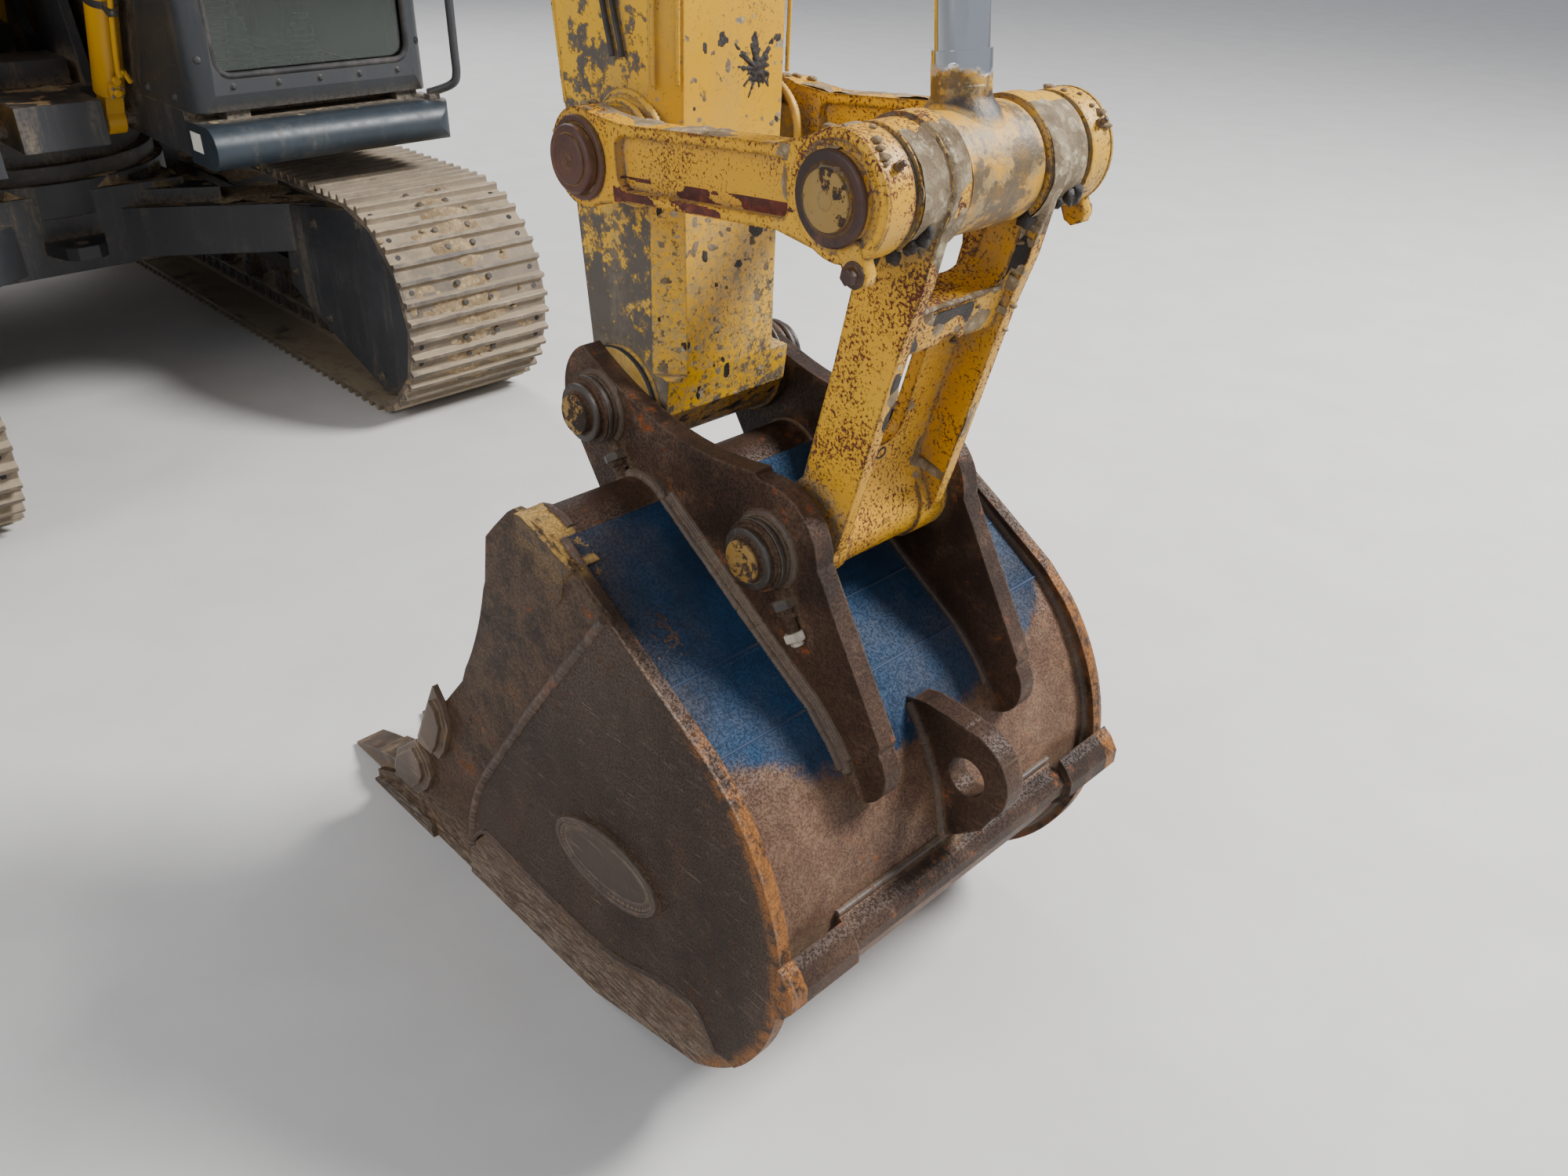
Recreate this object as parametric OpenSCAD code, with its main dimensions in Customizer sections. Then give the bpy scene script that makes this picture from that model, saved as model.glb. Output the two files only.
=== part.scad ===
// Crawler excavator: undercarriage, turning upper, boom, arm and bucket.
// Origin on the ground under the slew axis. +X forward, +Y left, +Z up. Millimetres.

/* [Undercarriage] */
// Distance between the centre lines of the two tracks
gauge = 1990; // [1800:10:2600]
// Width of a track shoe
shoe_w = 610; // [450:10:900]
// Distance from the slew axis to the centre of each end wheel
base_half = 1520; // [1300:10:2000]
// Radius of a track's end loop out to the grouser tips
track_r = 430; // [380:5:520]
// Shoes on one track
shoe_n = 46; // [30:1:60]
// Height of a grouser over its plate
grouser_h = 24; // [10:1:40]
// Radius of the slew ring
slew_r = 540; // [400:10:700]

/* [Upper] */
// Height of the slewing frame's underside
frame_z = 1000; // [900:5:1200]
// Height of the deck
deck_z = 1160; // [1050:5:1400]
// Width of the upper
upper_w = 2460; // [2200:10:3000]
// Radius swept by the counterweight
tail_r = 2300; // [1900:10:2900]
// Front face of the cab
cab_front = 1330; // [1100:10:1600]
// Back face of the cab
cab_back = -400; // [-600:10:0]
// Inner side face of the cab
cab_in = 305; // [280:5:500]
// Roof height of the cab
cab_top = 2870; // [2600:10:3100]
// Height of the engine housing
house_z = 2000; // [1700:10:2300]
// Wall of the cab's pillars
cab_wall = 60; // [40:1:90]

/* [Boom and arm] */
// Boom foot pin, distance ahead of the slew axis
foot_x = 50; // [-200:10:400]
// Boom foot pin height
foot_z = 1680; // [1400:10:1900]
// Width of the boom
boom_w = 320; // [260:5:420]
// Arm length between its boom pin and its bucket pin
arm_l = 2740; // [2200:10:3200]
// Lean of the arm from upright, top towards the machine
arm_lean = 4; // [0:0.5:12]
// Bucket pin, distance ahead of the slew axis
tip_x = 4370; // [3800:10:5000]
// Bucket pin height
tip_z = 1180; // [1050:5:1400]
// Width of the arm
arm_w = 290; // [240:5:360]

/* [Bucket linkage] */
// Length of an idler link
idler_l = 560; // [480:5:640]
// Radius of a link's eye
eye_r = 85; // [70:1:100]
// Thickness of an idler link
idler_t = 50; // [36:1:64]

/* [Bucket] */
// Width over the side plates
bucket_w = 914; // [600:2:1200]
// Thickness of a side plate
side_t = 28; // [20:1:40]
// Thickness of the back sheet
back_t = 22; // [16:1:36]
// Thickness of an ear
ear_t = 38; // [30:1:50]
// Gap between the two ears
ear_gap = 330; // [300:2:420]

/* [Hidden] */
$fn = 48;
run = 0.06;
half_w = bucket_w / 2;
sx = upper_w / 2;
track_y0 = gauge / 2 - shoe_w / 2;
track_y1 = gauge / 2 + shoe_w / 2;
plate_r = track_r - grouser_h;
// boom pin of the arm, found from the bucket pin
ax = tip_x - arm_l * sin(arm_lean);
az = tip_z + arm_l * cos(arm_lean);
boom_l = norm([ax - foot_x, az - foot_z]);
boom_a = atan2(az - foot_z, ax - foot_x);
arm_a = arm_lean - 90;
// pins in world coordinates [x, z]
function on_boom(s, h) = [foot_x + s * cos(boom_a) - h * sin(boom_a), foot_z + s * sin(boom_a) + h * cos(boom_a)];
function on_arm(u, v) = [ax + u * cos(arm_a) - v * sin(arm_a), az + u * sin(arm_a) + v * cos(arm_a)];
idler_u = arm_l - 442;
idler_v = 75;
pin_r1 = on_arm(idler_u, idler_v);
pin_s = on_arm(idler_u - 8, idler_v + idler_l);
pin_q = [tip_x + 440, tip_z - 110];
pin_e = on_arm(150, 534);
pin_c0 = [632, frame_z + 60];
pin_c1 = on_boom(1850, 430);
pin_d0 = on_boom(2300, 1010);
pin_d1 = on_arm(-620, 60);

// Box between two corners
module bx(x0, x1, y0, y1, z0, z1) {
  translate([x0, y0, z0]) cube([x1 - x0, y1 - y0, z1 - z0]);
}
// Round bar along Y
module cy(p, r, y0, y1) {
  translate([p[0], y1, p[1]]) rotate([90, 0, 0]) cylinder(r = r, h = y1 - y0);
}
// Plate along Y from points in the XZ plane
module pl(pts, y0, y1) {
  translate([0, y1, 0]) rotate([90, 0, 0]) linear_extrude(y1 - y0) polygon(pts);
}
// Shape and its mirror image across the XZ plane
module both() {
  children();
  mirror([0, 1, 0]) children();
}
// Frame with X along an angle in the XZ plane from a point
module at(p, a) {
  translate([p[0], 0, p[1]]) rotate([0, -a, 0]) children();
}
// Frame of the boom, X from foot to nose
module in_boom() {
  at([foot_x, foot_z], boom_a) children();
}
// Frame of the arm, X from boom pin to bucket pin
module in_arm() {
  at([ax, az], arm_a) children();
}
// Frame of the bucket, origin at its pin
module in_tip() {
  translate([tip_x, 0, tip_z]) children();
}
// Round tube between two points
module tube(p, q, r) {
  d = q - p;
  translate(p) rotate([0, acos(d[2] / norm(d)), atan2(d[1], d[0])]) cylinder(r = r, h = norm(d));
}
// Window through a wall across X with rounded corners
module port(x0, x1, y0, y1, z0, z1, r) {
  bx(x0, x1, y0 + r, y1 - r, z0, z1);
  bx(x0, x1, y0, y1, z0 + r, z1 - r);
  for (y = [y0 + r, y1 - r]) for (z = [z0 + r, z1 - r])
    translate([x0, y, z]) rotate([0, 90, 0]) cylinder(r = r, h = x1 - x0);
}
// Window through a wall across Y with rounded corners
module side_port(x0, x1, y0, y1, z0, z1, r) {
  bx(x0 + r, x1 - r, y0, y1, z0, z1);
  bx(x0, x1, y0, y1, z0 + r, z1 - r);
  for (x = [x0 + r, x1 - r]) for (z = [z0 + r, z1 - r]) cy([x, z], r, y0, y1);
}

// Undercarriage
// radius of the tie-down eyes on the car body
tie_r = 26;
// underside of the tie-down plates
tie_z = 564;
// point at a run length along the track's loop, offset outwards
loop_c = 345;
loop_l = 4 * base_half + 2 * PI * loop_c;
function loop_pt(s, n) =
  let (a = 2 * base_half, b = PI * loop_c, t = s - floor(s / loop_l) * loop_l)
  t < a ? [t - base_half, track_r + loop_c + n] :
  t < a + b ? let (g = 90 - (t - a) / loop_c * 180 / PI)
    [base_half + (loop_c + n) * cos(g), track_r + (loop_c + n) * sin(g)] :
  t < 2 * a + b ? [base_half - (t - a - b), track_r - loop_c - n] :
  let (g = 270 - (t - 2 * a - b) / loop_c * 180 / PI)
    [-base_half + (loop_c + n) * cos(g), track_r + (loop_c + n) * sin(g)];

// where the three grousers of a shoe start, as shares of the pitch
bar_at = [0.07, 0.42, 0.76];
// outline of a grouser: [share of the pitch, height over the plate]
bar_pts = [[0, 0], [0.035, grouser_h], [0.105, grouser_h], [0.14, 0]];
module track_loop() {
  p = loop_l / shoe_n;
  outer = [for (i = [0:shoe_n - 1]) for (b = bar_at) for (k = bar_pts)
    loop_pt((i + b + k[0]) * p, plate_r - loop_c + k[1])];
  inner = [for (i = [0:shoe_n - 1]) loop_pt(i * p, plate_r - loop_c - 14)];
  link = [for (i = [0:2 * shoe_n - 1]) loop_pt(i * p / 2, -40)];
  difference() {
    pl(outer, track_y0, track_y1);
    pl(inner, track_y0 - 1, gauge / 2 - 95);
    pl(inner, gauge / 2 + 95, track_y1 + 1);
    pl(link, gauge / 2 - 96, gauge / 2 + 96);
  }
}
module track_left() {
  color("#4a443d") track_loop();
}
module track_right() {
  color("#4a443d") mirror([0, 1, 0]) track_loop();
}

// side beam that carries the rollers
module side_frame() {
  g = gauge / 2;
  e = base_half - 390;
  difference() {
    union() {
      pl([[-e, 285], [e, 285], [e + 50, 420], [e - 80, 590], [80 - e, 590], [-e - 50, 420]], g - 120, g + 120);
      for (y = [g - 120, g + 92]) {
        bx(e - 30, base_half + 40, y, y + 28, 350, 480);
        bx(-base_half - 40, 30 - e, y, y + 28, 330, 520);
      }
      both_ends() cy([e + 20, 470], 70, g - 120, g + 120);
    }
    for (x = [-700, 200]) side_port(x, x + 500, g + 60, g + 130, 340, 460, 50);
    for (x = [-640, -140, 360]) side_port(x, x + 260, g - 130, g - 60, 350, 450, 40);
  }
}
// Shape and its mirror image across the slew axis
module both_ends() {
  children();
  mirror([1, 0, 0]) children();
}
module track_frame_left() {
  color("#2f3032") side_frame();
}
module track_frame_right() {
  color("#2f3032") mirror([0, 1, 0]) side_frame();
}

// rollers under and over the beam, front idler and rear sprocket
roller_z = track_r - loop_c + 40 + 78;
roller_x = [for (k = [-3:3]) k * (base_half - 470) / 3];
module wheels() {
  g = gauge / 2;
  for (x = roller_x) {
    cy([x, roller_z], 78, g - 84, g - 60);
    cy([x, roller_z], 78, g + 60, g + 84);
    cy([x, roller_z], 64, g - 100, g + 100);
    bx(x - 40, x + 40, g - 118, g + 118, roller_z, 285);
  }
  for (x = [-500, 500]) {
    cy([x, track_r + loop_c - 40 - 62], 62, g - 80, g + 80);
    bx(x - 30, x + 30, g - 30, g + 30, 590, 660);
  }
  cy([base_half, track_r], 285, g - 40, g + 40);
  cy([base_half, track_r], 255, g - 80, g + 80);
  cy([base_half, track_r], 50, g - 92, g + 92);
  cy([-base_half, track_r], 288, g - 32, g + 32);
  cy([-base_half, track_r], 190, g - 92, g + 92);
}
module wheels_left() {
  color("#3a3733") wheels();
}
module wheels_right() {
  color("#3a3733") mirror([0, 1, 0]) wheels();
}

module drive() {
  g = gauge / 2;
  cy([-base_half, track_r], 205, g - 200, g - 120);
  cy([-base_half, track_r], 165, g - 260, g - 200);
  cy([-base_half, track_r], 175, g + 120, g + 190);
}
module final_drives() {
  color("#333130") both() drive();
}

module car_frame() {
  g = gauge / 2;
  difference() {
    union() {
      bx(-560, 560, -470, 470, 480, 790);
      translate([0, 0, 700]) cylinder(r = slew_r + 30, h = 130);
      translate([0, 0, 470]) cylinder(r = 300, h = 240);
      both() both_ends() {
        translate([0, 0, 500]) linear_extrude(200)
          polygon([[250, 300], [560, 200], [980, g - 120], [620, g - 120]]);
        translate([0, 0, 700]) linear_extrude(60)
          polygon([[250, 300], [520, 240], [700, 560], [480, 560]]);
      }
    }
    translate([0, 0, 460]) cylinder(r = 150, h = 500);
    both() both_ends() translate([470, 330, 480]) cylinder(r = 60, h = 330);
    both() translate([0, 400, 640]) rotate([-90, 0, 0]) cylinder(r = 90, h = 100);
  }
  both_ends() translate([0, 0, tie_z]) linear_extrude(52)
    polygon([[540, -120], [690, -75], [720, -40], [720, 40], [690, 75], [540, 120]]);
}
module car_body() {
  color("#2b2c2e") difference() {
    car_frame();
    both_ends() translate([650, 0, tie_z - 10]) cylinder(r = tie_r, h = 80);
  }
}

module slew_ring() {
  color("#5c5a55") difference() {
    translate([0, 0, 830]) cylinder(r = slew_r, h = 60);
    translate([0, 0, 829]) cylinder(r = slew_r - 130, h = 62);
  }
}

// Upper
module platform() {
  color("#2c2d30") {
    difference() {
      union() {
        translate([0, 0, frame_z]) linear_extrude(deck_z - frame_z)
          polygon([[-1700, -sx], [1050, -sx], [1150, -sx + 100], [1150, -302], [820, -302], [820, 302],
                   [cab_front - 130, 302], [cab_front - 130, sx - 60], [cab_front - 190, sx], [-1700, sx]]);
        translate([0, 0, 890.3]) cylinder(r = slew_r - 40, h = deck_z - 900);
      }
      translate([0, 0, 890]) cylinder(r = 120, h = 400);
      both() bx(pin_c0[0] - 130, 821, 150, 310, frame_z - 1, deck_z + 1);
      for (x = [-1500, -900]) both() bx(x, x + 420, 640, sx - 90, frame_z - 1, frame_z + 100);
    }
    both() cy(pin_c0, 30, 140, 320);
  }
}

// twin plates that hold the boom's foot
module boom_bracket() {
  color("#2c2d30") {
    both() difference() {
      union() {
        pl([[-420, deck_z], [-180, foot_z + 40], [60, foot_z + 130], [200, foot_z + 40],
            [380, foot_z - 160], [480, deck_z]], 213, 250);
        cy([foot_x, foot_z], 130, 213, 250);
      }
      side_port(-180, 60, 200, 260, deck_z + 120, foot_z - 130, 60);
    }
    both() cy([foot_x, foot_z], 95, 250, 262);
    cy([foot_x, foot_z], 40, -270, 270);
  }
}

module counterweight() {
  z1 = house_z - 30;
  color("#d9a916") difference() {
    intersection() {
      rotate_extrude($fn = 96) polygon([[0, frame_z + 40], [tail_r - 90, frame_z + 40], [tail_r, frame_z + 150],
        [tail_r, z1 - 120], [tail_r - 30, z1 - 40], [tail_r - 110, z1], [0, z1]]);
      bx(-tail_r - 1, -1700.3, -sx, sx, frame_z, house_z);
    }
    bx(-tail_r - 1, -tail_r + 140, -160, 160, frame_z, frame_z + 220);
    both() bx(-tail_r - 1, -tail_r + 190, 480, 1000, z1 - 420, z1 - 250);
  }
}

module engine() {
  color("#55585c") bx(-1500, -720, -430, 430, deck_z, house_z - 180);
}

module housing() {
  color("#d9a916") {
    both() bx(-1630, -1601, 460.3, 485, house_z - 1, house_z + 34);
    both() translate([-1614, sx + 6, house_z - 125.7]) cylinder(r = 10, h = 34);
    housing_walls();
  }
}
module housing_walls() {
  difference() {
    bx(-1700, -480, -sx, sx, deck_z, house_z);
    bx(-1670, -510, -sx + 30, sx - 30, deck_z - 1, house_z - 30);
    both() bx(-1620, -560, sx - 31, sx + 1, deck_z + 60, house_z - 120);
    bx(-1600, -620, -600, 600, house_z - 31, house_z + 1);
    both() translate([0, sx, house_z]) rotate([45, 0, 0]) bx(-1701, -479, -26, 26, -26, 26);
    for (y = [-420, 60]) bx(-511, -479, y, y + 360, house_z - 330, house_z - 120);
  }
}
module hood() {
  color("#d9a916") {
    difference() {
      union() {
        bx(-1594, -626, -594, 594, house_z - 24, house_z + 40);
        bx(-1500, -720, -470, 470, house_z + 40, house_z + 90);
      }
      both() translate([0, 594, house_z + 40]) rotate([45, 0, 0]) bx(-1595, -625, -16, 16, -16, 16);
      bx(-1480, -740, -450, 450, house_z - 25, house_z + 72);
      for (k = [0:6]) bx(-1420 + k * 95, -1370 + k * 95, -360, 360, house_z + 60, house_z + 100);
    }
    both() cy([-1612, house_z + 20], 12, 380, 460);
    both() bx(-1612, -1590, 380, 460, house_z + 8, house_z + 32);
  }
}
// louvred engine door
module side_door() {
  difference() {
    union() {
      bx(-1614, -566, sx - 26, sx + 6, deck_z + 66, house_z - 126);
      bx(-1560, -620, sx + 6, sx + 16, deck_z + 120, house_z - 180);
    }
    for (k = [0:9]) bx(-1470, -1110, sx - 27, sx + 20, deck_z + 170 + k * 44, deck_z + 190 + k * 44);
    bx(-700, -640, sx + 2, sx + 20, deck_z + 340, deck_z + 400);
  }
}
module side_door_left() {
  color("#d9a916") side_door();
}
module side_door_right() {
  color("#d9a916") mirror([0, 1, 0]) side_door();
}

module tanks() {
  z1 = house_z - 60;
  color("#d9a916") {
    difference() {
      union() {
        bx(-470, 20, -sx, -340, deck_z, z1);
        bx(20, 420, -sx, -340, deck_z, z1 - 120);
      }
      translate([0, -sx, z1]) rotate([45, 0, 0]) bx(-471, 421, -40, 40, -40, 40);
      translate([420, 0, z1 - 120]) rotate([0, 45, 0]) bx(-40, 40, -sx - 1, -339, -40, 40);
      bx(418, 421, -sx + 60, -420, deck_z + 60, z1 - 220);
    }
    translate([220, -900, z1 - 120]) cylinder(r = 70, h = 45);
    translate([-200, -700, z1]) cylinder(r = 95, h = 20);
  }
}
module tool_box() {
  color("#2c2d30") {
    difference() {
      bx(425, 1120, -sx, -600, deck_z, 1600);
      bx(1119, 1121, -sx + 50, -650, deck_z + 50, 1550);
      for (k = [0:8]) bx(480 + k * 66, 520 + k * 66, -sx + 40, -640, 1594, 1601);
    }
    bx(1060, 1290, -sx + 120, -700, frame_z - 20, frame_z - 0.3);
    bx(1150.3, 1180, -sx + 120, -700, frame_z - 1, deck_z);
    bx(1120, 1180, -sx + 120, -700, deck_z, deck_z + 40);
  }
}
module rear_box() {
  color("#3b3c3f") {
    bx(-470, -405, cab_in, sx, deck_z, 1540);
    bx(-475, -470, cab_in + 60, sx - 60, deck_z + 60, 1480);
  }
}

cab_floor = deck_z + cab_wall;
cab_r = 110;
// side outline of the cab, moved in by a wall
module cab_side(o) {
  z2 = deck_z + 380;
  polygon([[cab_back + o, deck_z + o], [cab_front - 20 - o, deck_z + o], [cab_front - o, deck_z + 60 + o],
    [cab_front + 5 - o, z2], [cab_front - 40 - o, z2 + 750], [cab_front - 180 - o, cab_top - 100],
    [cab_front - 240 - o, cab_top - 30 - o], [cab_front - 320 - o, cab_top - o], [cab_back + 70 + o, cab_top - o],
    [cab_back + o, cab_top - 70 - o]]);
}
// plan outline of the cab with rounded front corners, moved in by a wall
module cab_plan(o) {
  y0 = cab_in + o;
  y1 = sx + 15 - o;
  x1 = cab_front + 6 - o;
  translate([cab_back + o, y0]) square([x1 - cab_back - o - cab_r, y1 - y0]);
  translate([cab_back + o, y0 + cab_r]) square([x1 - cab_back - o, y1 - y0 - 2 * cab_r]);
  for (y = [y0 + cab_r, y1 - cab_r]) translate([x1 - cab_r, y]) circle(r = cab_r);
}
module cab_body(o) {
  intersection() {
    translate([0, sx + 100, 0]) rotate([90, 0, 0]) linear_extrude(upper_w) cab_side(o);
    translate([0, 0, deck_z - 10]) linear_extrude(cab_top) cab_plan(o);
  }
}
module cab_shell() {
  color("#36383b") {
    cab_walls();
    for (z = [1320.3, 2520.3]) {
      translate([244, sx + 24, z]) cylinder(r = 9, h = 40);
      bx(220, 244, sx + 10, sx + 30, z, z + 40);
    }
    bx(cab_front - 420, cab_front - 200, cab_in + 150, sx - 140, cab_top - 4, cab_top + 26);
  }
}
module cab_walls() {
  difference() {
    cab_body(0);
    cab_body(cab_wall);
    port(cab_front - 400, cab_front + 100, cab_in + 90, sx - 75, deck_z + 120, 2070, 60);
    port(cab_front - 500, cab_front + 100, cab_in + 90, sx - 75, 2130, 2680, 60);
    side_port(240, 1180, sx - 100, sx + 100, deck_z + 40, 2740, 40);
    side_port(-320, 180, sx - 100, sx + 100, 1780, 2690, 60);
    side_port(-320, 1080, cab_in - 50, cab_in + 100, 1740, 2690, 60);
    port(cab_back - 50, cab_back + 150, cab_in + 90, sx - 75, 1780, 2690, 60);
    bx(100, 800, cab_in + 180, sx - 165, cab_top - 100, cab_top + 50);
  }
}
module cab_glass() {
  z2 = deck_z + 380;
  color("#9fb4bd") {
    side_port(-320, 1080, cab_in + 20, cab_in + 26, 1740, 2690, 60);
    side_port(-320, 180, sx - 14, sx - 8, 1780, 2690, 60);
    port(cab_back + 20, cab_back + 26, cab_in + 90, sx - 75, 1780, 2690, 60);
    bx(100, 800, cab_in + 180, sx - 165, cab_top - 36, cab_top - 30);
    intersection() {
      pl([[cab_front - 27, deck_z + 110], [cab_front - 21, deck_z + 110], [cab_front - 16, z2],
          [cab_front - 52, 2090], [cab_front - 58, 2090], [cab_front - 22, z2]], cab_in + 70, sx - 55);
      port(cab_front - 400, cab_front + 100, cab_in + 90, sx - 75, deck_z + 120, 2070, 60);
    }
    intersection() {
      pl([[cab_front - 68, 2100], [cab_front - 60, 2100], [cab_front - 68, z2 + 750], [cab_front - 190, 2720],
          [cab_front - 197, 2720], [cab_front - 75, z2 + 750]], cab_in + 70, sx - 55);
      port(cab_front - 500, cab_front + 100, cab_in + 90, sx - 75, 2130, 2680, 60);
    }
  }
}
module cab_door() {
  color("#36383b") {
    difference() {
      side_port(248, 1172, sx - 30, sx + 12, deck_z + 48, 2732, 34);
      side_port(310, 1110, sx - 31, sx + 13, 1680, 2670, 60);
      bx(330, 1090, sx + 4, sx + 13, deck_z + 130, 1590);
    }
    bx(1020, 1110, sx + 12, sx + 40, 1610, 1630);
    for (z = [1260, 2460]) {
      translate([244, sx + 24, z]) cylinder(r = 9, h = 60);
      bx(244, 290, sx + 10, sx + 26, z, z + 60);
    }
  }
}
module door_glass() {
  color("#9fb4bd") side_port(310, 1110, sx - 12, sx - 6, 1680, 2670, 60);
}
module seat() {
  z0 = deck_z + 300;
  color("#26272a") {
    difference() {
      bx(100, 600, 560, 1000, z0, z0 + 140);
      translate([600, 0, z0 + 140]) rotate([0, 45, 0]) bx(-30, 30, 559, 1001, -30, 30);
    }
    pl([[100, z0 + 140], [220, z0 + 140], [170, z0 + 640], [80, z0 + 640], [60, z0 + 500]], 570, 990);
    bx(90, 160, 670, 890, z0 + 636, z0 + 850);
    bx(200, 500, 660, 900, cab_floor, z0);
    for (y = [470, 1020]) bx(180, 620, y, y + 70, z0 + 140, z0 + 200);
    bx(200, 260, 535, 1025, z0 + 80, z0 + 150);
  }
}
module levers() {
  color("#202124") {
    for (y = [505, 1055]) {
      translate([560, y, deck_z + 500]) cylinder(r = 14, h = 195);
      translate([560, y, deck_z + 690]) cylinder(r = 24, h = 60);
    }
    for (y = [640, 900]) translate([980, y, cab_floor + 10]) cylinder(r = 12, h = 420);
    bx(930, 1040, 600, 940, cab_floor, cab_floor + 20);
    bx(700, 820, 420, 480, cab_floor, deck_z + 700);
    bx(690, 720, 380, 540, deck_z + 700, deck_z + 900);
  }
}

// rounded step beam across the front under the cab
module front_beam() {
  x1 = cab_front + 50;
  color("#7d868c") {
    intersection() {
      union() {
        bx(cab_front - 130, x1, 300, sx + 30, frame_z - 20, frame_z + 130);
        cy([x1, frame_z + 55], 75, 300, sx + 30);
      }
      union() {
        bx(cab_front - 130, x1 + 80, 300, sx - 50, frame_z - 30, frame_z + 140);
        translate([x1 - 5, sx - 50, frame_z - 30]) cylinder(r = 80, h = 170);
        bx(cab_front - 130, x1 - 5, sx - 60, sx + 30, frame_z - 30, frame_z + 140);
      }
    }
    for (y = [420, sx - 130]) bx(cab_front - 129.7, cab_front - 40, y, y + 90, frame_z + 129, deck_z - 0.3);
  }
}
// square elbow that takes the ends of the rails that meet at a point
module elbow(p) translate(p) cube(40, center = true);
module hand_rails() {
  out = [cab_front + 112, sx + 62];
  in_y = -sx + 60;
  color("#2a2b2d") {
    bx(cab_front + 4, cab_front + 52, sx - 36, sx + 12, frame_z + 130.3, frame_z + 148);
    tube([cab_front + 28, sx - 12, frame_z + 145], [out[0], out[1], frame_z + 215], 16);
    elbow([out[0], out[1], frame_z + 215]);
    tube([out[0], out[1], frame_z + 215], [out[0], out[1], 1990], 17);
    elbow([out[0], out[1], 1990]);
    tube([cab_front - 10, sx - 30, 2030], [out[0], out[1], 1990], 16);
    tube([1080, in_y, 1600.3], [1080, in_y, 2360], 17);
    elbow([1080, in_y, 2360]);
    tube([1080, in_y, 2360], [400, in_y, 2360], 17);
    elbow([400, in_y, 2360]);
    tube([400, in_y, house_z - 179.7], [400, in_y, 2360], 17);
    tube([1080, in_y, 1980], [400, in_y, 1980], 14);
  }
}
module exhaust() {
  color("#3a3a3a") {
    translate([-1000, 900, house_z]) cylinder(r = 60, h = 250);
    translate([-1000, 900, house_z]) cylinder(r = 85, h = 20);
    tube([-1000, 900, house_z + 190], [-1070, 900, house_z + 330], 48);
  }
}

// Boom
// side outline of the boom: [along, up]
boom_pts = [[-100, 110], [700, 440], [1350, 742], [2560, 742], [boom_l - 500, 195], [boom_l, 145],
  [boom_l, -145], [boom_l - 150, -135], [boom_l - 500, -75], [2900, 190], [2450, 330], [2050, 375], [1700, 300],
  [900, 20], [120, -150], [0, -160], [-120, -60]];
module boom() {
  w = boom_w / 2;
  color("#d9a916") in_boom() {
    difference() {
      union() {
        pl(boom_pts, -w, w);
        intersection() {
          cy([1955, -75], 1015, -w, w);
          pl([[1350, 700], [2560, 700], [2560, 1000], [1350, 1000]], -w, w);
        }
        cy([0, 0], 160, -205, 205);
        cy([1850, 430], 95, -184, 184);
        both() difference() {
          union() {
            pl([[boom_l - 520, 190], [boom_l, 145], [boom_l, -145], [boom_l - 520, -72]], 158, 205);
            cy([boom_l, 0], 145, 158, 205);
          }
          pl([[boom_l - 520.5, 110], [boom_l - 200, 60], [boom_l - 200, -60], [boom_l - 520.5, -20]], 196, 206);
        }
        both() pl([[2080, 860], [2210, 1060], [2250, 1085], [2340, 1085], [2380, 1050], [2420, 800]], 56, 92);
        both() cy([2300, 1010], 70, 56, 100);
      }
      cy([0, 0], 40 + run, -300, 300);
      pl([[boom_l - 460, 400], [boom_l + 400, 400], [boom_l + 400, -400], [boom_l - 460, -400]], -157, 157);
      both() pl([[300, 130], [900, 395], [1300, 590], [1300, 500], [900, 270], [300, 30]], w - 6, w + 1);
    }
    cy([boom_l, 0], 42, -220, 220);
    both() cy([boom_l, 0], 70, 204, 222);
    cy([2300, 1010], 34, -100, 100);
    both() cy([1850, 430], 42, 180, 186);
  }
}

// barrel of a cylinder on its foot pin: length, radius, eye radius, half width of the eye, pin radius
module barrel(p, q, l, r, eye, ew, pr) {
  at(p, atan2(q[1] - p[1], q[0] - p[0])) difference() {
    union() {
      cy([0, 0], eye, -ew, ew);
      bx(0, eye + 60, -ew, ew, -eye * 0.7, eye * 0.7);
      translate([eye + 55, 0, 0]) rotate([0, 90, 0]) cylinder(r = r, h = l - eye - 55);
      translate([l - 90, 0, 0]) rotate([0, 90, 0]) cylinder(r = r + 8, h = 90);
    }
    cy([0, 0], pr + run, -ew - 1, ew + 1);
    translate([eye + 90, 0, 0]) rotate([0, 90, 0]) cylinder(r = r - 12, h = l);
  }
}
// rod: barrel length, rod radius, eye radius, half width of the eye, barrel radius, piston's place
module rod(p, q, l, r, eye, ew, br, ps) {
  d = norm(q - p);
  at(p, atan2(q[1] - p[1], q[0] - p[0])) {
    cy([d, 0], eye, -ew, ew);
    translate([ps, 0, 0]) rotate([0, 90, 0]) cylinder(r = r, h = d - ps - eye / 2);
    translate([ps, 0, 0]) rotate([0, 90, 0]) cylinder(r = br - 12 - run, h = 80);
    translate([d - eye - 70, 0, 0]) rotate([0, 90, 0]) cylinder(r = r + 4, h = 80);
  }
}
boom_cyl_y = 232;
module boom_barrels() {
  color("#d9a916") for (y = [-boom_cyl_y, boom_cyl_y]) translate([0, y, 0])
    barrel(pin_c0, pin_c1, 1320, 56, 60, 34, 30);
}
module boom_rods() {
  color("#b9bcc0") for (y = [-boom_cyl_y, boom_cyl_y]) translate([0, y, 0])
    rod(pin_c0, pin_c1, 1320, 35, 66, 34, 56, 775);
}
module arm_barrel() {
  color("#d9a916") barrel(pin_d0, pin_d1, 1800, 66, 66, 50, 34);
}
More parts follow.
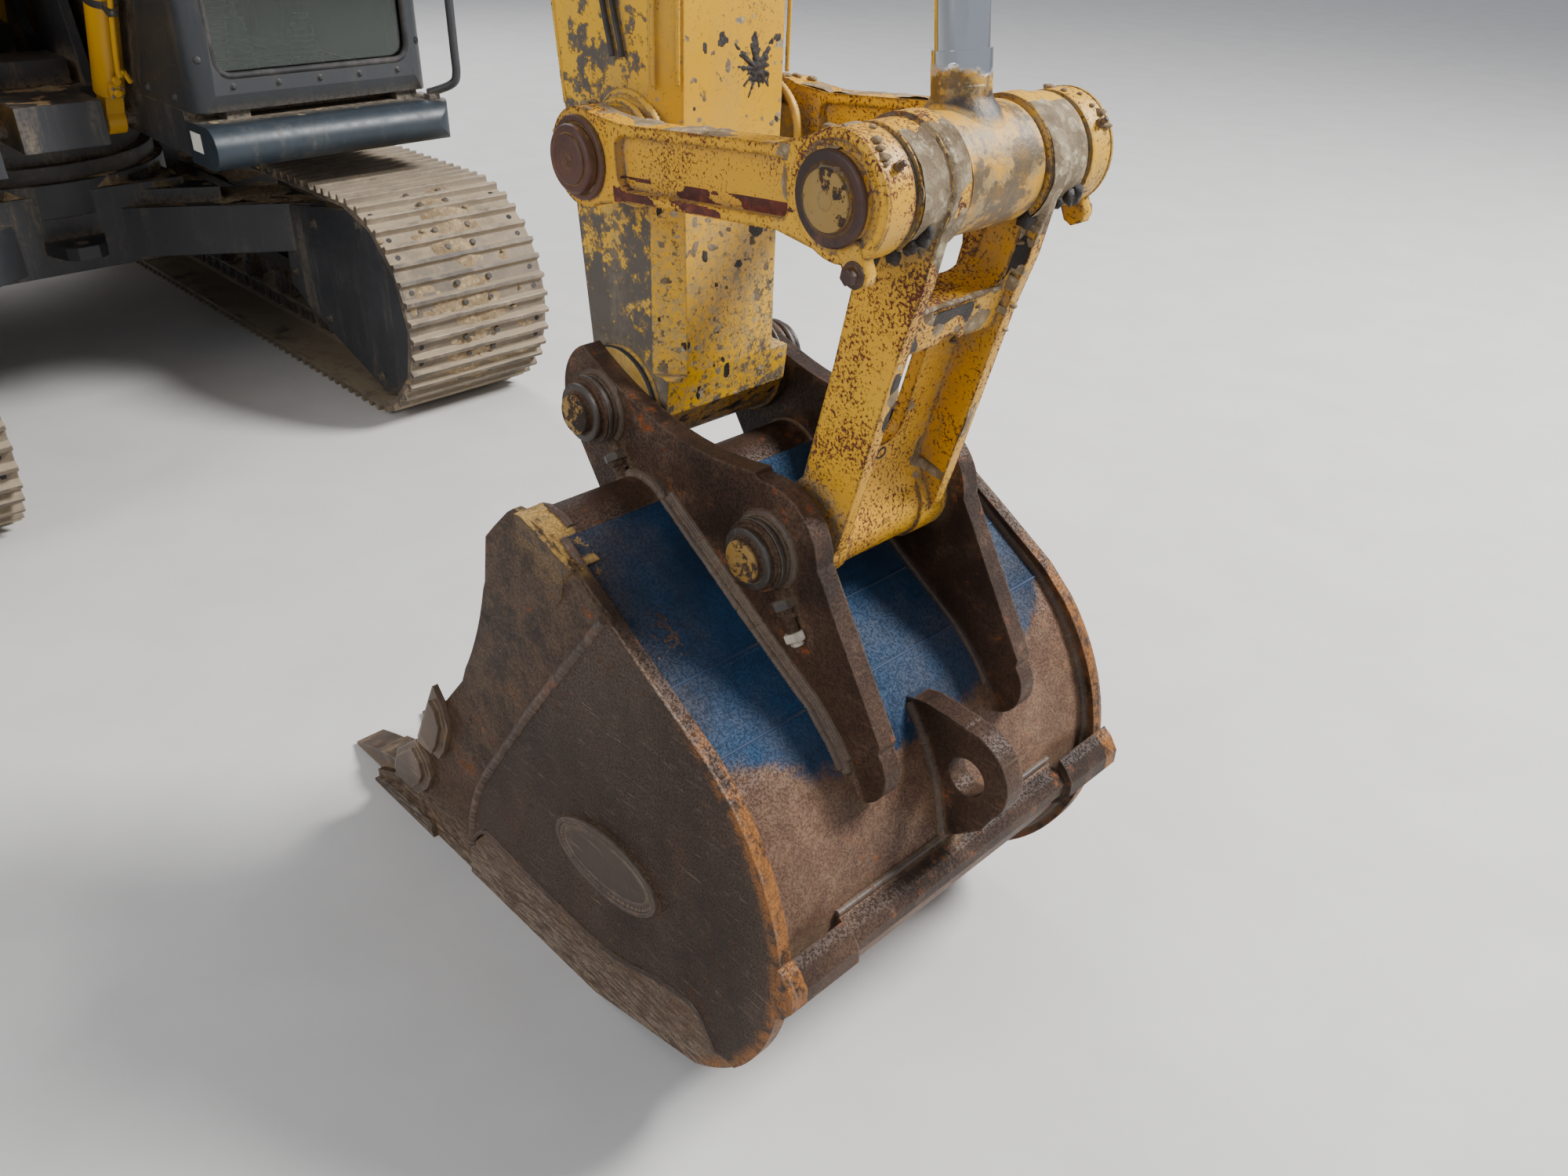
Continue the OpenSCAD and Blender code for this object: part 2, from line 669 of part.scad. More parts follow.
module arm_rod() {
  color("#b9bcc0") rod(pin_d0, pin_d1, 1800, 40, 72, 50, 66, 1300);
}
module bucket_barrel() {
  color("#d9a916") barrel(pin_e, pin_s, 1540, 62, 62, 46, 32);
}
module bucket_rod() {
  color("#b9bcc0") rod(pin_e, pin_s, 1540, 38, 85, 80, 62, 900);
}

// Arm
// side outline of the arm: [along, out to the front]
arm_pts = [[-700, 20], [-640, -10], [-280, -70], [0, -165], [200, -175], [700, -175], [idler_u - 50, -100],
  [arm_l - 80, -88], [arm_l + 30, -60], [arm_l + 70, 60], [arm_l + 10, 112], [arm_l - 60, 126], [idler_u - 60, 165],
  [900, 300], [400, 350], [-50, 340], [-560, 160], [-700, 110]];
module arm() {
  w = arm_w / 2;
  color("#d9a916") in_arm() {
    difference() {
      union() {
        pl(arm_pts, -w, w);
        cy([0, 0], 170, -152, 152);
        cy([arm_l, 0], 92, -160, 160);
        cy([idler_u, idler_v], 72, -190, 190);
        cy([idler_u, idler_v], 84, -160, 160);
        both() pl([[-20, 320], [70, 590], [110, 610], [190, 610], [242, 540], [250, 320]], 56, 92);
        both() cy([150, 534], 66, 56, 98);
        both() pl([[-520, -60], [-700, -20], [-700, 120], [-520, 170]], 60, w);
        both() cy([-620, 60], 85, w - 2, w + 12);
      }
      cy([0, 0], 42 + run, -300, 300);
      pl([[-1200, -300], [-440, -300], [-440, 400], [-1200, 400]], -57, 57);
      cy([arm_l, 0], 36 + run, -300, 300);
      both() at([900, 300], -5.76) translate([0, w, 0]) rotate([-45, 0, 0]) translate([0, -100, -27]) cube([1790, 200, 100]);
    }
    cy([idler_u, idler_v], 34, -262, 262);
    both() cy([idler_u, idler_v], 50, 252, 268);
    both() cy([-620, 60], 50, w + 12, w + 24);
    cy([150, 534], 32, -98, 98);
  }
}

// Bucket linkage
module idler_links() {
  y0 = 196;
  y1 = y0 + idler_t;
  e = [norm(pin_s - pin_r1), 0];
  h = eye_r * 0.66;
  color("#d9a916") at(pin_r1, atan2(pin_s[1] - pin_r1[1], pin_s[0] - pin_r1[0])) both() {
    difference() {
      union() {
        cy([0, 0], eye_r - 9, y0, y1);
        cy(e, eye_r, y0, y1);
        pl([[20, -h - 14], [110, -h], [e[0] - 120, -h], [e[0] - 30, -eye_r + 8],
            [e[0] - 30, eye_r - 8], [e[0] - 120, h], [110, h], [20, h + 14]], y0, y1);
      }
      cy([0, 0], 34 + run, y0 - 5, y1 + 5);
      for (y = [y1 - 15, y0 - 5]) side_port(92, e[0] - 96, y, y + 20, -h + 16, h - 16, 18);
    }
    difference() {
      cy([0, 0], 62, y1 - 1, y1 + 6);
      cy([0, 0], 51, y1 - 2, y1 + 7);
    }
    cy(e, 40, 90, y1 + 26);
    cy(e, 60, y1 - 2, y1 + 18);
  }
}

// forked cast link from the rod's eye down to the bucket: web with a slot between two flanges
link_w = 133;
module power_link() {
  a = atan2(pin_q[1] - pin_s[1], pin_q[0] - pin_s[0]);
  d = norm(pin_q - pin_s);
  flange = [[-40, -78], [60, -60], [150, -30], [300, -24], [d - 110, -24], [d - 40, -62], [d, -72], [d + 50, -50],
    [d + 70, 10], [d + 40, 60], [d - 30, 82], [d - 160, 84], [200, 84], [110, 90], [0, 85]];
  color("#d9a916") at(pin_s, a) {
    difference() {
      union() {
        both() {
          cy([0, 0], eye_r, 90, 184);
          cy([0, 0], eye_r + 6, 90, 130);
          difference() {
            pl(flange, link_w - 24, link_w);
            cy([0, 0], eye_r - 2, 80, 190);
          }
          cy([d, 0], 78, 90, 160);
        }
        bx(150, d - 20, -link_w + 10, link_w - 10, -6, 18);
        bx(60, 240, -link_w + 10, link_w - 10, 10, 70);
        cy([d, 0], 72, -160, 160);
        pl([[d - 110, -20], [d - 20, -66], [d - 20, 66], [d - 110, 18]], -link_w + 10, link_w - 10);
      }
      cy([0, 0], 40 + run, -300, 300);
      cy([0, 0], eye_r + 14, -89.9, 89.9);
      for (y = [-50, 50]) at([0, 0], 0) translate([132, y, 0]) cylinder(r = 42, h = 300, center = true);
      bx(60, 132, -92, 92, -150, 150);
      bx(132, 174, -50, 50, -150, 150);
      translate([262, 0, 0]) cylinder(r = 34, h = 300, center = true);
      translate([d - 190, 0, 0]) cylinder(r = 34, h = 300, center = true);
      bx(262, d - 190, -34, 34, -150, 150);
      cy([d, 0], 42, -300, 300);
    }
  }
}

// Bucket, measured from its pin: [x, z]
// rear curve: centre and radius; front curve: centre and radius
rear_c = [275, -701];
rear_r = 471;
front_c = [-991, -37];
front_r = 964;
low = -tip_z;
side_pts = [[66, -98], [104, -94], [242, -140], [449, -263], [569, -336], [628, -389], rear_c, [525, low + 80],
  [200, low], [-712, low], [-712, low + 30], [-620, low + 75], [-470, -940], [-330, -750], [-200, -600],
  [-60, -300], [-38, -195], [-5, -161], [46, -112]];
module rear_disc(r) {
  intersection() {
    translate(rear_c) circle(r = r);
    polygon([rear_c, rear_c + [600, 532], rear_c + [700, -200], rear_c + [400, -640]]);
  }
}
module side_plan() {
  difference() {
    union() {
      polygon(side_pts);
      rear_disc(rear_r);
    }
    translate(front_c) circle(r = front_r);
  }
}
module slab(y0, y1) {
  translate([0, y1, 0]) rotate([90, 0, 0]) linear_extrude(y1 - y0) children();
}
// wear plate behind the curved seam, and the strip along the bottom
seam_pts = [[320, -200], [109, -470], [-62, -704], [-156, -840], [-205, -939], [-232, -1027], [-245, -1070]];
strip_pts = [[-165, low + 205], [0, low + 190], [258, low + 184], [428, low + 238], [523, low + 255],
  [556, low + 227], [588, low + 178]];
module back_sheet() {
  t = back_t;
  r1 = rear_r - 25;
  difference() {
    union() {
      polygon([[186, -112], [442, -284], [560, -358], [609, -405], [593, -421], [547, -376], [430, -302], [174, -130]]);
      difference() {
        rear_disc(r1);
        translate(rear_c) circle(r = r1 - t);
      }
      polygon([[512, low + 101], [200, low + 24], [-500, low + 24], [-500, low + 24 + t], [204, low + 24 + t],
               [500, low + 120]]);
    }
  }
}
ear_pts = [[-106, -20], [-60, 80], [60, 112], [350, 110], [408, 9], [470, -4], [545, -92], [708, -368], [690, -480],
  [640, -500], [560, -420], [430, -310], [250, -160], [120, -120], [20, -240], [-14, -182], [-75, -90]];
// long curved ear
module ear_plan() {
  difference() {
    union() {
      polygon(ear_pts);
      circle(r = 112);
      translate([441, -102]) circle(r = 110);
      translate([655, -432]) circle(r = 70);
    }
    translate([290, 646]) circle(r = 640);
  }
}
module bucket() {
  h = half_w;
  y0 = ear_gap / 2;
  y1 = y0 + ear_t;
  q = [pin_q[0] - tip_x, pin_q[1] - tip_z];
  color("#5e4a3a") in_tip() {
    difference() {
      union() {
        both() {
          slab(h - side_t, h - 12) side_plan();
          slab(h - 13, h) intersection() {
            side_plan();
            polygon(concat(seam_pts, strip_pts, [[760, -1000], [800, -600], [500, -100]]));
          }
          slab(h - 13, h - 5) intersection() {
            side_plan();
            polygon(concat([[-254, low + 98], [-272, low - 1], [600, low - 1], [640, low + 180]],
              [[588, low + 170], [556, low + 217], [523, low + 245], [428, low + 228], [258, low + 174],
               [0, low + 180], [-165, low + 195]]));
          }
          slab(h - 60, h) polygon([[84, -96], [106, -94], [242, -139], [214, -166], [96, -124]]);
          slab(y0, y1) ear_plan();
          slab(y0 - 8, y0 + 1) polygon([[120, -190], [250, -150], [430, -290], [560, -370], [660, -470], [600, -440], [430, -330]]);
          medallion();
        }
        slab(-h + 10, h - 10) back_sheet();
        cy([120, -180], 82, -h + 10, h - 10);
        pl([[-712, low], [-712, low + 8], [-640, low + 40], [-480, low + 50], [-430, low + 40], [-430, low]], -h, h);
        eye_plate();
      }
      cy([758, -500], eye_hole, -30, 30);
    }
    cy([0, 0], 36, -262, 262);
    both() collars([0, 0], y1);
    both() cy(q, 36, y0 + 2, 262);
    both() collars(q, y1);
  }
}
// stack of rings and the keeper bolt on a pin's end
module collars(p, y) {
  cy(p, 62, y - 1, y + 12);
  cy(p, 56, y + 10, y + 22);
  cy(p, 62, y + 20, y + 34);
  cy(p, 52, y + 32, y + 48);
  at(p, -58) {
    bx(40, 118, y - 1, y + 10, -14, 14);
    translate([100, y + 12, 0]) rotate([0, 90, 0]) cylinder(r = 11, h = 56);
    translate([96, y + 12, 0]) rotate([0, 90, 0]) cylinder(r = 17, h = 14, $fn = 6);
  }
}
// bare oval pad on the side
module medallion() {
  translate([0, half_w + 5, 0]) rotate([90, 0, 0]) linear_extrude(6) translate([288, -752]) rotate(5) intersection() {
    translate([0, -134]) circle(r = 220);
    translate([0, 134]) circle(r = 220);
    square([330, 200], center = true);
  }
}
eye_hole = 38;
module eye_plate() {
  slab(-22, 22) union() {
    polygon([[560, -418], [655, -395], [740, -400], [800, -430], [838, -520], [800, -595], [735, -650], [690, -610]]);
    translate([752, -494]) circle(r = 92);
  }
}
// teeth on the lip: Y of each
tooth_y = [-384, -192, 0, 192, 384];
module teeth() {
  color("#6b6257") in_tip() for (y = tooth_y) {
    pl([[-712.3, low + 1], [-712.3, low + 8.3], [-640, low + 40.4], [-540, low + 46.7], [-560, low + 84],
        [-660, low + 92], [-740, low + 66], [-740, low + 1]], y - 42, y + 42);
    pl([[-738, low + 1], [-738, low + 66], [-700, low + 80], [-700, low + 60], [-712.3, low + 30], [-712.3, low + 1]],
        y - 34, y + 34);
    pl([[-738, low + 4], [-738, low + 62], [-800, low + 40], [-872, low + 12], [-872, low + 4]], y - 38, y + 38);
  }
}
module side_cutters() {
  y = half_w - 11.7;
  color("#6a5a48") in_tip() both() {
    pl([[-423, -868], [-311, -667], [-284, -704], [-272, -765], [-306, -842], [-335, -880]], y, y + 14);
    pl([[-402, -862], [-316, -704], [-298, -722], [-292, -766], [-318, -826], [-342, -862]], y + 13, y + 26);
    pl([[-567, -1034], [-542, -973], [-441, -888], [-400, -933], [-391, -971], [-417, -1018], [-470, -1066],
        [-540, -1064]], y, y + 14);
    pl([[-548, -1030], [-530, -982], [-444, -910], [-418, -938], [-412, -970], [-434, -1006], [-476, -1044],
        [-532, -1044]], y + 13, y + 26);
  }
}
module heel_bars() {
  x = rear_c[0] + rear_r - 24.7;
  color("#5e4a3a") in_tip() {
    pl([[x, -664], [x + 34, -676], [x + 50, -694], [x + 50, -716], [x + 34, -742], [x, -750]], -300, 300);
    both() pl([[x + 25, -650], [x + 44, -664], [x + 62, -690], [x + 62, -722], [x + 42, -752], [x + 25, -764]], 306, half_w + 8);
  }
}

car_body();
slew_ring();
track_frame_left();
track_frame_right();
wheels_left();
wheels_right();
final_drives();
track_left();
track_right();
platform();
boom_bracket();
counterweight();
engine();
housing();
hood();
side_door_left();
side_door_right();
tanks();
tool_box();
rear_box();
cab_shell();
cab_glass();
cab_door();
door_glass();
seat();
levers();
front_beam();
hand_rails();
exhaust();
boom();
boom_barrels();
boom_rods();
arm_barrel();
arm_rod();
bucket_barrel();
bucket_rod();
arm();
idler_links();
power_link();
bucket();
teeth();
side_cutters();
heel_bars();
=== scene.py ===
"""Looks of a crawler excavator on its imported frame: finishes, fittings, dirt, camera and light."""

import logging
import random
from dataclasses import dataclass
from enum import Enum
from math import asin, atan2, copysign, cos, hypot, pi, radians, sin, sqrt
from typing import Callable, Iterable, Sequence

import bmesh
import bpy
from mathutils import Matrix, Vector, noise
from mathutils.bvhtree import BVHTree


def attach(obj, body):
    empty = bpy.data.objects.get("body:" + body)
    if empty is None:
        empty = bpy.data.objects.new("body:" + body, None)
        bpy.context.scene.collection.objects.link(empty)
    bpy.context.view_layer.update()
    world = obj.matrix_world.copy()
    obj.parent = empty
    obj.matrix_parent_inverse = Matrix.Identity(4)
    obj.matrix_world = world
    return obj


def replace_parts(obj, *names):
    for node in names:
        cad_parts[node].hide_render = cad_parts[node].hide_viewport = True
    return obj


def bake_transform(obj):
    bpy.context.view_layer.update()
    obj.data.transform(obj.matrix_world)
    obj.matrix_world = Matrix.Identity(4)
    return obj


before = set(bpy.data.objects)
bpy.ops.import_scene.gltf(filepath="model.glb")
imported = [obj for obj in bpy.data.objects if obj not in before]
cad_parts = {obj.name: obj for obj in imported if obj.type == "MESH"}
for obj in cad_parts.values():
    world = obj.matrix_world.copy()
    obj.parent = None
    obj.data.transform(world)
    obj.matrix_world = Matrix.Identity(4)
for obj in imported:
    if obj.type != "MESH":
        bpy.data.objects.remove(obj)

log = logging.getLogger("excavator")
Point = Sequence[float]
Pair = tuple[float, float]
Spot = tuple[Vector, Vector]
Place = Callable[[float, float], Spot | None]
Socket = bpy.types.NodeSocket


def tint(code: str) -> tuple[float, float, float, float]:
    """Linear colour of a hex code.

    Args:
        code: six hex digits after a hash sign.

    Returns:
        Red, green, blue and alpha for a shader's socket.
    """
    parts = [int(code[k : k + 2], 16) / 255 for k in (1, 3, 5)]
    return tuple(c / 12.92 if c <= 0.04045 else ((c + 0.055) / 1.055) ** 2.4 for c in parts) + (1.0,
        )


def mm(*sizes: float) -> list[Pair]:
    """Pairs in metres from sizes in millimetres.

    Args:
        sizes: two by two, such as a turned profile's places along its axis and its radii there.

    Returns:
        The pairs.
    """
    return [(a / 1000, b / 1000) for a, b in zip(sizes[::2], sizes[1::2])]


def circle(count: int, start: float = 0.0) -> list[Pair]:
    """Cosine and sine at even steps round a circle.

    Args:
        count: number of steps.
        start: the first angle, in radians.

    Returns:
        One pair for each step.
    """
    angles = [start + 2 * pi * k / count for k in range(count)]
    return [(cos(a), sin(a)) for a in angles]


class Wire:
    """One output of a node. Each sign of arithmetic on it adds a node."""

    def __init__(self, recipe: "Recipe", socket: Socket) -> None:
        """Holds an output.

        Args:
            recipe: the recipe that the node is in.
            socket: the output.
        """
        self.recipe, self.socket = recipe, socket

    def __add__(self, other: object) -> "Wire":
        """This output and a value."""
        return self.recipe.sums("ADD", self, other)

    def __radd__(self, other: float) -> "Wire":
        """A number and this output."""
        return self.recipe.sums("ADD", other, self)

    def __sub__(self, other: object) -> "Wire":
        """This output less a value."""
        return self.recipe.sums("SUBTRACT", self, other)

    def __rsub__(self, other: float) -> "Wire":
        """A number less this output."""
        return self.recipe.sums("SUBTRACT", other, self)

    def __mul__(self, other: object) -> "Wire":
        """This output times a value."""
        return self.recipe.sums("MULTIPLY", self, other)

    def __abs__(self) -> "Wire":
        """This output without its sign."""
        return self.recipe.sums("ABSOLUTE", self, 0.0)

    def held(self) -> "Wire":
        """Keeps this output from 0 to 1."""
        self.socket.node.use_clamp = True
        return self


class Recipe:
    """A material's node tree with short calls for the nodes that the finishes share."""

    def __init__(self, name: str) -> None:
        """Starts a material with one Principled shader.

        Args:
            name: the material's name.
        """
        self.material = bpy.data.materials.new(name)
        self.material.use_nodes = True
        self.tree = self.material.node_tree
        self.tree.nodes.clear()
        self.shader = self.add("ShaderNodeBsdfPrincipled")
        self.out = self.add("ShaderNodeOutputMaterial")
        self.tree.links.new(self.shader.outputs[0], self.out.inputs[0])
        self.coords = self.add("ShaderNodeTexCoord")
        self.where = self.coords.outputs["Object"]
        self.normal: Wire | None = None

    def add(self, kind: str, **settings: object) -> bpy.types.Node:
        """Adds a node and sets its own properties.

        Args:
            kind: the node's type.
            settings: properties of the node by name.

        Returns:
            The node.
        """
        node = self.tree.nodes.new(kind)
        for name, value in settings.items():
            setattr(node, name, value)
        return node

    def feed(self, socket: Socket, value: object) -> None:
        """Links a socket or sets its value.

        Args:
            socket: an input of a node.
            value: another node's output, a number or a tuple.
        """
        value = value.socket if isinstance(value, Wire) else value
        if isinstance(value, Socket):
            self.tree.links.new(value, socket)
        else:
            socket.default_value = value

    def moved(self, stretch: Point, turn: Point, shift: Point) -> Wire:
        """The object's own place, stretched, turned and shifted.

        Args:
            stretch: scale along each axis.
            turn: rotation, in radians.
            shift: shift along each axis.

        Returns:
            The new place.
        """
        node = self.add("ShaderNodeMapping")
        for name, value in (("Vector", self.where), ("Scale", stretch), ("Rotation", turn),
                ("Location", shift)):
            self.feed(node.inputs[name], value)
        return Wire(self, node.outputs[0])

    def grain(self, scale: float, detail: float = 4, rough: float = 0.55,
            stretch: Point = (1, 1, 1), turn: Point = (0, 0, 0), seed: float = 0) -> Wire:
        """Noise in the object's own place.

        Args:
            scale: features per metre.
            detail: octaves.
            rough: weight of the finer octaves.
            stretch: scale along each axis.
            turn: rotation of the pattern, in radians.
            seed: shift of the pattern.

        Returns:
            The noise, around 0.5.
        """
        move = self.moved(stretch, turn, (seed, 2 * seed, -seed))
        node = self.add("ShaderNodeTexNoise")
        for name, value in (("Vector", move), ("Scale", scale), ("Detail", detail),
                ("Roughness", rough)):
            self.feed(node.inputs[name], value)
        return Wire(self, node.outputs[0])

    def cells(self, scale: float, seed: float = 0) -> Wire:
        """Distance to the nearest of scattered points.

        Args:
            scale: points per metre.
            seed: shift of the pattern.

        Returns:
            The distance, 0 at each point.
        """
        move = self.moved((1, 1, 1), (0, 0, 0), (seed, seed, seed))
        node = self.add("ShaderNodeTexVoronoi")
        self.feed(node.inputs["Vector"], move)
        self.feed(node.inputs["Scale"], scale)
        return Wire(self, node.outputs["Distance"])

    def step(self, value: Wire, low: float, high: float, top: float = 1.0) -> Wire:
        """Smooth step of a value.

        Args:
            value: what is measured.
            low: where the step starts.
            high: where it ends; below low for a falling step.
            top: height of the step.

        Returns:
            0 to top.
        """
        node = self.add("ShaderNodeMapRange", interpolation_type="SMOOTHSTEP")
        self.feed(node.inputs["Value"], value)
        for name, number in (("From Min", low), ("From Max", high), ("To Min", 0.0),
                ("To Max", top)):
            self.feed(node.inputs[name], number)
        return Wire(self, node.outputs["Result"])

    def sums(self, how: str, first: object, second: object) -> Wire:
        """One sum of two values.

        Args:
            how: the operation, such as ADD.
            first: number or socket.
            second: number or socket.

        Returns:
            The result.
        """
        node = self.add("ShaderNodeMath", operation=how)
        self.feed(node.inputs[0], first)
        self.feed(node.inputs[1], second)
        return Wire(self, node.outputs[0])

    def blend(self, share: object, first: object, second: object) -> Wire:
        """Mix of two colours.

        Args:
            share: share of the second colour.
            first: colour or socket.
            second: colour or socket.

        Returns:
            The mixed colour.
        """
        node = self.add("ShaderNodeMix", data_type="RGBA", clamp_factor=True)
        self.feed(node.inputs[0], share)
        self.feed(node.inputs[6], first)
        self.feed(node.inputs[7], second)
        return Wire(self, node.outputs[2])

    def lay(self, colour: object, over: str, value: Wire, low: float, high: float,
            top: float = 1.0) -> Wire:
        """Lays a colour over another where a value steps.

        Args:
            colour: the colour below.
            over: hex code of the colour above.
            value: what is measured.
            low: where the step starts.
            high: where it ends.
            top: share of the upper colour past the step.

        Returns:
            The mixed colour.
        """
        return self.blend(self.step(value, low, high, top), colour, tint(over))

    def facing(self, axis: int) -> Wire:
        """How much the surface faces along an axis."""
        return self.apart(self.coords.outputs["Normal"])[axis]

    def apart(self, value: Wire) -> tuple[Wire, Wire, Wire]:
        """The three parts of a vector."""
        node = self.add("ShaderNodeSeparateXYZ")
        self.feed(node.inputs[0], value)
        return tuple(Wire(self, output) for output in node.outputs)

    def away(self, centre: Point, stretch: Point = (1, 1, 1)) -> Wire:
        """Distance from a point in the object's own place.

        Args:
            centre: the point, in metres.
            stretch: weight of each axis.

        Returns:
            The distance.
        """
        move = self.add("ShaderNodeVectorMath", operation="SUBTRACT")
        self.feed(move.inputs[0], self.where)
        move.inputs[1].default_value = centre
        scale = self.add("ShaderNodeVectorMath", operation="MULTIPLY")
        self.feed(scale.inputs[0], move.outputs[0])
        scale.inputs[1].default_value = stretch
        node = self.add("ShaderNodeVectorMath", operation="LENGTH")
        self.feed(node.inputs[0], scale.outputs[0])
        return Wire(self, node.outputs["Value"])

    def rims(self, radius: float) -> tuple[Wire, Wire]:
        """How near a point is to an edge, and the normal rounded over it.

        Args:
            radius: width of the rounding, in metres.

        Returns:
            0 to 1 towards an edge, and the rounded normal.
        """
        bevel = self.add("ShaderNodeBevel", samples=4)
        bevel.inputs["Radius"].default_value = radius
        dot = self.add("ShaderNodeVectorMath", operation="DOT_PRODUCT")
        self.feed(dot.inputs[0], bevel.outputs[0])
        self.feed(dot.inputs[1], self.add("ShaderNodeNewGeometry").outputs["Normal"])
        return self.step(dot.outputs["Value"], 0.985, 0.80), Wire(self, bevel.outputs[0])

    def corners(self, reach: float) -> Wire:
        """How deep a point lies in a corner.

        Args:
            reach: how far off a wall counts, in metres.

        Returns:
            0 in the open to 1 in a corner.
        """
        node = self.add("ShaderNodeAmbientOcclusion", samples=4)
        node.inputs["Distance"].default_value = reach
        return self.step(node.outputs["AO"], 0.85, 0.35)

    def relief(self, height: Wire, depth: float, below: Wire | None = None) -> Wire:
        """Bump on a surface.

        Args:
            height: 0 to 1.
            depth: height of the bump, in metres.
            below: the normal under it.

        Returns:
            The new normal.
        """
        node = self.add("ShaderNodeBump")
        node.inputs["Distance"].default_value = depth
        self.feed(node.inputs["Height"], height)
        if below is not None:
            self.feed(node.inputs["Normal"], below)
        return Wire(self, node.outputs[0])

    def close(self, colour: object, rough: object, normal: Wire | None = None,
            metal: object = 0.0) -> bpy.types.Material:
        """Feeds the shader's main sockets.

        Args:
            colour: base colour.
            rough: roughness.
            normal: bumped normal.
            metal: metallic.

        Returns:
            The material.
        """
        for name, value in (("Base Color", colour), ("Roughness", rough), ("Metallic", metal)):
            self.feed(self.shader.inputs[name], value)
        if normal is not None:
            self.feed(self.shader.inputs["Normal"], normal)
        return self.material


@dataclass(frozen=True)
class Finish:
    """A named finish that makes its material once."""

    name: str

    def mix(self) -> bpy.types.Material:
        """Builds the material's nodes."""
        raise NotImplementedError

    def material(self) -> bpy.types.Material:
        """The material, made at the first call."""
        return bpy.data.materials.get(self.name) or self.mix()


@dataclass(frozen=True)
class WornPaint(Finish):
    """Painted steel with faded patches, chips down to primer and metal, streaks and dust."""

    coat: str = "#cf9a00"
    faded: str = "#d8a512"
    primer: str = "#54281a"
    metal: str = "#403a35"
    dust: str = "#8c7c66"
    chips: float = 0.5
    grime: float = 0.35
    gloss: float = 0.36
    edge: float = 0.006
    speckle: float = 0.0
    scuff: float = 0.0
    spots: tuple[tuple[float, ...], ...] = ()

    def mix(self) -> bpy.types.Material:
        """Layers coat, chips, dirt and dust.

        Returns:
            The material.
        """
        r = Recipe(self.name)
        broad = r.grain(1.1, 4, 0.6)
        colour = r.lay(tint(self.coat), self.faded, broad, 0.38, 0.66)
        speck = r.grain(30, 6, 0.65)
        colour = r.lay(colour, self.faded, speck, 0.5, 0.8, 0.35)
        edge, round_normal = r.rims(self.edge)
        gather = r.grain(3.4, 5, 0.62, seed=3.1)
        coarse = r.grain(34, 8, 0.68, seed=1.7)
        fine = r.grain(150, 6, 0.7, seed=5.3)
        wear = gather * 0.55 + coarse * 0.62 + fine * 0.20 + edge * r.step(coarse, 0.35, 0.6, 0.17)
        for x, y, z, reach, much in self.spots:
            wear = wear + r.step(r.away((x, y, z)), reach, 0.0, much)
        if self.scuff:
            flank = r.step(abs(r.facing(1)), 0.8, 0.95)
            fall = r.step(r.apart(r.where)[2], 3.2, 1.2, self.scuff)
            wear = wear + flank * fall
            low = r.step(r.apart(r.where)[2] + gather * 0.5, 2.02, 1.50)
            flecks = low * r.step(r.grain(46, 9, 0.8, seed=61), 0.47, 0.53, 0.85)
            colour = r.blend(flecks * r.step(fine, 0.3, 0.6), colour, tint("#8f815f"))
            colour = r.blend(low * r.step(r.grain(75, 9, 0.8, seed=62), 0.55, 0.58, 0.9), colour,
                tint("#3b342d"))
        level = 0.905 - 0.12 * self.chips
        chip = r.step(wear, level, level + 0.012)
        bare = r.step(wear, level + 0.018, level + 0.04)
        dots = r.grain(190, 4, 0.75, seed=14) * 0.7 + r.grain(7, 5, 0.6,
            seed=15) * 0.3 + edge * 0.05
        level = 0.64 - 0.11 * self.speckle
        chip = r.sums("MAXIMUM", chip,
            r.step(dots, level, level + 0.015, 1.0 if self.speckle else 0.0))
        colour = r.blend(chip, colour, tint(self.primer))
        colour = r.blend(bare, colour, tint(self.metal))
        scratch = r.grain(16, 3, 0.6, (1, 1, 14), (0.5, 0.3, 0.2), 2.2)
        line = r.step(scratch, 0.69, 0.72) * r.step(gather, 0.42, 0.55, 0.5)
        colour = r.blend(line, colour, tint(self.metal))
        corner = r.corners(0.09)
        streak = r.grain(11, 6, 0.7, (1, 1, 0.12), seed=7.7)
        soil = r.step(streak, 0.5, 0.72) * r.step(broad, 0.35, 0.6, self.grime)
        soil = (soil + corner * min(1.0, self.grime * 1.5)).held()
        soil = soil * r.step(r.grain(60, 7, 0.7, seed=4.4), 0.3, 0.6)
        colour = r.blend(soil, colour, tint(self.dust))
        lift = speck * 0.25 - chip * 0.6 + soil * 0.5
        rough = self.gloss + r.sums("MAXIMUM", chip, soil) * 0.38
        rough = (rough + r.step(speck, 0.3, 0.8) * 0.12).held()
        return r.close(colour, rough, r.relief(lift, 0.0016, round_normal))


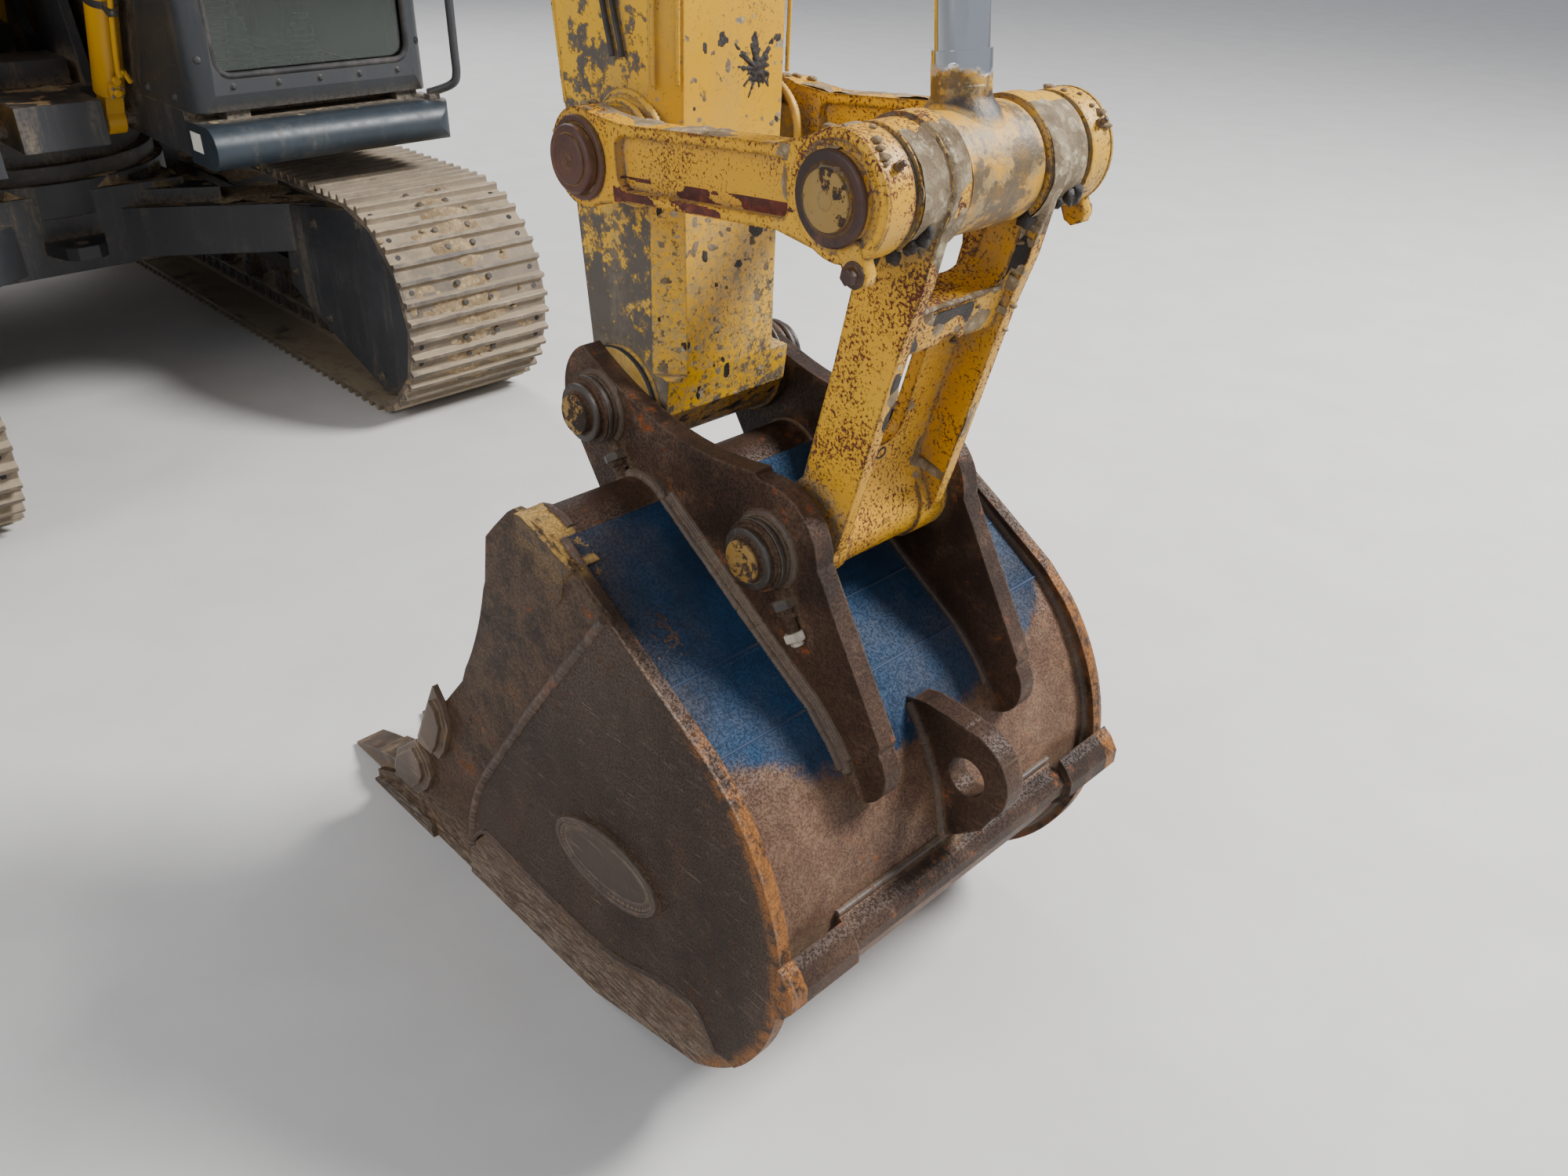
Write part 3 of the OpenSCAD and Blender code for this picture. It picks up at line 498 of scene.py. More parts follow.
@dataclass(frozen=True)
class WornSteel(Finish):
    """Bare steel gone brown, with rust, scratches, polished edges and soil."""

    base: str = "#5c4a3c"
    dark: str = "#35291f"
    light: str = "#86725e"
    rust: str = "#8a4a20"
    shine: str = "#9a9389"
    soil: str = "#94836b"
    dirt: float = 0.4
    rusting: float = 0.4
    polish: float = 0.6
    rough: float = 0.5
    edge: float = 0.006
    corner: float = 0.12

    def body(self, r: Recipe) -> tuple[Wire, Wire, Wire, Wire]:
        """Steel before its soil.

        Args:
            r: the recipe to add to.

        Returns:
            Colour, roughness, height and metal.
        """
        broad = r.grain(2.1, 7, 0.62)
        patch = r.grain(11, 7, 0.68, seed=2.3)
        speck = r.grain(120, 5, 0.7, seed=6.1)
        colour = r.lay(tint(self.dark), self.base, broad, 0.36, 0.62)
        colour = r.lay(colour, self.light, patch, 0.5, 0.74, 0.75)
        colour = r.lay(colour, self.dark, speck, 0.52, 0.7, 0.5)
        gather = patch * 0.5 + r.grain(46, 8, 0.72, seed=8.8) * 0.5
        level = 0.62 - 0.14 * self.rusting
        rust = r.step(gather, level, level + 0.07, 0.85)
        colour = r.blend(rust, colour, tint(self.rust))
        worn = r.step(r.grain(7, 4, 0.6, (1, 1, 18), (0.35, 0.1, 0.0), 1.1), 0.60, 0.72, 0.55)
        worn = r.sums("MAXIMUM", worn, r.step(r.grain(7, 4, 0.6, (18, 1, 1), (0.0, 0.55, 0.2), 9.1),
                0.63, 0.74, 0.4))
        worn = worn * r.step(broad, 0.4, 0.6, self.polish)
        edge, self_normal = r.rims(self.edge)
        rub = edge * r.step(patch, 0.34, 0.56, self.polish)
        worn = r.sums("MAXIMUM", worn, rub)
        colour = r.blend(worn, colour, tint(self.shine))
        rough = self.rough + rust * 0.3 - worn * 0.2
        height = speck * 0.3 + rust * 0.25 + patch * 0.45
        r.normal = self_normal
        return colour, rough, height, worn * 0.7

    def soiled(self, r: Recipe, colour: Wire, rough: Wire, height: Wire, metal: Wire,
            held: Wire | None = None) -> bpy.types.Material:
        """Soil over the steel, in corners and on patches.

        Args:
            r: the recipe to add to.
            colour: colour so far.
            rough: roughness so far.
            height: height so far.
            metal: metal so far.
            held: share of the soil that is held back.

        Returns:
            The material.
        """
        clump = r.grain(9, 9, 0.66, seed=11.0)
        top = r.step(r.facing(2), 0.2, 0.9, 0.4 if self.corner > 0.1 else 0.1)
        soil = r.corners(self.corner) + top + clump * 1.2
        level = 1.42 - 0.9 * self.dirt
        soil = r.step(soil, level, level + 0.35, min(1.0, 0.5 + 0.5 * self.dirt))
        if held is not None:
            soil = soil * (1.0 - held * 0.9)
        crumb = r.grain(90, 8, 0.75, seed=12.0)
        mud = r.lay(tint(self.soil), self.light, crumb, 0.35, 0.7)
        colour = r.blend(soil, colour, mud)
        rough = (rough + soil * 0.35).held()
        height = height + soil * (crumb * 1.6)
        return r.close(colour, rough, r.relief(height, 0.0025, r.normal), metal * (1.0 - soil))

    def mix(self) -> bpy.types.Material:
        """Steel with its soil.

        Returns:
            The material.
        """
        r = Recipe(self.name)
        return self.soiled(r, *self.body(r))


@dataclass(frozen=True)
class BucketSteel(WornSteel):
    """The bucket's steel: blue paint left on the folded back, an abraded foot and rusty rims."""

    paint: str = "#193a58"
    paint_dark: str = "#0f263d"
    pin: Pair = (4.370, 1.180)
    plate: float = 0.444
    strip: float = 0.4506
    wear: float = 0.45525
    sheet: float = 0.42975
    back: Pair = (0.275, -0.701)
    back_radius: float = 0.446

    def mix(self) -> bpy.types.Material:
        """Steel with the zones of this bucket.

        Returns:
            The material.
        """
        r = Recipe(self.name)
        r.shader.inputs["Specular IOR Level"].default_value = 0.22
        colour, rough, height, metal = self.body(r)
        x, y, z = r.apart(r.where)
        side = abs(y)
        plain = r.step(side, self.plate - 0.0005, self.plate + 0.0005)
        wear = r.step(side, self.wear - 0.00075, self.wear + 0.00075)
        strip = r.step(side, self.strip - 0.0006, self.strip + 0.0006) * (1.0 - wear)
        mottle = r.grain(26, 8, 0.75, seed=41)
        colour = r.blend(plain * r.step(mottle, 0.4, 0.62, 0.75), colour, tint("#57432f"))
        polish = r.grain(2.6, 5, 0.55, (1, 1, 0.5), (0, 0.4, 0), 42)
        smooth = r.lay(tint("#291f19"), "#46372c", polish, 0.36, 0.6)
        smooth = r.lay(smooth, "#5e3a24", r.grain(5, 5, 0.6, seed=43), 0.55, 0.75, 0.4)
        pits = r.grain(210, 6, 0.75, seed=44)
        smooth = r.lay(smooth, "#2f1e15", pits, 0.48, 0.60, 0.55)
        smooth = r.lay(smooth, "#6b584a", r.grain(60, 7, 0.75, (0.5, 1, 1.6), (0, 0.5, 0), 45),
            0.54, 0.66, 0.4)
        fine_scratch = r.step(r.grain(12, 4, 0.6, (1, 1, 26), (0, 0.62, 0), 46), 0.66, 0.70, 0.55)
        smooth = r.blend(fine_scratch, smooth, tint("#a58d78"))
        colour = r.blend(wear * 0.85, colour, smooth)
        height = height - r.step(pits, 0.5, 0.62) * 0.35
        rub = r.grain(110, 6, 0.7, (0.25, 1, 1.5), (0, 0.62, 0), 31)
        rubbed = r.lay(tint("#54443a"), "#85725e", rub, 0.35, 0.68)
        rubbed = r.lay(rubbed, "#5a3f2c", mottle, 0.45, 0.6, 0.55)
        colour = r.blend(strip * 0.8, colour, rubbed)
        foot = r.step(z, 0.20, 0.03) * plain * r.step(rub, 0.45, 0.6, 0.6)
        colour = r.blend(foot, colour, tint("#9a8a74"))
        rim = r.away((self.pin[0] + self.back[0], 0, self.pin[1] + self.back[1]), (1, 0, 1))
        rusty = r.step(rim, 0.440, 0.466) * r.step(x, self.pin[0] + 0.45,
            self.pin[0] + 0.62) * r.step(mottle, 0.4, 0.55, 0.75)
        colour = r.blend(rusty * r.step(side, 0.428, 0.430), colour, tint("#96602c"))
        # Painted sunlight: a pale tan patch on the upward faces at the side plates' upper corner
        # near the pin, kept off the faces that look sideways.
        sunlit_peak = r.step(r.away((self.pin[0] + 0.16, 0, self.pin[1] - 0.11), (1, 0, 1)), 0.13, 0.05)
        face = r.step(abs(r.facing(1)), 0.60, 0.85, 0.85)
        sunlit_peak = sunlit_peak * r.step(side, 0.39, 0.40) * r.step(mottle, 0.36, 0.52, 0.9) * (1.0 - face)
        colour = r.blend(sunlit_peak, colour, tint("#c09a55"))
        ragged = (r.grain(7, 8, 0.72, seed=3.3) - 0.5) * 0.15
        slope = r.step(side, 0.20, 0.43) * 0.09
        level = z + ragged - slope
        high = r.step(level, self.pin[1] - 0.470, self.pin[1] - 0.440)
        proud: Wire | None = None
        for (u0, v0), (u1, v1) in (((0.186, -0.112), (0.442, -0.284)),
                ((0.442, -0.284), (0.560, -0.358)), ((0.560, -0.358), (0.609, -0.405))):
            run = hypot(u1 - u0, v1 - v0)
            nx, nz = (v0 - v1) / run, (u1 - u0) / run
            reach = -(nx * (self.pin[0] + u0) + nz * (self.pin[1] + v0))
            line = x * nx + z * nz + reach
            proud = line if proud is None else r.sums("MAXIMUM", proud, line)
        flat = r.step(z, self.pin[1] - 0.415, self.pin[1] - 0.405)
        round_part = rim - self.back_radius
        lift = proud * flat + round_part * (1.0 - flat)
        tube = r.away((self.pin[0] + 0.12, 0, self.pin[1] - 0.18), (1, 0, 1))
        inner = r.step(side, self.sheet + 0.00125, self.sheet - 0.00125)
        sheet = r.step(lift, 0.0140, 0.0120) * high * inner * r.step(x, self.pin[0] + 0.150,
            self.pin[0] + 0.156)
        sheet = sheet * r.step(tube, 0.083, 0.086) * r.step(r.facing(2), -0.05, 0.05)
        flake = r.grain(4, 6, 0.6, seed=21) * 0.5 + r.grain(60, 9, 0.78, seed=22) * 0.5
        left = sheet * r.step(flake, 0.612, 0.600)
        blue = r.lay(tint(self.paint_dark), self.paint, r.grain(4, 6, 0.6, seed=23), 0.35, 0.65)
        blue = r.lay(blue, self.paint_dark, r.grain(140, 4, 0.6, seed=24), 0.55, 0.75, 0.5)
        blue = r.lay(blue, "#5a6d7a", r.grain(5, 4, 0.6, (14, 1, 1), (0, 0.6, 0.2), 25), 0.62, 0.72,
            0.3)
        blue = r.blend(r.step(r.grain(2.4, 5, 0.6, seed=26), 0.45, 0.7, 0.45) * mottle, blue,
            tint("#7d6a55"))
        wrap = r.step(lift, 0.016, 0.008) * inner * r.step(x, self.pin[0] + 0.30,
            self.pin[0] + 0.42)
        grit = r.lay(tint("#80604c"), "#624637", r.grain(420, 5, 0.7, seed=47), 0.35, 0.65)
        grit = r.lay(grit, "#8f7259", mottle, 0.42, 0.6, 0.6)
        colour = r.blend(wrap * r.step(polish, 0.25, 0.6, 0.8), colour, grit)
        colour = r.blend(left, colour, blue)
        rough = (rough + left * 0.20).held() - wear * 0.08
        return self.soiled(r, colour, rough, height, metal * (1.0 - left), left)


@dataclass(frozen=True)
class Glass(Finish):
    """Dusty window glass."""

    pane: str = "#d3e4dc"
    film: str = "#8e8a7e"

    def mix(self) -> bpy.types.Material:
        """Clear pane with a gloss over it and a film of dust.

        Returns:
            The material.
        """
        r = Recipe(self.name)
        clear = r.add("ShaderNodeBsdfTransparent")
        clear.inputs[0].default_value = tint(self.pane)
        gloss = r.add("ShaderNodeBsdfGlossy")
        gloss.inputs["Roughness"].default_value = 0.04
        first = r.add("ShaderNodeMixShader")
        bend = r.add("ShaderNodeFresnel")
        bend.inputs["IOR"].default_value = 1.5
        r.feed(first.inputs[0], bend.outputs[0])
        r.feed(first.inputs[1], clear.outputs[0])
        r.feed(first.inputs[2], gloss.outputs[0])
        film = r.step(r.grain(2.2, 6, 0.6), 0.40, 0.80, 0.16) * r.step(r.grain(180, 6, 0.7), 0.3,
            0.7)
        r.feed(r.shader.inputs["Base Color"], tint(self.film))
        r.shader.inputs["Roughness"].default_value = 0.9
        last = r.add("ShaderNodeMixShader")
        r.feed(last.inputs[0], film)
        r.feed(last.inputs[1], first.outputs[0])
        r.feed(last.inputs[2], r.shader.outputs[0])
        r.feed(r.out.inputs[0], last.outputs[0])
        return r.material


@dataclass(frozen=True)
class Chrome(Finish):
    """Polished rod with faint rings and dirty film."""

    base: str = "#c9ccd0"

    def bright(self, r: Recipe) -> tuple[Wire, Wire]:
        """Chrome under a thin film of dirt.

        Args:
            r: the recipe to add to.

        Returns:
            Colour and film.
        """
        film = r.step(r.grain(14, 6, 0.65, (1, 1, 0.2)), 0.52, 0.8, 0.5)
        return r.blend(film, tint(self.base), tint("#7d766b")), film

    def mix(self) -> bpy.types.Material:
        """Bright metal with fine rings.

        Returns:
            The material.
        """
        r = Recipe(self.name)
        colour, film = self.bright(r)
        fine = r.grain(900, 2, 0.5, (0.02, 0.02, 1))
        return r.close(colour, 0.10 + film * 0.4, r.relief(fine, 0.00002), 1.0)


@dataclass(frozen=True)
class Rod(Chrome):
    """Chromed rod whose eye and neck are greasy yellow casting."""

    coat: str = "#c8921a"
    grease: str = "#33271c"
    eyes: tuple[Pair, ...] = ((4.972, 1.673), (4.195, 4.536), (1.473, 2.938))
    chrome_from: float = 0.128

    def mix(self) -> bpy.types.Material:
        """Chrome away from the eyes, worn paint and grease at them.

        Returns:
            The material.
        """
        r = Recipe(self.name)
        bright, film = self.bright(r)
        near: Wire | None = None
        for x, z in self.eyes:
            gap = r.away((x, 0.0, z), (1, 0, 1))
            near = gap if near is None else r.sums("MINIMUM", near, gap)
        torn = near + (r.grain(17, 6, 0.65, seed=51) - 0.5) * 0.07
        chrome = r.step(torn, self.chrome_from, self.chrome_from + 0.012)
        worn = r.step(r.grain(24, 8, 0.72, seed=52), 0.42, 0.58, 0.9)
        cast = r.blend(worn, tint(self.coat), tint("#8f7a50"))
        dark = r.step(r.grain(13, 8, 0.72, seed=53), 0.50, 0.57)
        ring = r.step(near, 0.087, 0.093) * r.step(torn, 0.118, 0.096)
        cast = r.blend(r.sums("MAXIMUM", dark * 0.75, ring), cast, tint(self.grease))
        colour = r.blend(chrome, cast, bright)
        rough = 0.12 + (1.0 - chrome) * 0.36 + film * 0.3
        bump = r.grain(60, 6, 0.7, seed=54) * (1.0 - chrome)
        return r.close(colour, rough, r.relief(bump, 0.002), chrome)


@dataclass(frozen=True)
class Mud(Finish):
    """Dried soil: crumbs, cracks and paler crust."""

    base: str = "#a08a6a"
    deep: str = "#6b563d"
    crust: str = "#c4b08c"
    rough: float = 0.95
    crumb: float = 0.006

    def mix(self) -> bpy.types.Material:
        """Layers of crumbs.

        Returns:
            The material.
        """
        r = Recipe(self.name)
        broad = r.grain(9, 7, 0.65)
        crumb = r.grain(70, 9, 0.75, seed=2)
        fine = r.grain(320, 4, 0.7, seed=3)
        colour = r.lay(tint(self.deep), self.base, broad, 0.36, 0.62)
        colour = r.lay(colour, self.crust, crumb, 0.5, 0.66, 0.8)
        colour = r.lay(colour, self.deep, fine, 0.55, 0.7, 0.4)
        crack = r.step(r.cells(42, 1.0), 0.42, 0.56, 0.5)
        colour = r.blend(crack, colour, tint(self.deep))
        height = crumb + fine * 0.35 - crack * 0.4
        return r.close(colour, self.rough, r.relief(height, self.crumb))


@dataclass(frozen=True)
class Moulded(Finish):
    """Moulded plastic or rubber with a fine grain and dust."""

    base: str = "#1d1e20"
    dust: str = "#77706a"
    rough: float = 0.55
    grain_size: float = 900
    dusting: float = 0.25

    def mix(self) -> bpy.types.Material:
        """Grained skin with dust in its corners.

        Returns:
            The material.
        """
        r = Recipe(self.name)
        fine = r.grain(self.grain_size, 3, 0.5)
        patch = r.step(r.grain(7, 6, 0.65), 0.42, 0.75, self.dusting)
        patch = (patch + r.corners(0.03) * self.dusting).held()
        colour = r.blend(patch, tint(self.base), tint(self.dust))
        rough = (self.rough + patch * 0.3).held()
        return r.close(colour, rough, r.relief(fine, 0.0003, r.rims(0.003)[1]))


@dataclass(frozen=True)
class Woven(Finish):
    """Woven seat cloth."""

    base: str = "#1c1d21"
    thread: str = "#3a3c42"

    def mix(self) -> bpy.types.Material:
        """Two crossed sets of threads.

        Returns:
            The material.
        """
        r = Recipe(self.name)
        waves = []
        for axis in ("Y", "Z", "X"):
            wave = r.add("ShaderNodeTexWave", bands_direction=axis)
            r.feed(wave.inputs["Vector"], r.where)
            wave.inputs["Scale"].default_value = 110
            wave.inputs["Distortion"].default_value = 0.4
            waves.append(Wire(r, wave.outputs[1]))
        weave = waves[0] * 0.5 + r.sums("MAXIMUM", waves[1], waves[2]) * 0.5
        colour = r.lay(tint(self.base), self.thread, weave, 0.3, 0.9)
        colour = r.lay(colour, "#6c6459", r.grain(6, 5, 0.6), 0.5, 0.8, 0.25)
        r.shader.inputs["Sheen Weight"].default_value = 0.3
        return r.close(colour, 0.9, r.relief(weave, 0.0008))


class Tone(Enum):
    """The finishes of this machine."""

    YELLOW = WornPaint("yellow_coat", chips=0.35, grime=0.3)
    ARM = WornPaint("arm_coat", chips=0.66, grime=0.6, primer="#7a6446", metal="#514a42",
        speckle=0.4, scuff=0.135,
        spots=((4.42, 0.0, 1.25, 0.62, 0.11), (4.10, 0.16, 3.9, 0.5, 0.05)))
    CAST = WornPaint("cast_coat", coat="#ca9200", faded="#d3a00e", chips=0.85, grime=0.6,
        primer="#5a2414", metal="#3a2a22", gloss=0.42, edge=0.011, speckle=0.95,
        spots=((4.98, 0.0, 1.68, 0.20, 0.16), (4.41, 0.22, 1.63, 0.16, 0.1),
            (4.41, -0.22, 1.63, 0.16, 0.1), (4.81, 0, 1.07, 0.16, 0.06)))
    DARK = WornPaint("dark_coat", coat="#2a2b2e", faded="#3a3b3e", primer="#4a2f22",
        metal="#55504a", chips=0.45, grime=0.7, gloss=0.45)
    CAB = WornPaint("cab_coat", coat="#2b2e31", faded="#3b3f43", primer="#4a3a30", metal="#6b6763",
        chips=0.15, grime=0.4, gloss=0.33)
    BEAM = WornPaint("beam_coat", coat="#1d262d", faded="#2c3840", primer="#4a3a30",
        metal="#3c3a38", chips=0.35, grime=0.55, gloss=0.42)
    ENGINE = WornPaint("engine_coat", coat="#54585c", faded="#666a6e", chips=0.2, grime=0.5,
        gloss=0.5)
    BUCKET = BucketSteel("bucket_skin", base="#4b3629", dark="#271b14", light="#6e5646",
        shine="#8f7a68", soil="#8a7157", dirt=0.26, rusting=0.42, polish=0.45, rough=0.5,
        corner=0.045)
    TRACK = WornSteel("track_skin", base="#6a5d4d", dark="#3d342b", light="#96866e",
        shine="#b0a491", soil="#a08f76", dirt=0.75, rusting=0.25, polish=0.9, rough=0.6, edge=0.008)
    RUNNING = WornSteel("running_skin", base="#3c3631", dark="#26221f", light="#5c5348",
        shine="#8d867c", soil="#83755f", dirt=0.6, rusting=0.3, polish=0.5, rough=0.6)
    TOOTH = WornSteel("tooth_skin", base="#5a4535", dark="#33251b", light="#7f6850",
        shine="#a39684", dirt=0.45, rusting=0.3, polish=0.9)
    EXHAUST = WornSteel("exhaust_skin", base="#3b3836", dark="#25211f", light="#5d5853",
        rust="#7a4a2a", dirt=0.1, rusting=0.6, polish=0.3)
    RING = WornSteel("ring_skin", base="#4a443d", dark="#2f2a25", light="#6a6258", dirt=0.5,
        rusting=0.2, polish=0.7)
    BEAD = WornSteel("weld_skin", base="#4e3c31", dark="#33261e", light="#6f5a49", rust="#7a3f1d",
        dirt=0.35, rusting=0.45, polish=0.35, edge=0.002)
    FOLD = WornPaint("fold_coat", coat="#0d2b4a", faded="#15406a", primer="#5a3a28",
        metal="#4a382c", dust="#6b5a4a", chips=0.7, grime=0.5, gloss=0.6, edge=0.002)
    MEDAL = WornSteel("medal_skin", base="#43352b", dark="#281e18", light="#6b5849",
        shine="#a08d7c", dirt=0.2, rusting=0.3, polish=0.9, edge=0.003)
    PIN = WornPaint("pin_end_coat", coat="#85652a", faded="#9a7f45", primer="#4a2e1c",
        metal="#2f2822", chips=1.5, grime=0.8, gloss=0.6, edge=0.002)
    MAROON = WornSteel("primer_rings", base="#4c2a1e", dark="#271711", light="#6b4430",
        shine="#7d6a5c", soil="#9a7a3c", dirt=0.42, rusting=0.3, polish=0.4, edge=0.003)
    COLLAR = WornSteel("collar_skin", base="#3b332d", dark="#241f1b", light="#5f554a",
        shine="#8a8378", dirt=0.35, rusting=0.2, polish=0.8, edge=0.002)
    NUT = WornSteel("nut_skin", base="#6f675c", dark="#423b33", light="#8f8778", rust="#7a4f2c",
        shine="#b5aea2", dirt=0.3, rusting=0.35, polish=0.6, edge=0.002)
    PALE = WornSteel("pale_nut_skin", base="#b5ab9a", dark="#7d7263", light="#d6cdbb",
        rust="#8a6a45", shine="#ded8cc", dirt=0.3, rusting=0.2, polish=0.5, edge=0.002)
    BRASS = WornSteel("shim_brass", base="#a9843c", dark="#6b5228", light="#c8a55a", rust="#6f4a20",
        shine="#e0c483", dirt=0.2, rusting=0.2, polish=0.8, rough=0.35, edge=0.001)
    CHROME = Chrome("rod_chrome")
    ROD = Rod("rod_and_eye")
    SAND = Mud("sandy_soil", base="#a8926f", deep="#7d684c", crust="#cdb994")
    CRUST = Mud("pale_crust", base="#a8977a", deep="#5f4c35", crust="#cbbf9f", crumb=0.004)
    PRIMER = Mud("bared_primer", base="#5d2315", deep="#34150e", crust="#7d4426", rough=0.75,
        crumb=0.0015)
    GREASE = Mud("old_grease", base="#2c211a", deep="#17110d", crust="#4d3a2b", rough=0.5,
        crumb=0.004)
    HOSE = Moulded("hose_rubber", base="#19191a", rough=0.6, grain_size=500, dusting=0.3)
    GLASS_DARK = Moulded("dark_screen", base="#0b0d10", dust="#55524c", rough=0.12, grain_size=200,
        dusting=0.15)
    LENS = Moulded("lamp_lens", base="#c8ccce", dust="#8e897e", rough=0.12, grain_size=240,
        dusting=0.3)
    AMBER = Moulded("tail_lens", base="#8e1a12", dust="#6b5b50", rough=0.15, grain_size=300,
        dusting=0.3)
    BLANK = Moulded("blank_label", base="#d8d5cd", dust="#8a7d6b", rough=0.4, grain_size=200,
        dusting=0.35)
    GLASS = Glass("cab_pane")
    CLOTH = Woven("seat_cloth")
    PLASTIC = Moulded("black_plastic")
    # Black rubber; this finish also paints the shade inside a hole at each track shoe end.
    RUBBER = Moulded("rubber", base="#141415", rough=0.7, grain_size=400, dusting=0.35)


SLOTS = {"yellow_paint": Tone.YELLOW, "dark_paint": Tone.DARK, "track_steel": Tone.TRACK,
    "bucket_steel": Tone.BUCKET, "cab_paint": Tone.CAB, "beam_paint": Tone.BEAM,
    "glass": Tone.GLASS, "seat_fabric": Tone.CLOTH, "control_plastic": Tone.PLASTIC,
    "chrome_rod": Tone.CHROME, "cast_yellow": Tone.CAST, "engine_grey": Tone.ENGINE,
    "tooth_steel": Tone.TOOTH, "exhaust_steel": Tone.EXHAUST,}
NODE_TONES = {"arm": Tone.ARM, "wheels_left": Tone.RUNNING, "wheels_right": Tone.RUNNING,
    "final_drives": Tone.RUNNING, "track_left": Tone.TRACK, "track_right": Tone.TRACK,
    "slew_ring": Tone.RING, "bucket": Tone.BUCKET, "teeth": Tone.TOOTH, "side_cutters": Tone.TOOTH,
    "heel_bars": Tone.BUCKET, "exhaust": Tone.EXHAUST, "track_frame_left": Tone.RUNNING,
    "track_frame_right": Tone.RUNNING, "boom_rods": Tone.ROD, "arm_rod": Tone.ROD,
    "bucket_rod": Tone.ROD, "boom_barrels": Tone.YELLOW, "boom": Tone.YELLOW,
    "idler_links": Tone.CAST, "power_link": Tone.CAST,}


@dataclass(frozen=True)
class Side:
    """A place in the XZ plane with an angle: the frame of a boom, arm or link."""

    x: float
    z: float
    angle: float = 0.0

    def at(self, u: float, v: float, y: float = 0.0) -> Vector:
        """Point u along and v across, at a width.

        Args:
            u: metres along.
            v: metres across, upwards for an angle of 0.
            y: metres to the left.

        Returns:
            The point in the row frame.
        """
        c, s = cos(self.angle), sin(self.angle)
        return Vector((self.x + u * c - v * s, y, self.z + u * s + v * c))

    def way(self, u: float, v: float) -> Vector:
        """Direction u along and v across."""
        return (self.at(u, v) - self.at(0, 0)).normalized()

    def spot(self, u: float, v: float, angle: float = 0.0) -> "Side":
        """The frame with an angle at a place of this one.

        Args:
            u: metres along.
            v: metres across.
            angle: the new frame's own angle.

        Returns:
            The new frame.
        """
        place = self.at(u, v)
        return Side(place.x, place.z, angle)


def towards(start: Side, end: Side) -> Side:
    """The frame at start that looks at end."""
    return Side(start.x, start.z, atan2(end.z - start.z, end.x - start.x))


BOOM = Side(0.050, 1.680, radians(28.41))
ARM = Side(4.17887, 3.91332, radians(-86.0))
TIP = Side(4.370, 1.180)
ARM_LENGTH = 2.740
BOOM_LENGTH = 4.6942
LINK_S = ARM.spot(ARM_LENGTH - 0.450, 0.635)
LINK_Q = Side(TIP.x + 0.440, TIP.z - 0.110)
IDLER = towards(ARM.spot(ARM_LENGTH - 0.442, 0.075), LINK_S)
LINK = towards(LINK_S, LINK_Q)
IDLER_LENGTH = (Vector((LINK_S.x, LINK_S.z)) - Vector((IDLER.x, IDLER.z))).length
LINK_LENGTH = hypot(LINK_Q.x - LINK_S.x, LINK_Q.z - LINK_S.z)
EAR_WELDS = (0.053, 0.095)
LEFT = Vector((0, 1, 0))
UP = Vector((0, 0, 1))


def basis(axis: Vector) -> tuple[Vector, Vector]:
    """Two directions square to an axis and to each other."""
    other = UP if abs(axis.z) < 0.9 else Vector((1, 0, 0))
    first = axis.cross(other).normalized()
    return first, axis.cross(first).normalized()


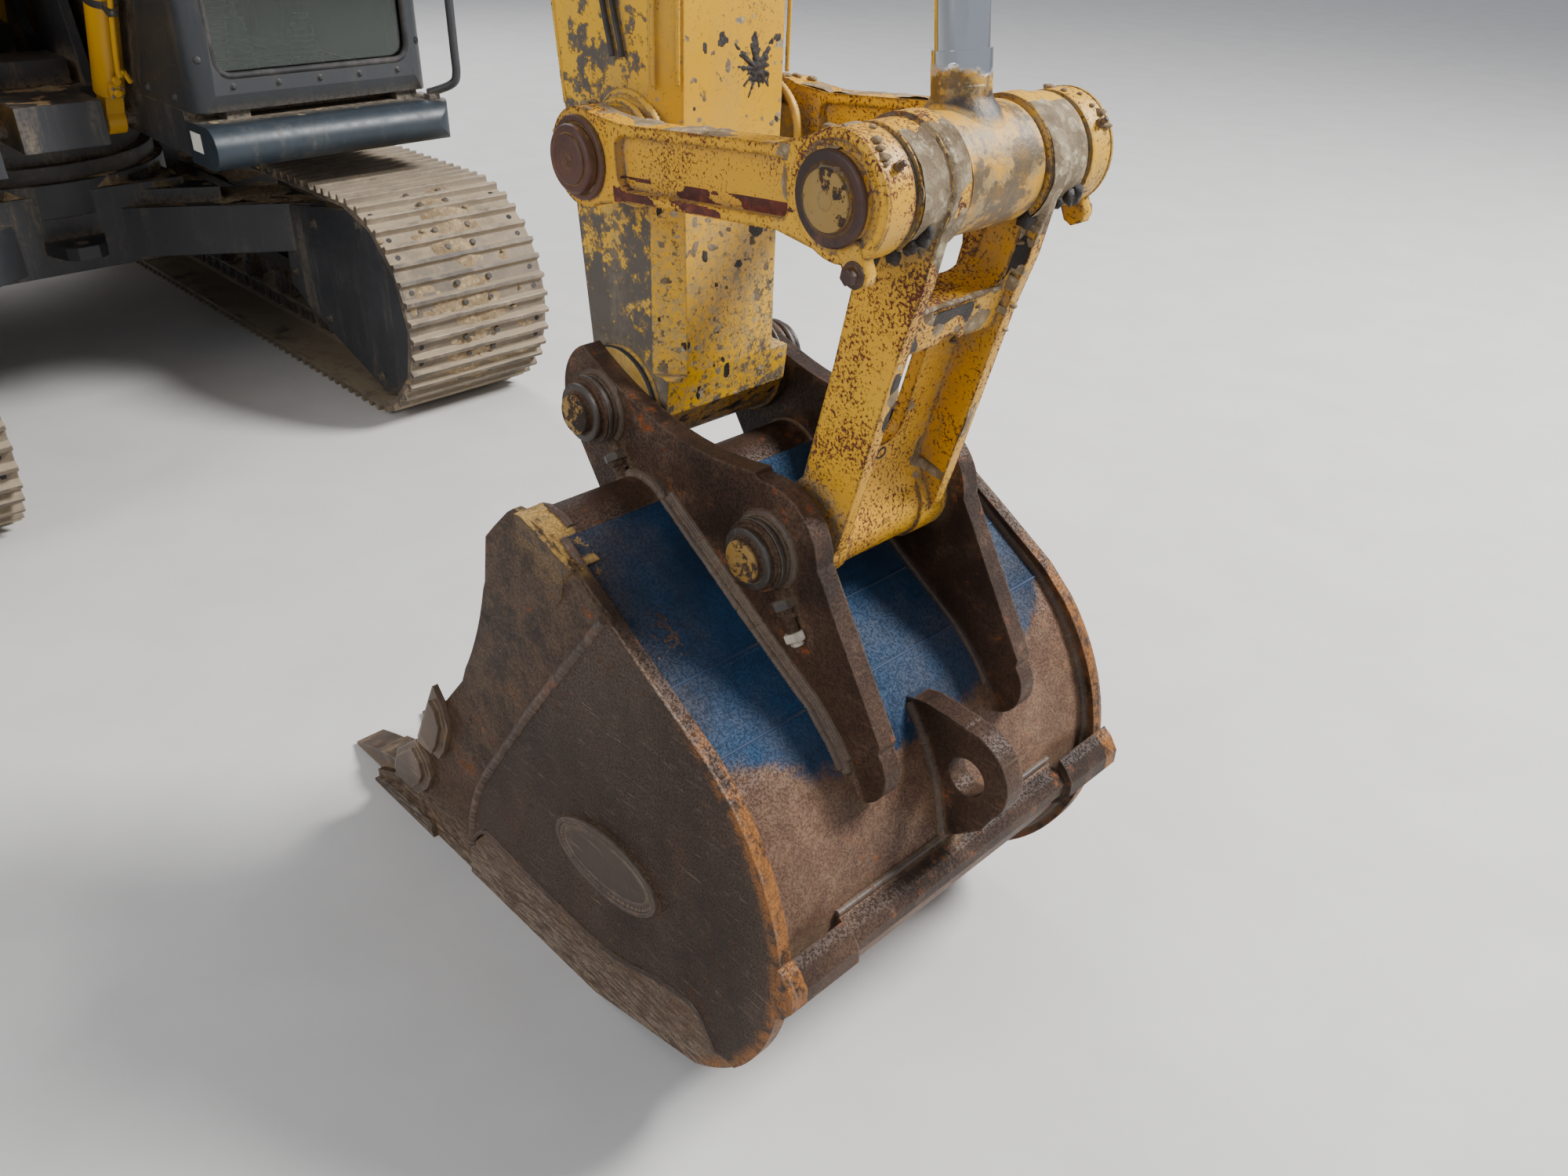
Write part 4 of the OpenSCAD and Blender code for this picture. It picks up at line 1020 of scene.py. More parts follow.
class Piece:
    """One added piece: a mesh gathered from parts in the row frame."""

    def __init__(self, name: str, tone: Tone, body: str = "upper", slot: str = "") -> None:
        """Starts an empty piece.

        Args:
            name: its name.
            tone: its finish.
            body: the CAD body that it rides on.
            slot: name of a material slot of the model, if it isn't the finish's own; it is kept on
                the piece and not used further.
        """
        self.name, self.tone, self.body = name, tone, body
        self.slot = slot or next(label for label, own in SLOTS.items() if own is tone)
        self.points: list[Vector] = []
        self.faces: list[tuple[int, ...]] = []

    def add(self, points: Iterable[Point], faces: Iterable[Sequence[int]]) -> None:
        """Adds points and the faces between them."""
        base = len(self.points)
        self.points += [Vector(p) for p in points]
        self.faces += [tuple(base + k for k in f) for f in faces]

    def rings(self, rows: Sequence[Sequence[Point]], caps: bool = True, loop: bool = False) -> None:
        """Skins rows of points that each close on themselves.

        Args:
            rows: rows of equal length.
            caps: closes the first and last row.
            loop: joins the last row to the first.
        """
        n, m = len(rows[0]), len(rows)
        faces = []
        for i in range(m if loop else m - 1):
            a, b = i * n, ((i + 1) % m) * n
            faces += [(a + k, a + (k + 1) % n, b + (k + 1) % n, b + k) for k in range(n)]
        if caps and not loop:
            faces += [tuple(range(n))[::-1], tuple((m - 1) * n + k for k in range(n))]
        self.add([p for row in rows for p in row], faces)

    def tube(self, path: Sequence[Point], radius: float | Callable[[float], float], sides: int = 10,
            loop: bool = False) -> None:
        """A round tube along a path.

        Args:
            path: the points of its centre line.
            radius: in metres, or from the share of the path.
            sides: points round it.
            loop: joins its ends.
        """
        pts = [Vector(p) for p in path]
        n = len(pts)
        ways = []
        for i in range(n):
            before = pts[i - 1] if i or loop else pts[0]
            after = pts[(i + 1) % n] if i < n - 1 or loop else pts[-1]
            ways.append((after - before).normalized())
        first, _ = basis(ways[0])
        rows = []
        for i, (p, w) in enumerate(zip(pts, ways)):
            first = (first - w * first.dot(w)).normalized()
            second = w.cross(first)
            r = radius(i / max(1, n - 1)) if callable(radius) else radius
            rows.append([p + (first * u + second * v) * r for u, v in circle(sides)])
        self.rings(rows, loop=loop)

    def lathe(self, centre: Point, axis: Point, profile: Sequence[Pair], sides: int = 32,
            turn: float = 0.0) -> None:
        """A turned shape.

        Args:
            centre: a point on the axis.
            axis: its direction.
            profile: distance along the axis and radius of each ring.
            sides: points round it.
            turn: angle of the first point.
        """
        way = Vector(axis).normalized()
        first, second = basis(way)
        rows = []
        for along, radius in profile:
            mid = Vector(centre) + way * along
            rows.append([mid + (first * u + second * v) * radius for u, v in circle(sides, turn)])
        self.rings(rows)

    def bolt(self, seat: Point, axis: Point, across: float = 0.024, washer: bool = True,
            turn: float = 0.3) -> None:
        """A hexagon bolt head on its washer.

        Args:
            seat: the point on the surface.
            axis: out of the surface.
            across: width over the flats.
            washer: puts a washer under it.
            turn: how far the head is turned.
        """
        r = across / sqrt(3)
        lift = 0.12 * across if washer else 0.0
        if washer:
            self.lathe(seat, axis, [(-0.002, r * 1.45), (lift * 0.8, r * 1.45), (lift, r * 1.38),
                    (lift, r * 0.9)], 20)
        h = 0.62 * across
        self.lathe(seat, axis, [(lift - 0.001, r), (lift + h * 0.82, r), (lift + h, r * 0.84),
                (lift + h * 0.96, r * 0.3)], 6, turn)

    def block(self, low: Point, high: Point, edge: float = 0.003,
            place: Callable[[Vector], Vector] | None = None) -> None:
        """A block with chamfered edges.

        Args:
            low: one corner.
            high: the corner across.
            edge: the chamfer.
            place: moves each point.
        """
        low, high = (Vector([how(pair) for pair in zip(low, high)]) for how in (min, max))
        half, mid = (high - low) / 2, (high + low) / 2
        e = min(edge, min(half) * 0.9)
        shape = bmesh.new()
        bmesh.ops.create_cube(shape, size=2)
        for v in shape.verts:
            v.co = Vector(v.co[k] * half[k] for k in range(3))
        bmesh.ops.bevel(shape, geom=shape.edges[:], offset=e, segments=2, profile=0.6,
            affect="EDGES")
        pts = [mid + v.co for v in shape.verts]
        self.add([place(p) for p in pts] if place else pts,
            [[v.index for v in f.verts] for f in shape.faces])
        shape.free()

    def plate(self, outline: Sequence[Pair], place: Callable[[float, float, float], Vector],
            low: float, high: float, edge: float = 0.0015) -> None:
        """A flat plate of any outline with broken edges.

        Args:
            outline: points of the outline, in its plane.
            place: from the two places in the plane and the height to the row frame.
            low: lower face.
            high: upper face.
            edge: how much its rims are broken.
        """
        n = len(outline)
        cx, cy = (sum(p[k] for p in outline) / n for k in (0, 1))
        small = []
        for x, y in outline:
            gap = hypot(x - cx, y - cy) or 1.0
            small.append((x - (x - cx) / gap * edge, y - (y - cy) / gap * edge))
        levels = ((small, low), (outline, low + edge), (outline, high - edge), (small, high))
        self.rings([[place(*p, level) for p in shape] for shape, level in levels])

    def bead(self, path: Sequence[Point], radius: float = 0.006, seed: int = 0, loop: bool = False,
            pitch: float = 0.006) -> None:
        """A weld bead with its ripples.

        Args:
            path: the corner that it fills.
            radius: half its width.
            seed: pattern of its ripples.
            loop: closes it.
            pitch: length between ripples.
        """
        fine = even(path, pitch / 2, loop)
        rnd = random.Random(seed)
        shift = [rnd.uniform(-1, 1) for _ in fine]
        def thick(share: float) -> float:
            k = min(len(fine) - 1, int(share * (len(fine) - 1) + 0.5))
            return radius * (1 + (0.09 if k % 2 else -0.07) + 0.07 * shift[k] + 0.12
                * noise.noise(fine[k] * 23))
        self.tube(fine, thick, 8, loop)

    def film(self, place: Place, across: int, along: int, depth: Callable[[Vector], float]) -> None:
        """A crust over a surface that ends raggedly where its depth falls to nothing.

        Args:
            place: point and normal for two shares from 0 to 1, or None off the surface.
            across: cells in the first direction.
            along: cells in the second direction.
            depth: thickness at a point, zero or less where bare.
        """
        grid: dict[tuple[int, int], int] = {}
        lifts: dict[tuple[int, int], float] = {}
        points: list[Vector] = []
        for i in range(across + 1):
            for j in range(along + 1):
                found = place(i / across, j / along)
                if found is None:
                    continue
                where, normal = found
                rim = min(i, across - i, j, along - j)
                lift = depth(where) if rim else -0.001
                lifts[i, j] = lift
                grid[i, j] = len(points)
                points.append(where + normal * max(lift, -0.0008))
        faces = []
        for i in range(across):
            for j in range(along):
                keys = [(i, j), (i + 1, j), (i + 1, j + 1), (i, j + 1)]
                if all(k in grid for k in keys) and max(lifts[k] for k in keys) > 0.0002:
                    quad = [points[grid[k]] for k in keys]
                    if max((quad[0] - quad[2]).length, (quad[1] - quad[3]).length) < 0.06:
                        faces.append([grid[k] for k in keys])
        used = sorted({k for f in faces for k in f})
        fresh = {k: n for n, k in enumerate(used)}
        self.add([points[k] for k in used], [[fresh[k] for k in f] for f in faces])

    def clod(self, centre: Point, size: float, seed: int, squash: Point = (1, 1, 0.6)) -> None:
        """A rough lump.

        Args:
            centre: its middle.
            size: its radius.
            seed: its shape.
            squash: scale along each axis.
        """
        shape = bmesh.new()
        bmesh.ops.create_icosphere(shape, subdivisions=2, radius=1)
        off = Vector((seed * 3.7, seed * 1.3, -seed * 2.1))
        pts = []
        for v in shape.verts:
            r = size * (1 + 0.35 * noise.noise(v.co * 1.3 + off) + 0.2
                * noise.noise(v.co * 3.1 + off))
            pts.append(Vector(centre) + Vector(v.co[k] * r * squash[k] for k in range(3)))
        self.add(pts, [[v.index for v in f.verts] for f in shape.faces])
        shape.free()

    def make(self, smooth: float = 40.0) -> bpy.types.Object:
        """Turns the gathered parts into the object and puts it on its body.

        Args:
            smooth: edges sharper than this angle stay sharp, in degrees.

        Returns:
            The object.
        """
        mesh = bpy.data.meshes.new(self.name)
        mesh.from_pydata([tuple(p) for p in self.points], [], self.faces)
        shape = bmesh.new()
        shape.from_mesh(mesh)
        bmesh.ops.recalc_face_normals(shape, faces=shape.faces)
        shape.to_mesh(mesh)
        shape.free()
        mesh.shade_smooth()
        mesh.set_sharp_from_angle(angle=radians(smooth))
        mesh.materials.append(self.tone.value.material())
        made = bpy.data.objects.new(self.name, mesh)
        bpy.context.scene.collection.objects.link(made)
        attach(made, self.body)
        log.info("%s: %d faces on %s", self.name, len(mesh.polygons), self.body)
        return made


def finish(*pieces: Piece, smooth: float = 40.0) -> None:
    """Makes pieces whose edges stay sharp past the same angle."""
    for piece in pieces:
        piece.make(smooth)


def lumps(p: Vector, scale: float, seed: float = 0.0) -> float:
    """Layered noise at a point, about -1 to 1.

    Args:
        p: the point.
        scale: features per metre.
        seed: shift of the pattern.

    Returns:
        The noise.
    """
    q = p * scale + Vector((seed, -seed, 2 * seed))
    return noise.noise(q) + 0.5 * noise.noise(q * 2.1) + 0.25 * noise.noise(q * 4.3)


def even(path: Sequence[Point], pitch: float, loop: bool = False) -> list[Vector]:
    """Points at an even pitch along a path.

    Args:
        path: its corners.
        pitch: metres between the points.
        loop: joins the last corner to the first.

    Returns:
        The points.
    """
    pts = [Vector(p) for p in path] + ([Vector(path[0])] if loop else [])
    lengths = [(b - a).length for a, b in zip(pts, pts[1:])]
    total = sum(lengths)
    count = max(2, int(total / pitch))
    out, seg, run = [], 0, 0.0
    for k in range(count + (0 if loop else 1)):
        want = total * k / count
        while seg < len(lengths) - 1 and run + lengths[seg] < want:
            run += lengths[seg]
            seg += 1
        out.append(pts[seg].lerp(pts[seg + 1], (want - run) / max(1e-9, lengths[seg])))
    return out


def curve(points: Sequence[Point], steps: int = 8) -> list[Vector]:
    """A smooth line through points.

    Args:
        points: what it passes through.
        steps: points for each stretch.

    Returns:
        The line's points.
    """
    p = [Vector(q) for q in points]
    last = len(p) - 1
    out = []
    for i in range(last):
        a, b, c, d = (p[min(last, max(0, i + k))] for k in (-1, 0, 1, 2))
        for s in range(steps):
            t = s / steps
            out.append(0.5 * ((2 * b) + (c - a) * t + (2 * a - 5 * b + 4 * c - d) * t * t
                    + (3 * b - a - 3 * c + d) * t ** 3))
    return out + [p[-1]]


def arc(centre: Side, radius: float, start: float, end: float, y: float, steps: int = 24) -> list[
        Vector]:
    """An arc in a plane of constant Y.

    Args:
        centre: its centre.
        radius: its radius.
        start: first angle in degrees.
        end: last angle in degrees.
        y: where along Y.
        steps: number of stretches.

    Returns:
        Its points.
    """
    angles = [radians(start + (end - start) * k / steps) for k in range(steps + 1)]
    return [centre.at(radius * cos(a), radius * sin(a), y) for a in angles]


class Skin:
    """The surface of some CAD nodes, for seating pieces on it."""

    def __init__(self, *nodes: str) -> None:
        """Reads the nodes' faces.

        Args:
            nodes: names of CAD nodes.
        """
        points, faces = [], []
        for name in nodes:
            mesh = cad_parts[name].data
            base = len(points)
            points += [v.co.copy() for v in mesh.vertices]
            faces += [tuple(base + k for k in p.vertices) for p in mesh.polygons]
        self.tree = BVHTree.FromPolygons(points, faces)

    def hit(self, start: Point, way: Point, reach: float = 1.0) -> Spot | None:
        """Where a ray meets the surface, and the normal there.

        Args:
            start: its start.
            way: its direction.
            reach: how far it looks.

        Returns:
            Point and normal, or None.
        """
        place, normal, _, _ = self.tree.ray_cast(Vector(start), Vector(way).normalized(), reach)
        if place is None:
            return None
        return place, (normal if normal.dot(Vector(way)) < 0 else -normal)

    def window(self, corner: Point, across: Point, along: Point, way: Point,
            reach: float = 0.4) -> Place:
        """Places for a film: rays from a flat window onto the surface.

        Args:
            corner: the window's corner.
            across: its first side.
            along: its second side.
            way: direction of the rays.
            reach: how far they look.

        Returns:
            A function of two shares that gives point and normal.
        """
        a, b, c = Vector(corner), Vector(across), Vector(along)
        return lambda s, t: self.hit(a + b * s + c * t, way, reach)

    def above(self, side: Side, start: float, end: float, v: float, y: float, wide: float,
            reach: float) -> Place:
        """A window over a plate that runs along a frame.

        Args:
            side: the frame.
            start: where it starts along the frame.
            end: where it ends.
            v: its height over the frame's axis.
            y: its first edge.
            wide: its width, to the left.
            reach: how far its rays look.

        Returns:
            Places for a film.
        """
        run = side.at(end, v) - side.at(start, v)
        return self.window(side.at(start, v, y), run, LEFT * wide, side.way(0, -1), reach)

    def beside(self, side: Side, start: float, end: float, v: float, y: float, tall: float,
            reach: float) -> Place:
        """A window at the side of a frame that looks inwards.

        Args:
            side: the frame.
            start: where it starts along the frame.
            end: where it ends.
            v: its lower edge.
            y: where it stands, left or right.
            tall: its height.
            reach: how far its rays look.

        Returns:
            Places for a film.
        """
        run, rise = side.at(end, v) - side.at(start, v), side.at(0, tall) - side.at(0, 0)
        return self.window(side.at(start, v, y), run, rise, LEFT * copysign(1, -y), reach)


@dataclass
class Studio:
    """Pale floor, soft lights and the camera."""

    spot: tuple[float, float, float] = (6.060, -1.414, 2.068)
    bearing: float = 45.017
    pitch: float = 31.625
    roll: float = 1.572
    focal_px: float = 1564.15
    image_width: int = 2000
    floor_half: float = 40.0

    def build_floor(self) -> None:
        """A wide pale floor."""
        h = self.floor_half
        mesh = bpy.data.meshes.new("floor")
        mesh.from_pydata([(-h, -h, 0), (h, -h, 0), (h, h, 0), (-h, h, 0)], [], [(0, 1, 2, 3)])
        floor = bpy.data.objects.new("floor", mesh)
        bpy.context.scene.collection.objects.link(floor)
        r = Recipe("floor_pale")
        tone = r.lay(tint("#c9c7c3"), "#cfcdc9", r.grain(3, 5, 0.6), 0.3, 0.7)
        floor.data.materials.append(r.close(tone, 0.85))

    def build_light(self) -> None:
        """Soft key from the right and behind, a weak fill and an even sky."""
        aim = Vector((3.6, 0.0, 1.2))
        for name, place, size, power in (
            ("key", (9.0, 6.5, 8.5), 3.2, 2500.0),
            ("fill", (4.5, -9.0, 5.5), 6.0, 420.0),
            ("back", (-8.0, 4.0, 8.0), 6.0, 900.0),
        ):
            lamp = bpy.data.lights.new(name, "AREA")
            lamp.shape = "DISK"
            lamp.size = size
            lamp.energy = power
            holder = bpy.data.objects.new(name, lamp)
            holder.location = place
            holder.rotation_euler = (aim - Vector(place)).to_track_quat("-Z", "Y").to_euler()
            bpy.context.scene.collection.objects.link(holder)
        world = bpy.data.worlds.new("soft_sky")
        world.use_nodes = True
        world.node_tree.nodes["Background"].inputs[0].default_value = (0.86, 0.9, 1.0, 1)
        world.node_tree.nodes["Background"].inputs[1].default_value = 0.55
        bpy.context.scene.world = world

    def build_camera(self) -> None:
        """The camera at the photograph's place and angle."""
        az, el, roll = (radians(a) for a in (self.bearing, self.pitch, self.roll))
        back = Vector((sin(az) * cos(el), -cos(az) * cos(el), sin(el)))
        right = (-back).cross(UP).normalized()
        up = right.cross(-back)
        across = right * cos(roll) + up * sin(roll)
        rise = -right * sin(roll) + up * cos(roll)
        camera = bpy.data.cameras.new("camera")
        camera.sensor_width = 36.0
        camera.lens = 36.0 * self.focal_px / self.image_width
        camera.clip_end = 200
        holder = bpy.data.objects.new("camera", camera)
        holder.matrix_world = Matrix.Translation(self.spot) @ Matrix(
            (across, rise, back)).transposed().to_4x4()
        bpy.context.scene.collection.objects.link(holder)
        bpy.context.scene.camera = holder

    def build(self) -> None:
        """Floor, lights and camera."""
        self.build_floor()
        self.build_light()
        self.build_camera()


@dataclass
class BucketDress:
    """Welds, pin ends, seals, nuts and trim of the bucket."""

    half: float = 0.457
    boss: float = 0.064
    ear_in: float = 0.165
    ear_out: float = 0.203
    side_in: float = 0.429
    rear: Side = Side(4.645, 0.479)
    rear_radius: float = 0.471
    medal: Pair = (0.288, -0.752)
    sheet_inset: float = 0.025
    tube: Side = Side(4.490, 1.000)
    tube_radius: float = 0.082
    keeper: float = radians(-58)
    folds: tuple[Pair, ...] = ((0.186, -0.112), (0.442, -0.284), (0.560, -0.358), (0.609, -0.405))
    seam: tuple[Pair, ...] = ((0.320, -0.200), (0.109, -0.470), (-0.062, -0.704), (-0.156, -0.840),
        (-0.205, -0.939), (-0.232, -1.027), (-0.245, -1.070))
    strip: tuple[Pair, ...] = ((-0.254, -1.082), (-0.165, -0.985), (0.0, -1.000), (0.258, -1.006),
        (0.428, -0.952), (0.523, -0.935), (0.556, -0.963), (0.588, -1.010))

    def sheet_line(self, y: float, lift: float = 0.0, last: float = 0.0) -> list[Vector]:
        """The back sheet's outside from the tube to an angle of its rear curve.

        Args:
            y: where along Y.
            lift: how far off the sheet.
            last: the angle in degrees where it ends.

        Returns:
            Its points.
        """
        flat = [TIP.at(u + 0.56 * lift, v + 0.83 * lift, y) for u, v in self.folds]
        return flat + arc(self.rear, self.rear_radius - self.sheet_inset + lift, 39, last, y, 18)

    def weld(self) -> None:
        """Every bead of the bucket in one piece."""
        p = Piece("bucket_welds", Tone.BEAD, "bucket", "bucket_steel")
        for side in (-1, 1):
            y = side * (self.ear_out + 0.004)
            p.bead(self.sheet_line(y, 0.001, 24)[0:11], 0.010, 3)
            p.bead([q + Vector((0.0, side * 0.010, 0.0))
                    for q in self.sheet_line(y, -0.001, 26)[0:10]], 0.008, 4)
            p.bead([q - Vector((0.0, side * 0.003, 0.0))
                    for q in self.sheet_line(y, 0.013, 28)[0:9]], 0.006, 5)
            p.bead(arc(self.tube, self.tube_radius + 0.002, 40, 196, y, 24), 0.009, 6)
            y = side * (self.ear_in + 0.0010)
            p.bead(self.sheet_line(y, 0.001, 24)[0:11], 0.0052, 3)
            p.bead(arc(self.tube, self.tube_radius + 0.001, 40, 196, y, 24), 0.0052, 6)
            p.bead(arc(self.tube, self.tube_radius + 0.001, 58, 160, side * 0.3975, 16), 0.008, 7)
            p.bead(self.sheet_line(side * (self.side_in - 0.001), 0.001, -38), 0.008, 8)
            for line, sunk, wide, seed in ((self.seam, 0.006, 0.0115, 9),
                    (self.strip, 0.003, 0.0055, 10)):
                smooth = curve([(a, b, 0) for a, b in line], 6)
                p.bead([TIP.at(q.x, q.y, side * (self.half - sunk)) for q in smooth], wide, seed)
            for pin in (TIP, LINK_Q):
                p.bead(arc(pin, self.boss, 0, 352, side * (self.ear_out + 0.003), 40), 0.007, 11,
                    loop=True)
            p.bead(arc(self.rear, self.rear_radius - self.sheet_inset + 0.001, 40, 2, side * 0.0245,
                    14), 0.008, 13)
        for v in (-0.660, -0.754):
            p.bead([TIP.at(0.7225, v, y) for y in (-0.30, 0.30)], 0.007, 15)
        p.make(60)
        folds = Piece("bucket_folds", Tone.FOLD, "bucket", "bucket_steel")
        for u, v in self.folds[1:3]:
            for a, b in ((self.ear_out + 0.01, self.side_in - 0.008),
                    (-self.ear_in + 0.01, self.ear_in - 0.01),
                    (-self.side_in + 0.008, -self.ear_out - 0.01)):
                folds.bead([TIP.at(u, v - 0.0010, a), TIP.at(u, v - 0.0010, b)], 0.0026, 14)
        folds.make(60)

    def pins(self) -> None:
        """Turned pin ends, nuts of the keeper bolts and rubber seals."""
        ends = Piece("bucket_pin_ends", Tone.PIN, "bucket", "bucket_steel")
        rings = Piece("bucket_collar_rings", Tone.COLLAR, "bucket", "bucket_steel")
        nuts = Piece("bucket_keeper_nuts", Tone.PALE, "bucket", "tooth_steel")
        seals = Piece("bucket_seals", Tone.RUBBER, "bucket", "control_plastic")
        shims = Piece("bucket_shims", Tone.BRASS, "bucket", "tooth_steel")
        for side in (-1, 1):
            for pin in (TIP, LINK_Q):
                axis = (0, side, 0)
                ends.lathe(pin.at(0, 0, side * 0.2605), axis,
                    mm(0, 36.2, 4, 36.2, 6.5, 33, 6.8, 12, 4, 9, 4, 1), 40)
                rings.lathe(pin.at(0, 0, side * 0.2500), axis,
                    mm(-4, 53, 1.5, 53, 3.2, 50.5, 3, 42.5, 0.8, 40.5, 0.5, 36.8, -4, 36.6), 44)
                rings.lathe(pin.at(0, 0, side * 0.2140), axis, mm(-3, 58.5, -2, 60, 2, 60, 3, 58.5),
                    44)
                rings.lathe(pin.at(0, 0, side * 0.2290), axis, mm(-4, 61, -3, 63.2, 3, 63.2, 4, 61),
                    44)
                way = pin.way(cos(self.keeper), sin(self.keeper))
                seat = pin.at(0, 0, side * (self.ear_out + 0.012))
                nuts.lathe(seat + way * 0.142, way,
                    mm(0, 18.5, 2, 19.5, 13, 19.5, 16, 16.5, 17, 11), 6, 0.3)
                rings.lathe(seat + way * 0.100, -way,
                    mm(0, 21, 3, 21.5, 13, 21.5, 16, 18, 16.5, 11), 6, 0.1)
                nuts.lathe(seat + way * 0.156, way, mm(0, 10.5, 9, 10.5, 10.5, 8.5), 20)
                nuts.tube([seat + way * 0.161 + LEFT * (side * y) for y in (0.014, -0.014)], 0.0018,
                    6)
            rows = []
            for x, z in circle(48):
                rad = Vector((x, 0, z))
                mid = TIP.at(0, 0, side * 0.1600) + rad * 0.0925
                wob = 0.0014 * noise.noise(mid * 40)
                rows.append([mid + rad * (0.0085 + wob) * u + LEFT * 0.0046 * v
                        for u, v in circle(8)])
            seals.rings(rows, loop=True)
            for k in range(3):
                rim = 98 - 3 * (k % 2)
                shims.lathe(TIP.at(0, 0, side * (0.1604 + 0.0015 * k)), (0, side, 0),
                    mm(0, 40, 0, rim, 1.3, rim, 1.3, 40), 40)
        finish(ends, rings, nuts, seals, shims)

    def oval(self, half: Pair, lift: float, side: int, count: int) -> list[Vector]:
        """Points of the medallion's oval, which leans a little.

        Args:
            half: its half length and half height.
            lift: how far off the side plate.
            side: 1 for the left plate, -1 for the right.
            count: number of points.

        Returns:
            The points.
        """
        u, v = self.medal
        c, s = cos(radians(5)), sin(radians(5))
        flat = [(half[0] * a, half[1] * b) for a, b in circle(count)]
        return [TIP.at(u + a * c - b * s, v + a * s + b * c, side * (self.half + lift))
            for a, b in flat]

    def badge(self) -> None:
        """Blank oval medallion on each side plate: two rims round a beaded, unmarked field."""
        p = Piece("bucket_medallions", Tone.MEDAL, "bucket", "bucket_steel")
        for side in (-1, 1):
            steps = mm(0, -1, 0, 4, -2, 6.2, -9, 6.2, -11, 4, -12, 1, -22, 1, -23.5, 3.6, -27.5,
                3.6, -29, 1.6, -80, 2.2)
            p.rings([self.oval((0.152 + g, 0.081 + g), 0.005 + h, side, 64) for g, h in steps])
            for spot in self.oval((0.138, 0.067), 0.0062, side, 56):
                p.lathe(spot, (0, side, 0), mm(0, 2.6, 1.2, 2.2, 1.8, 1), 8)
        p.make()

    def build(self) -> None:
        """Dresses the bucket."""
        self.weld()
        self.pins()
        self.badge()


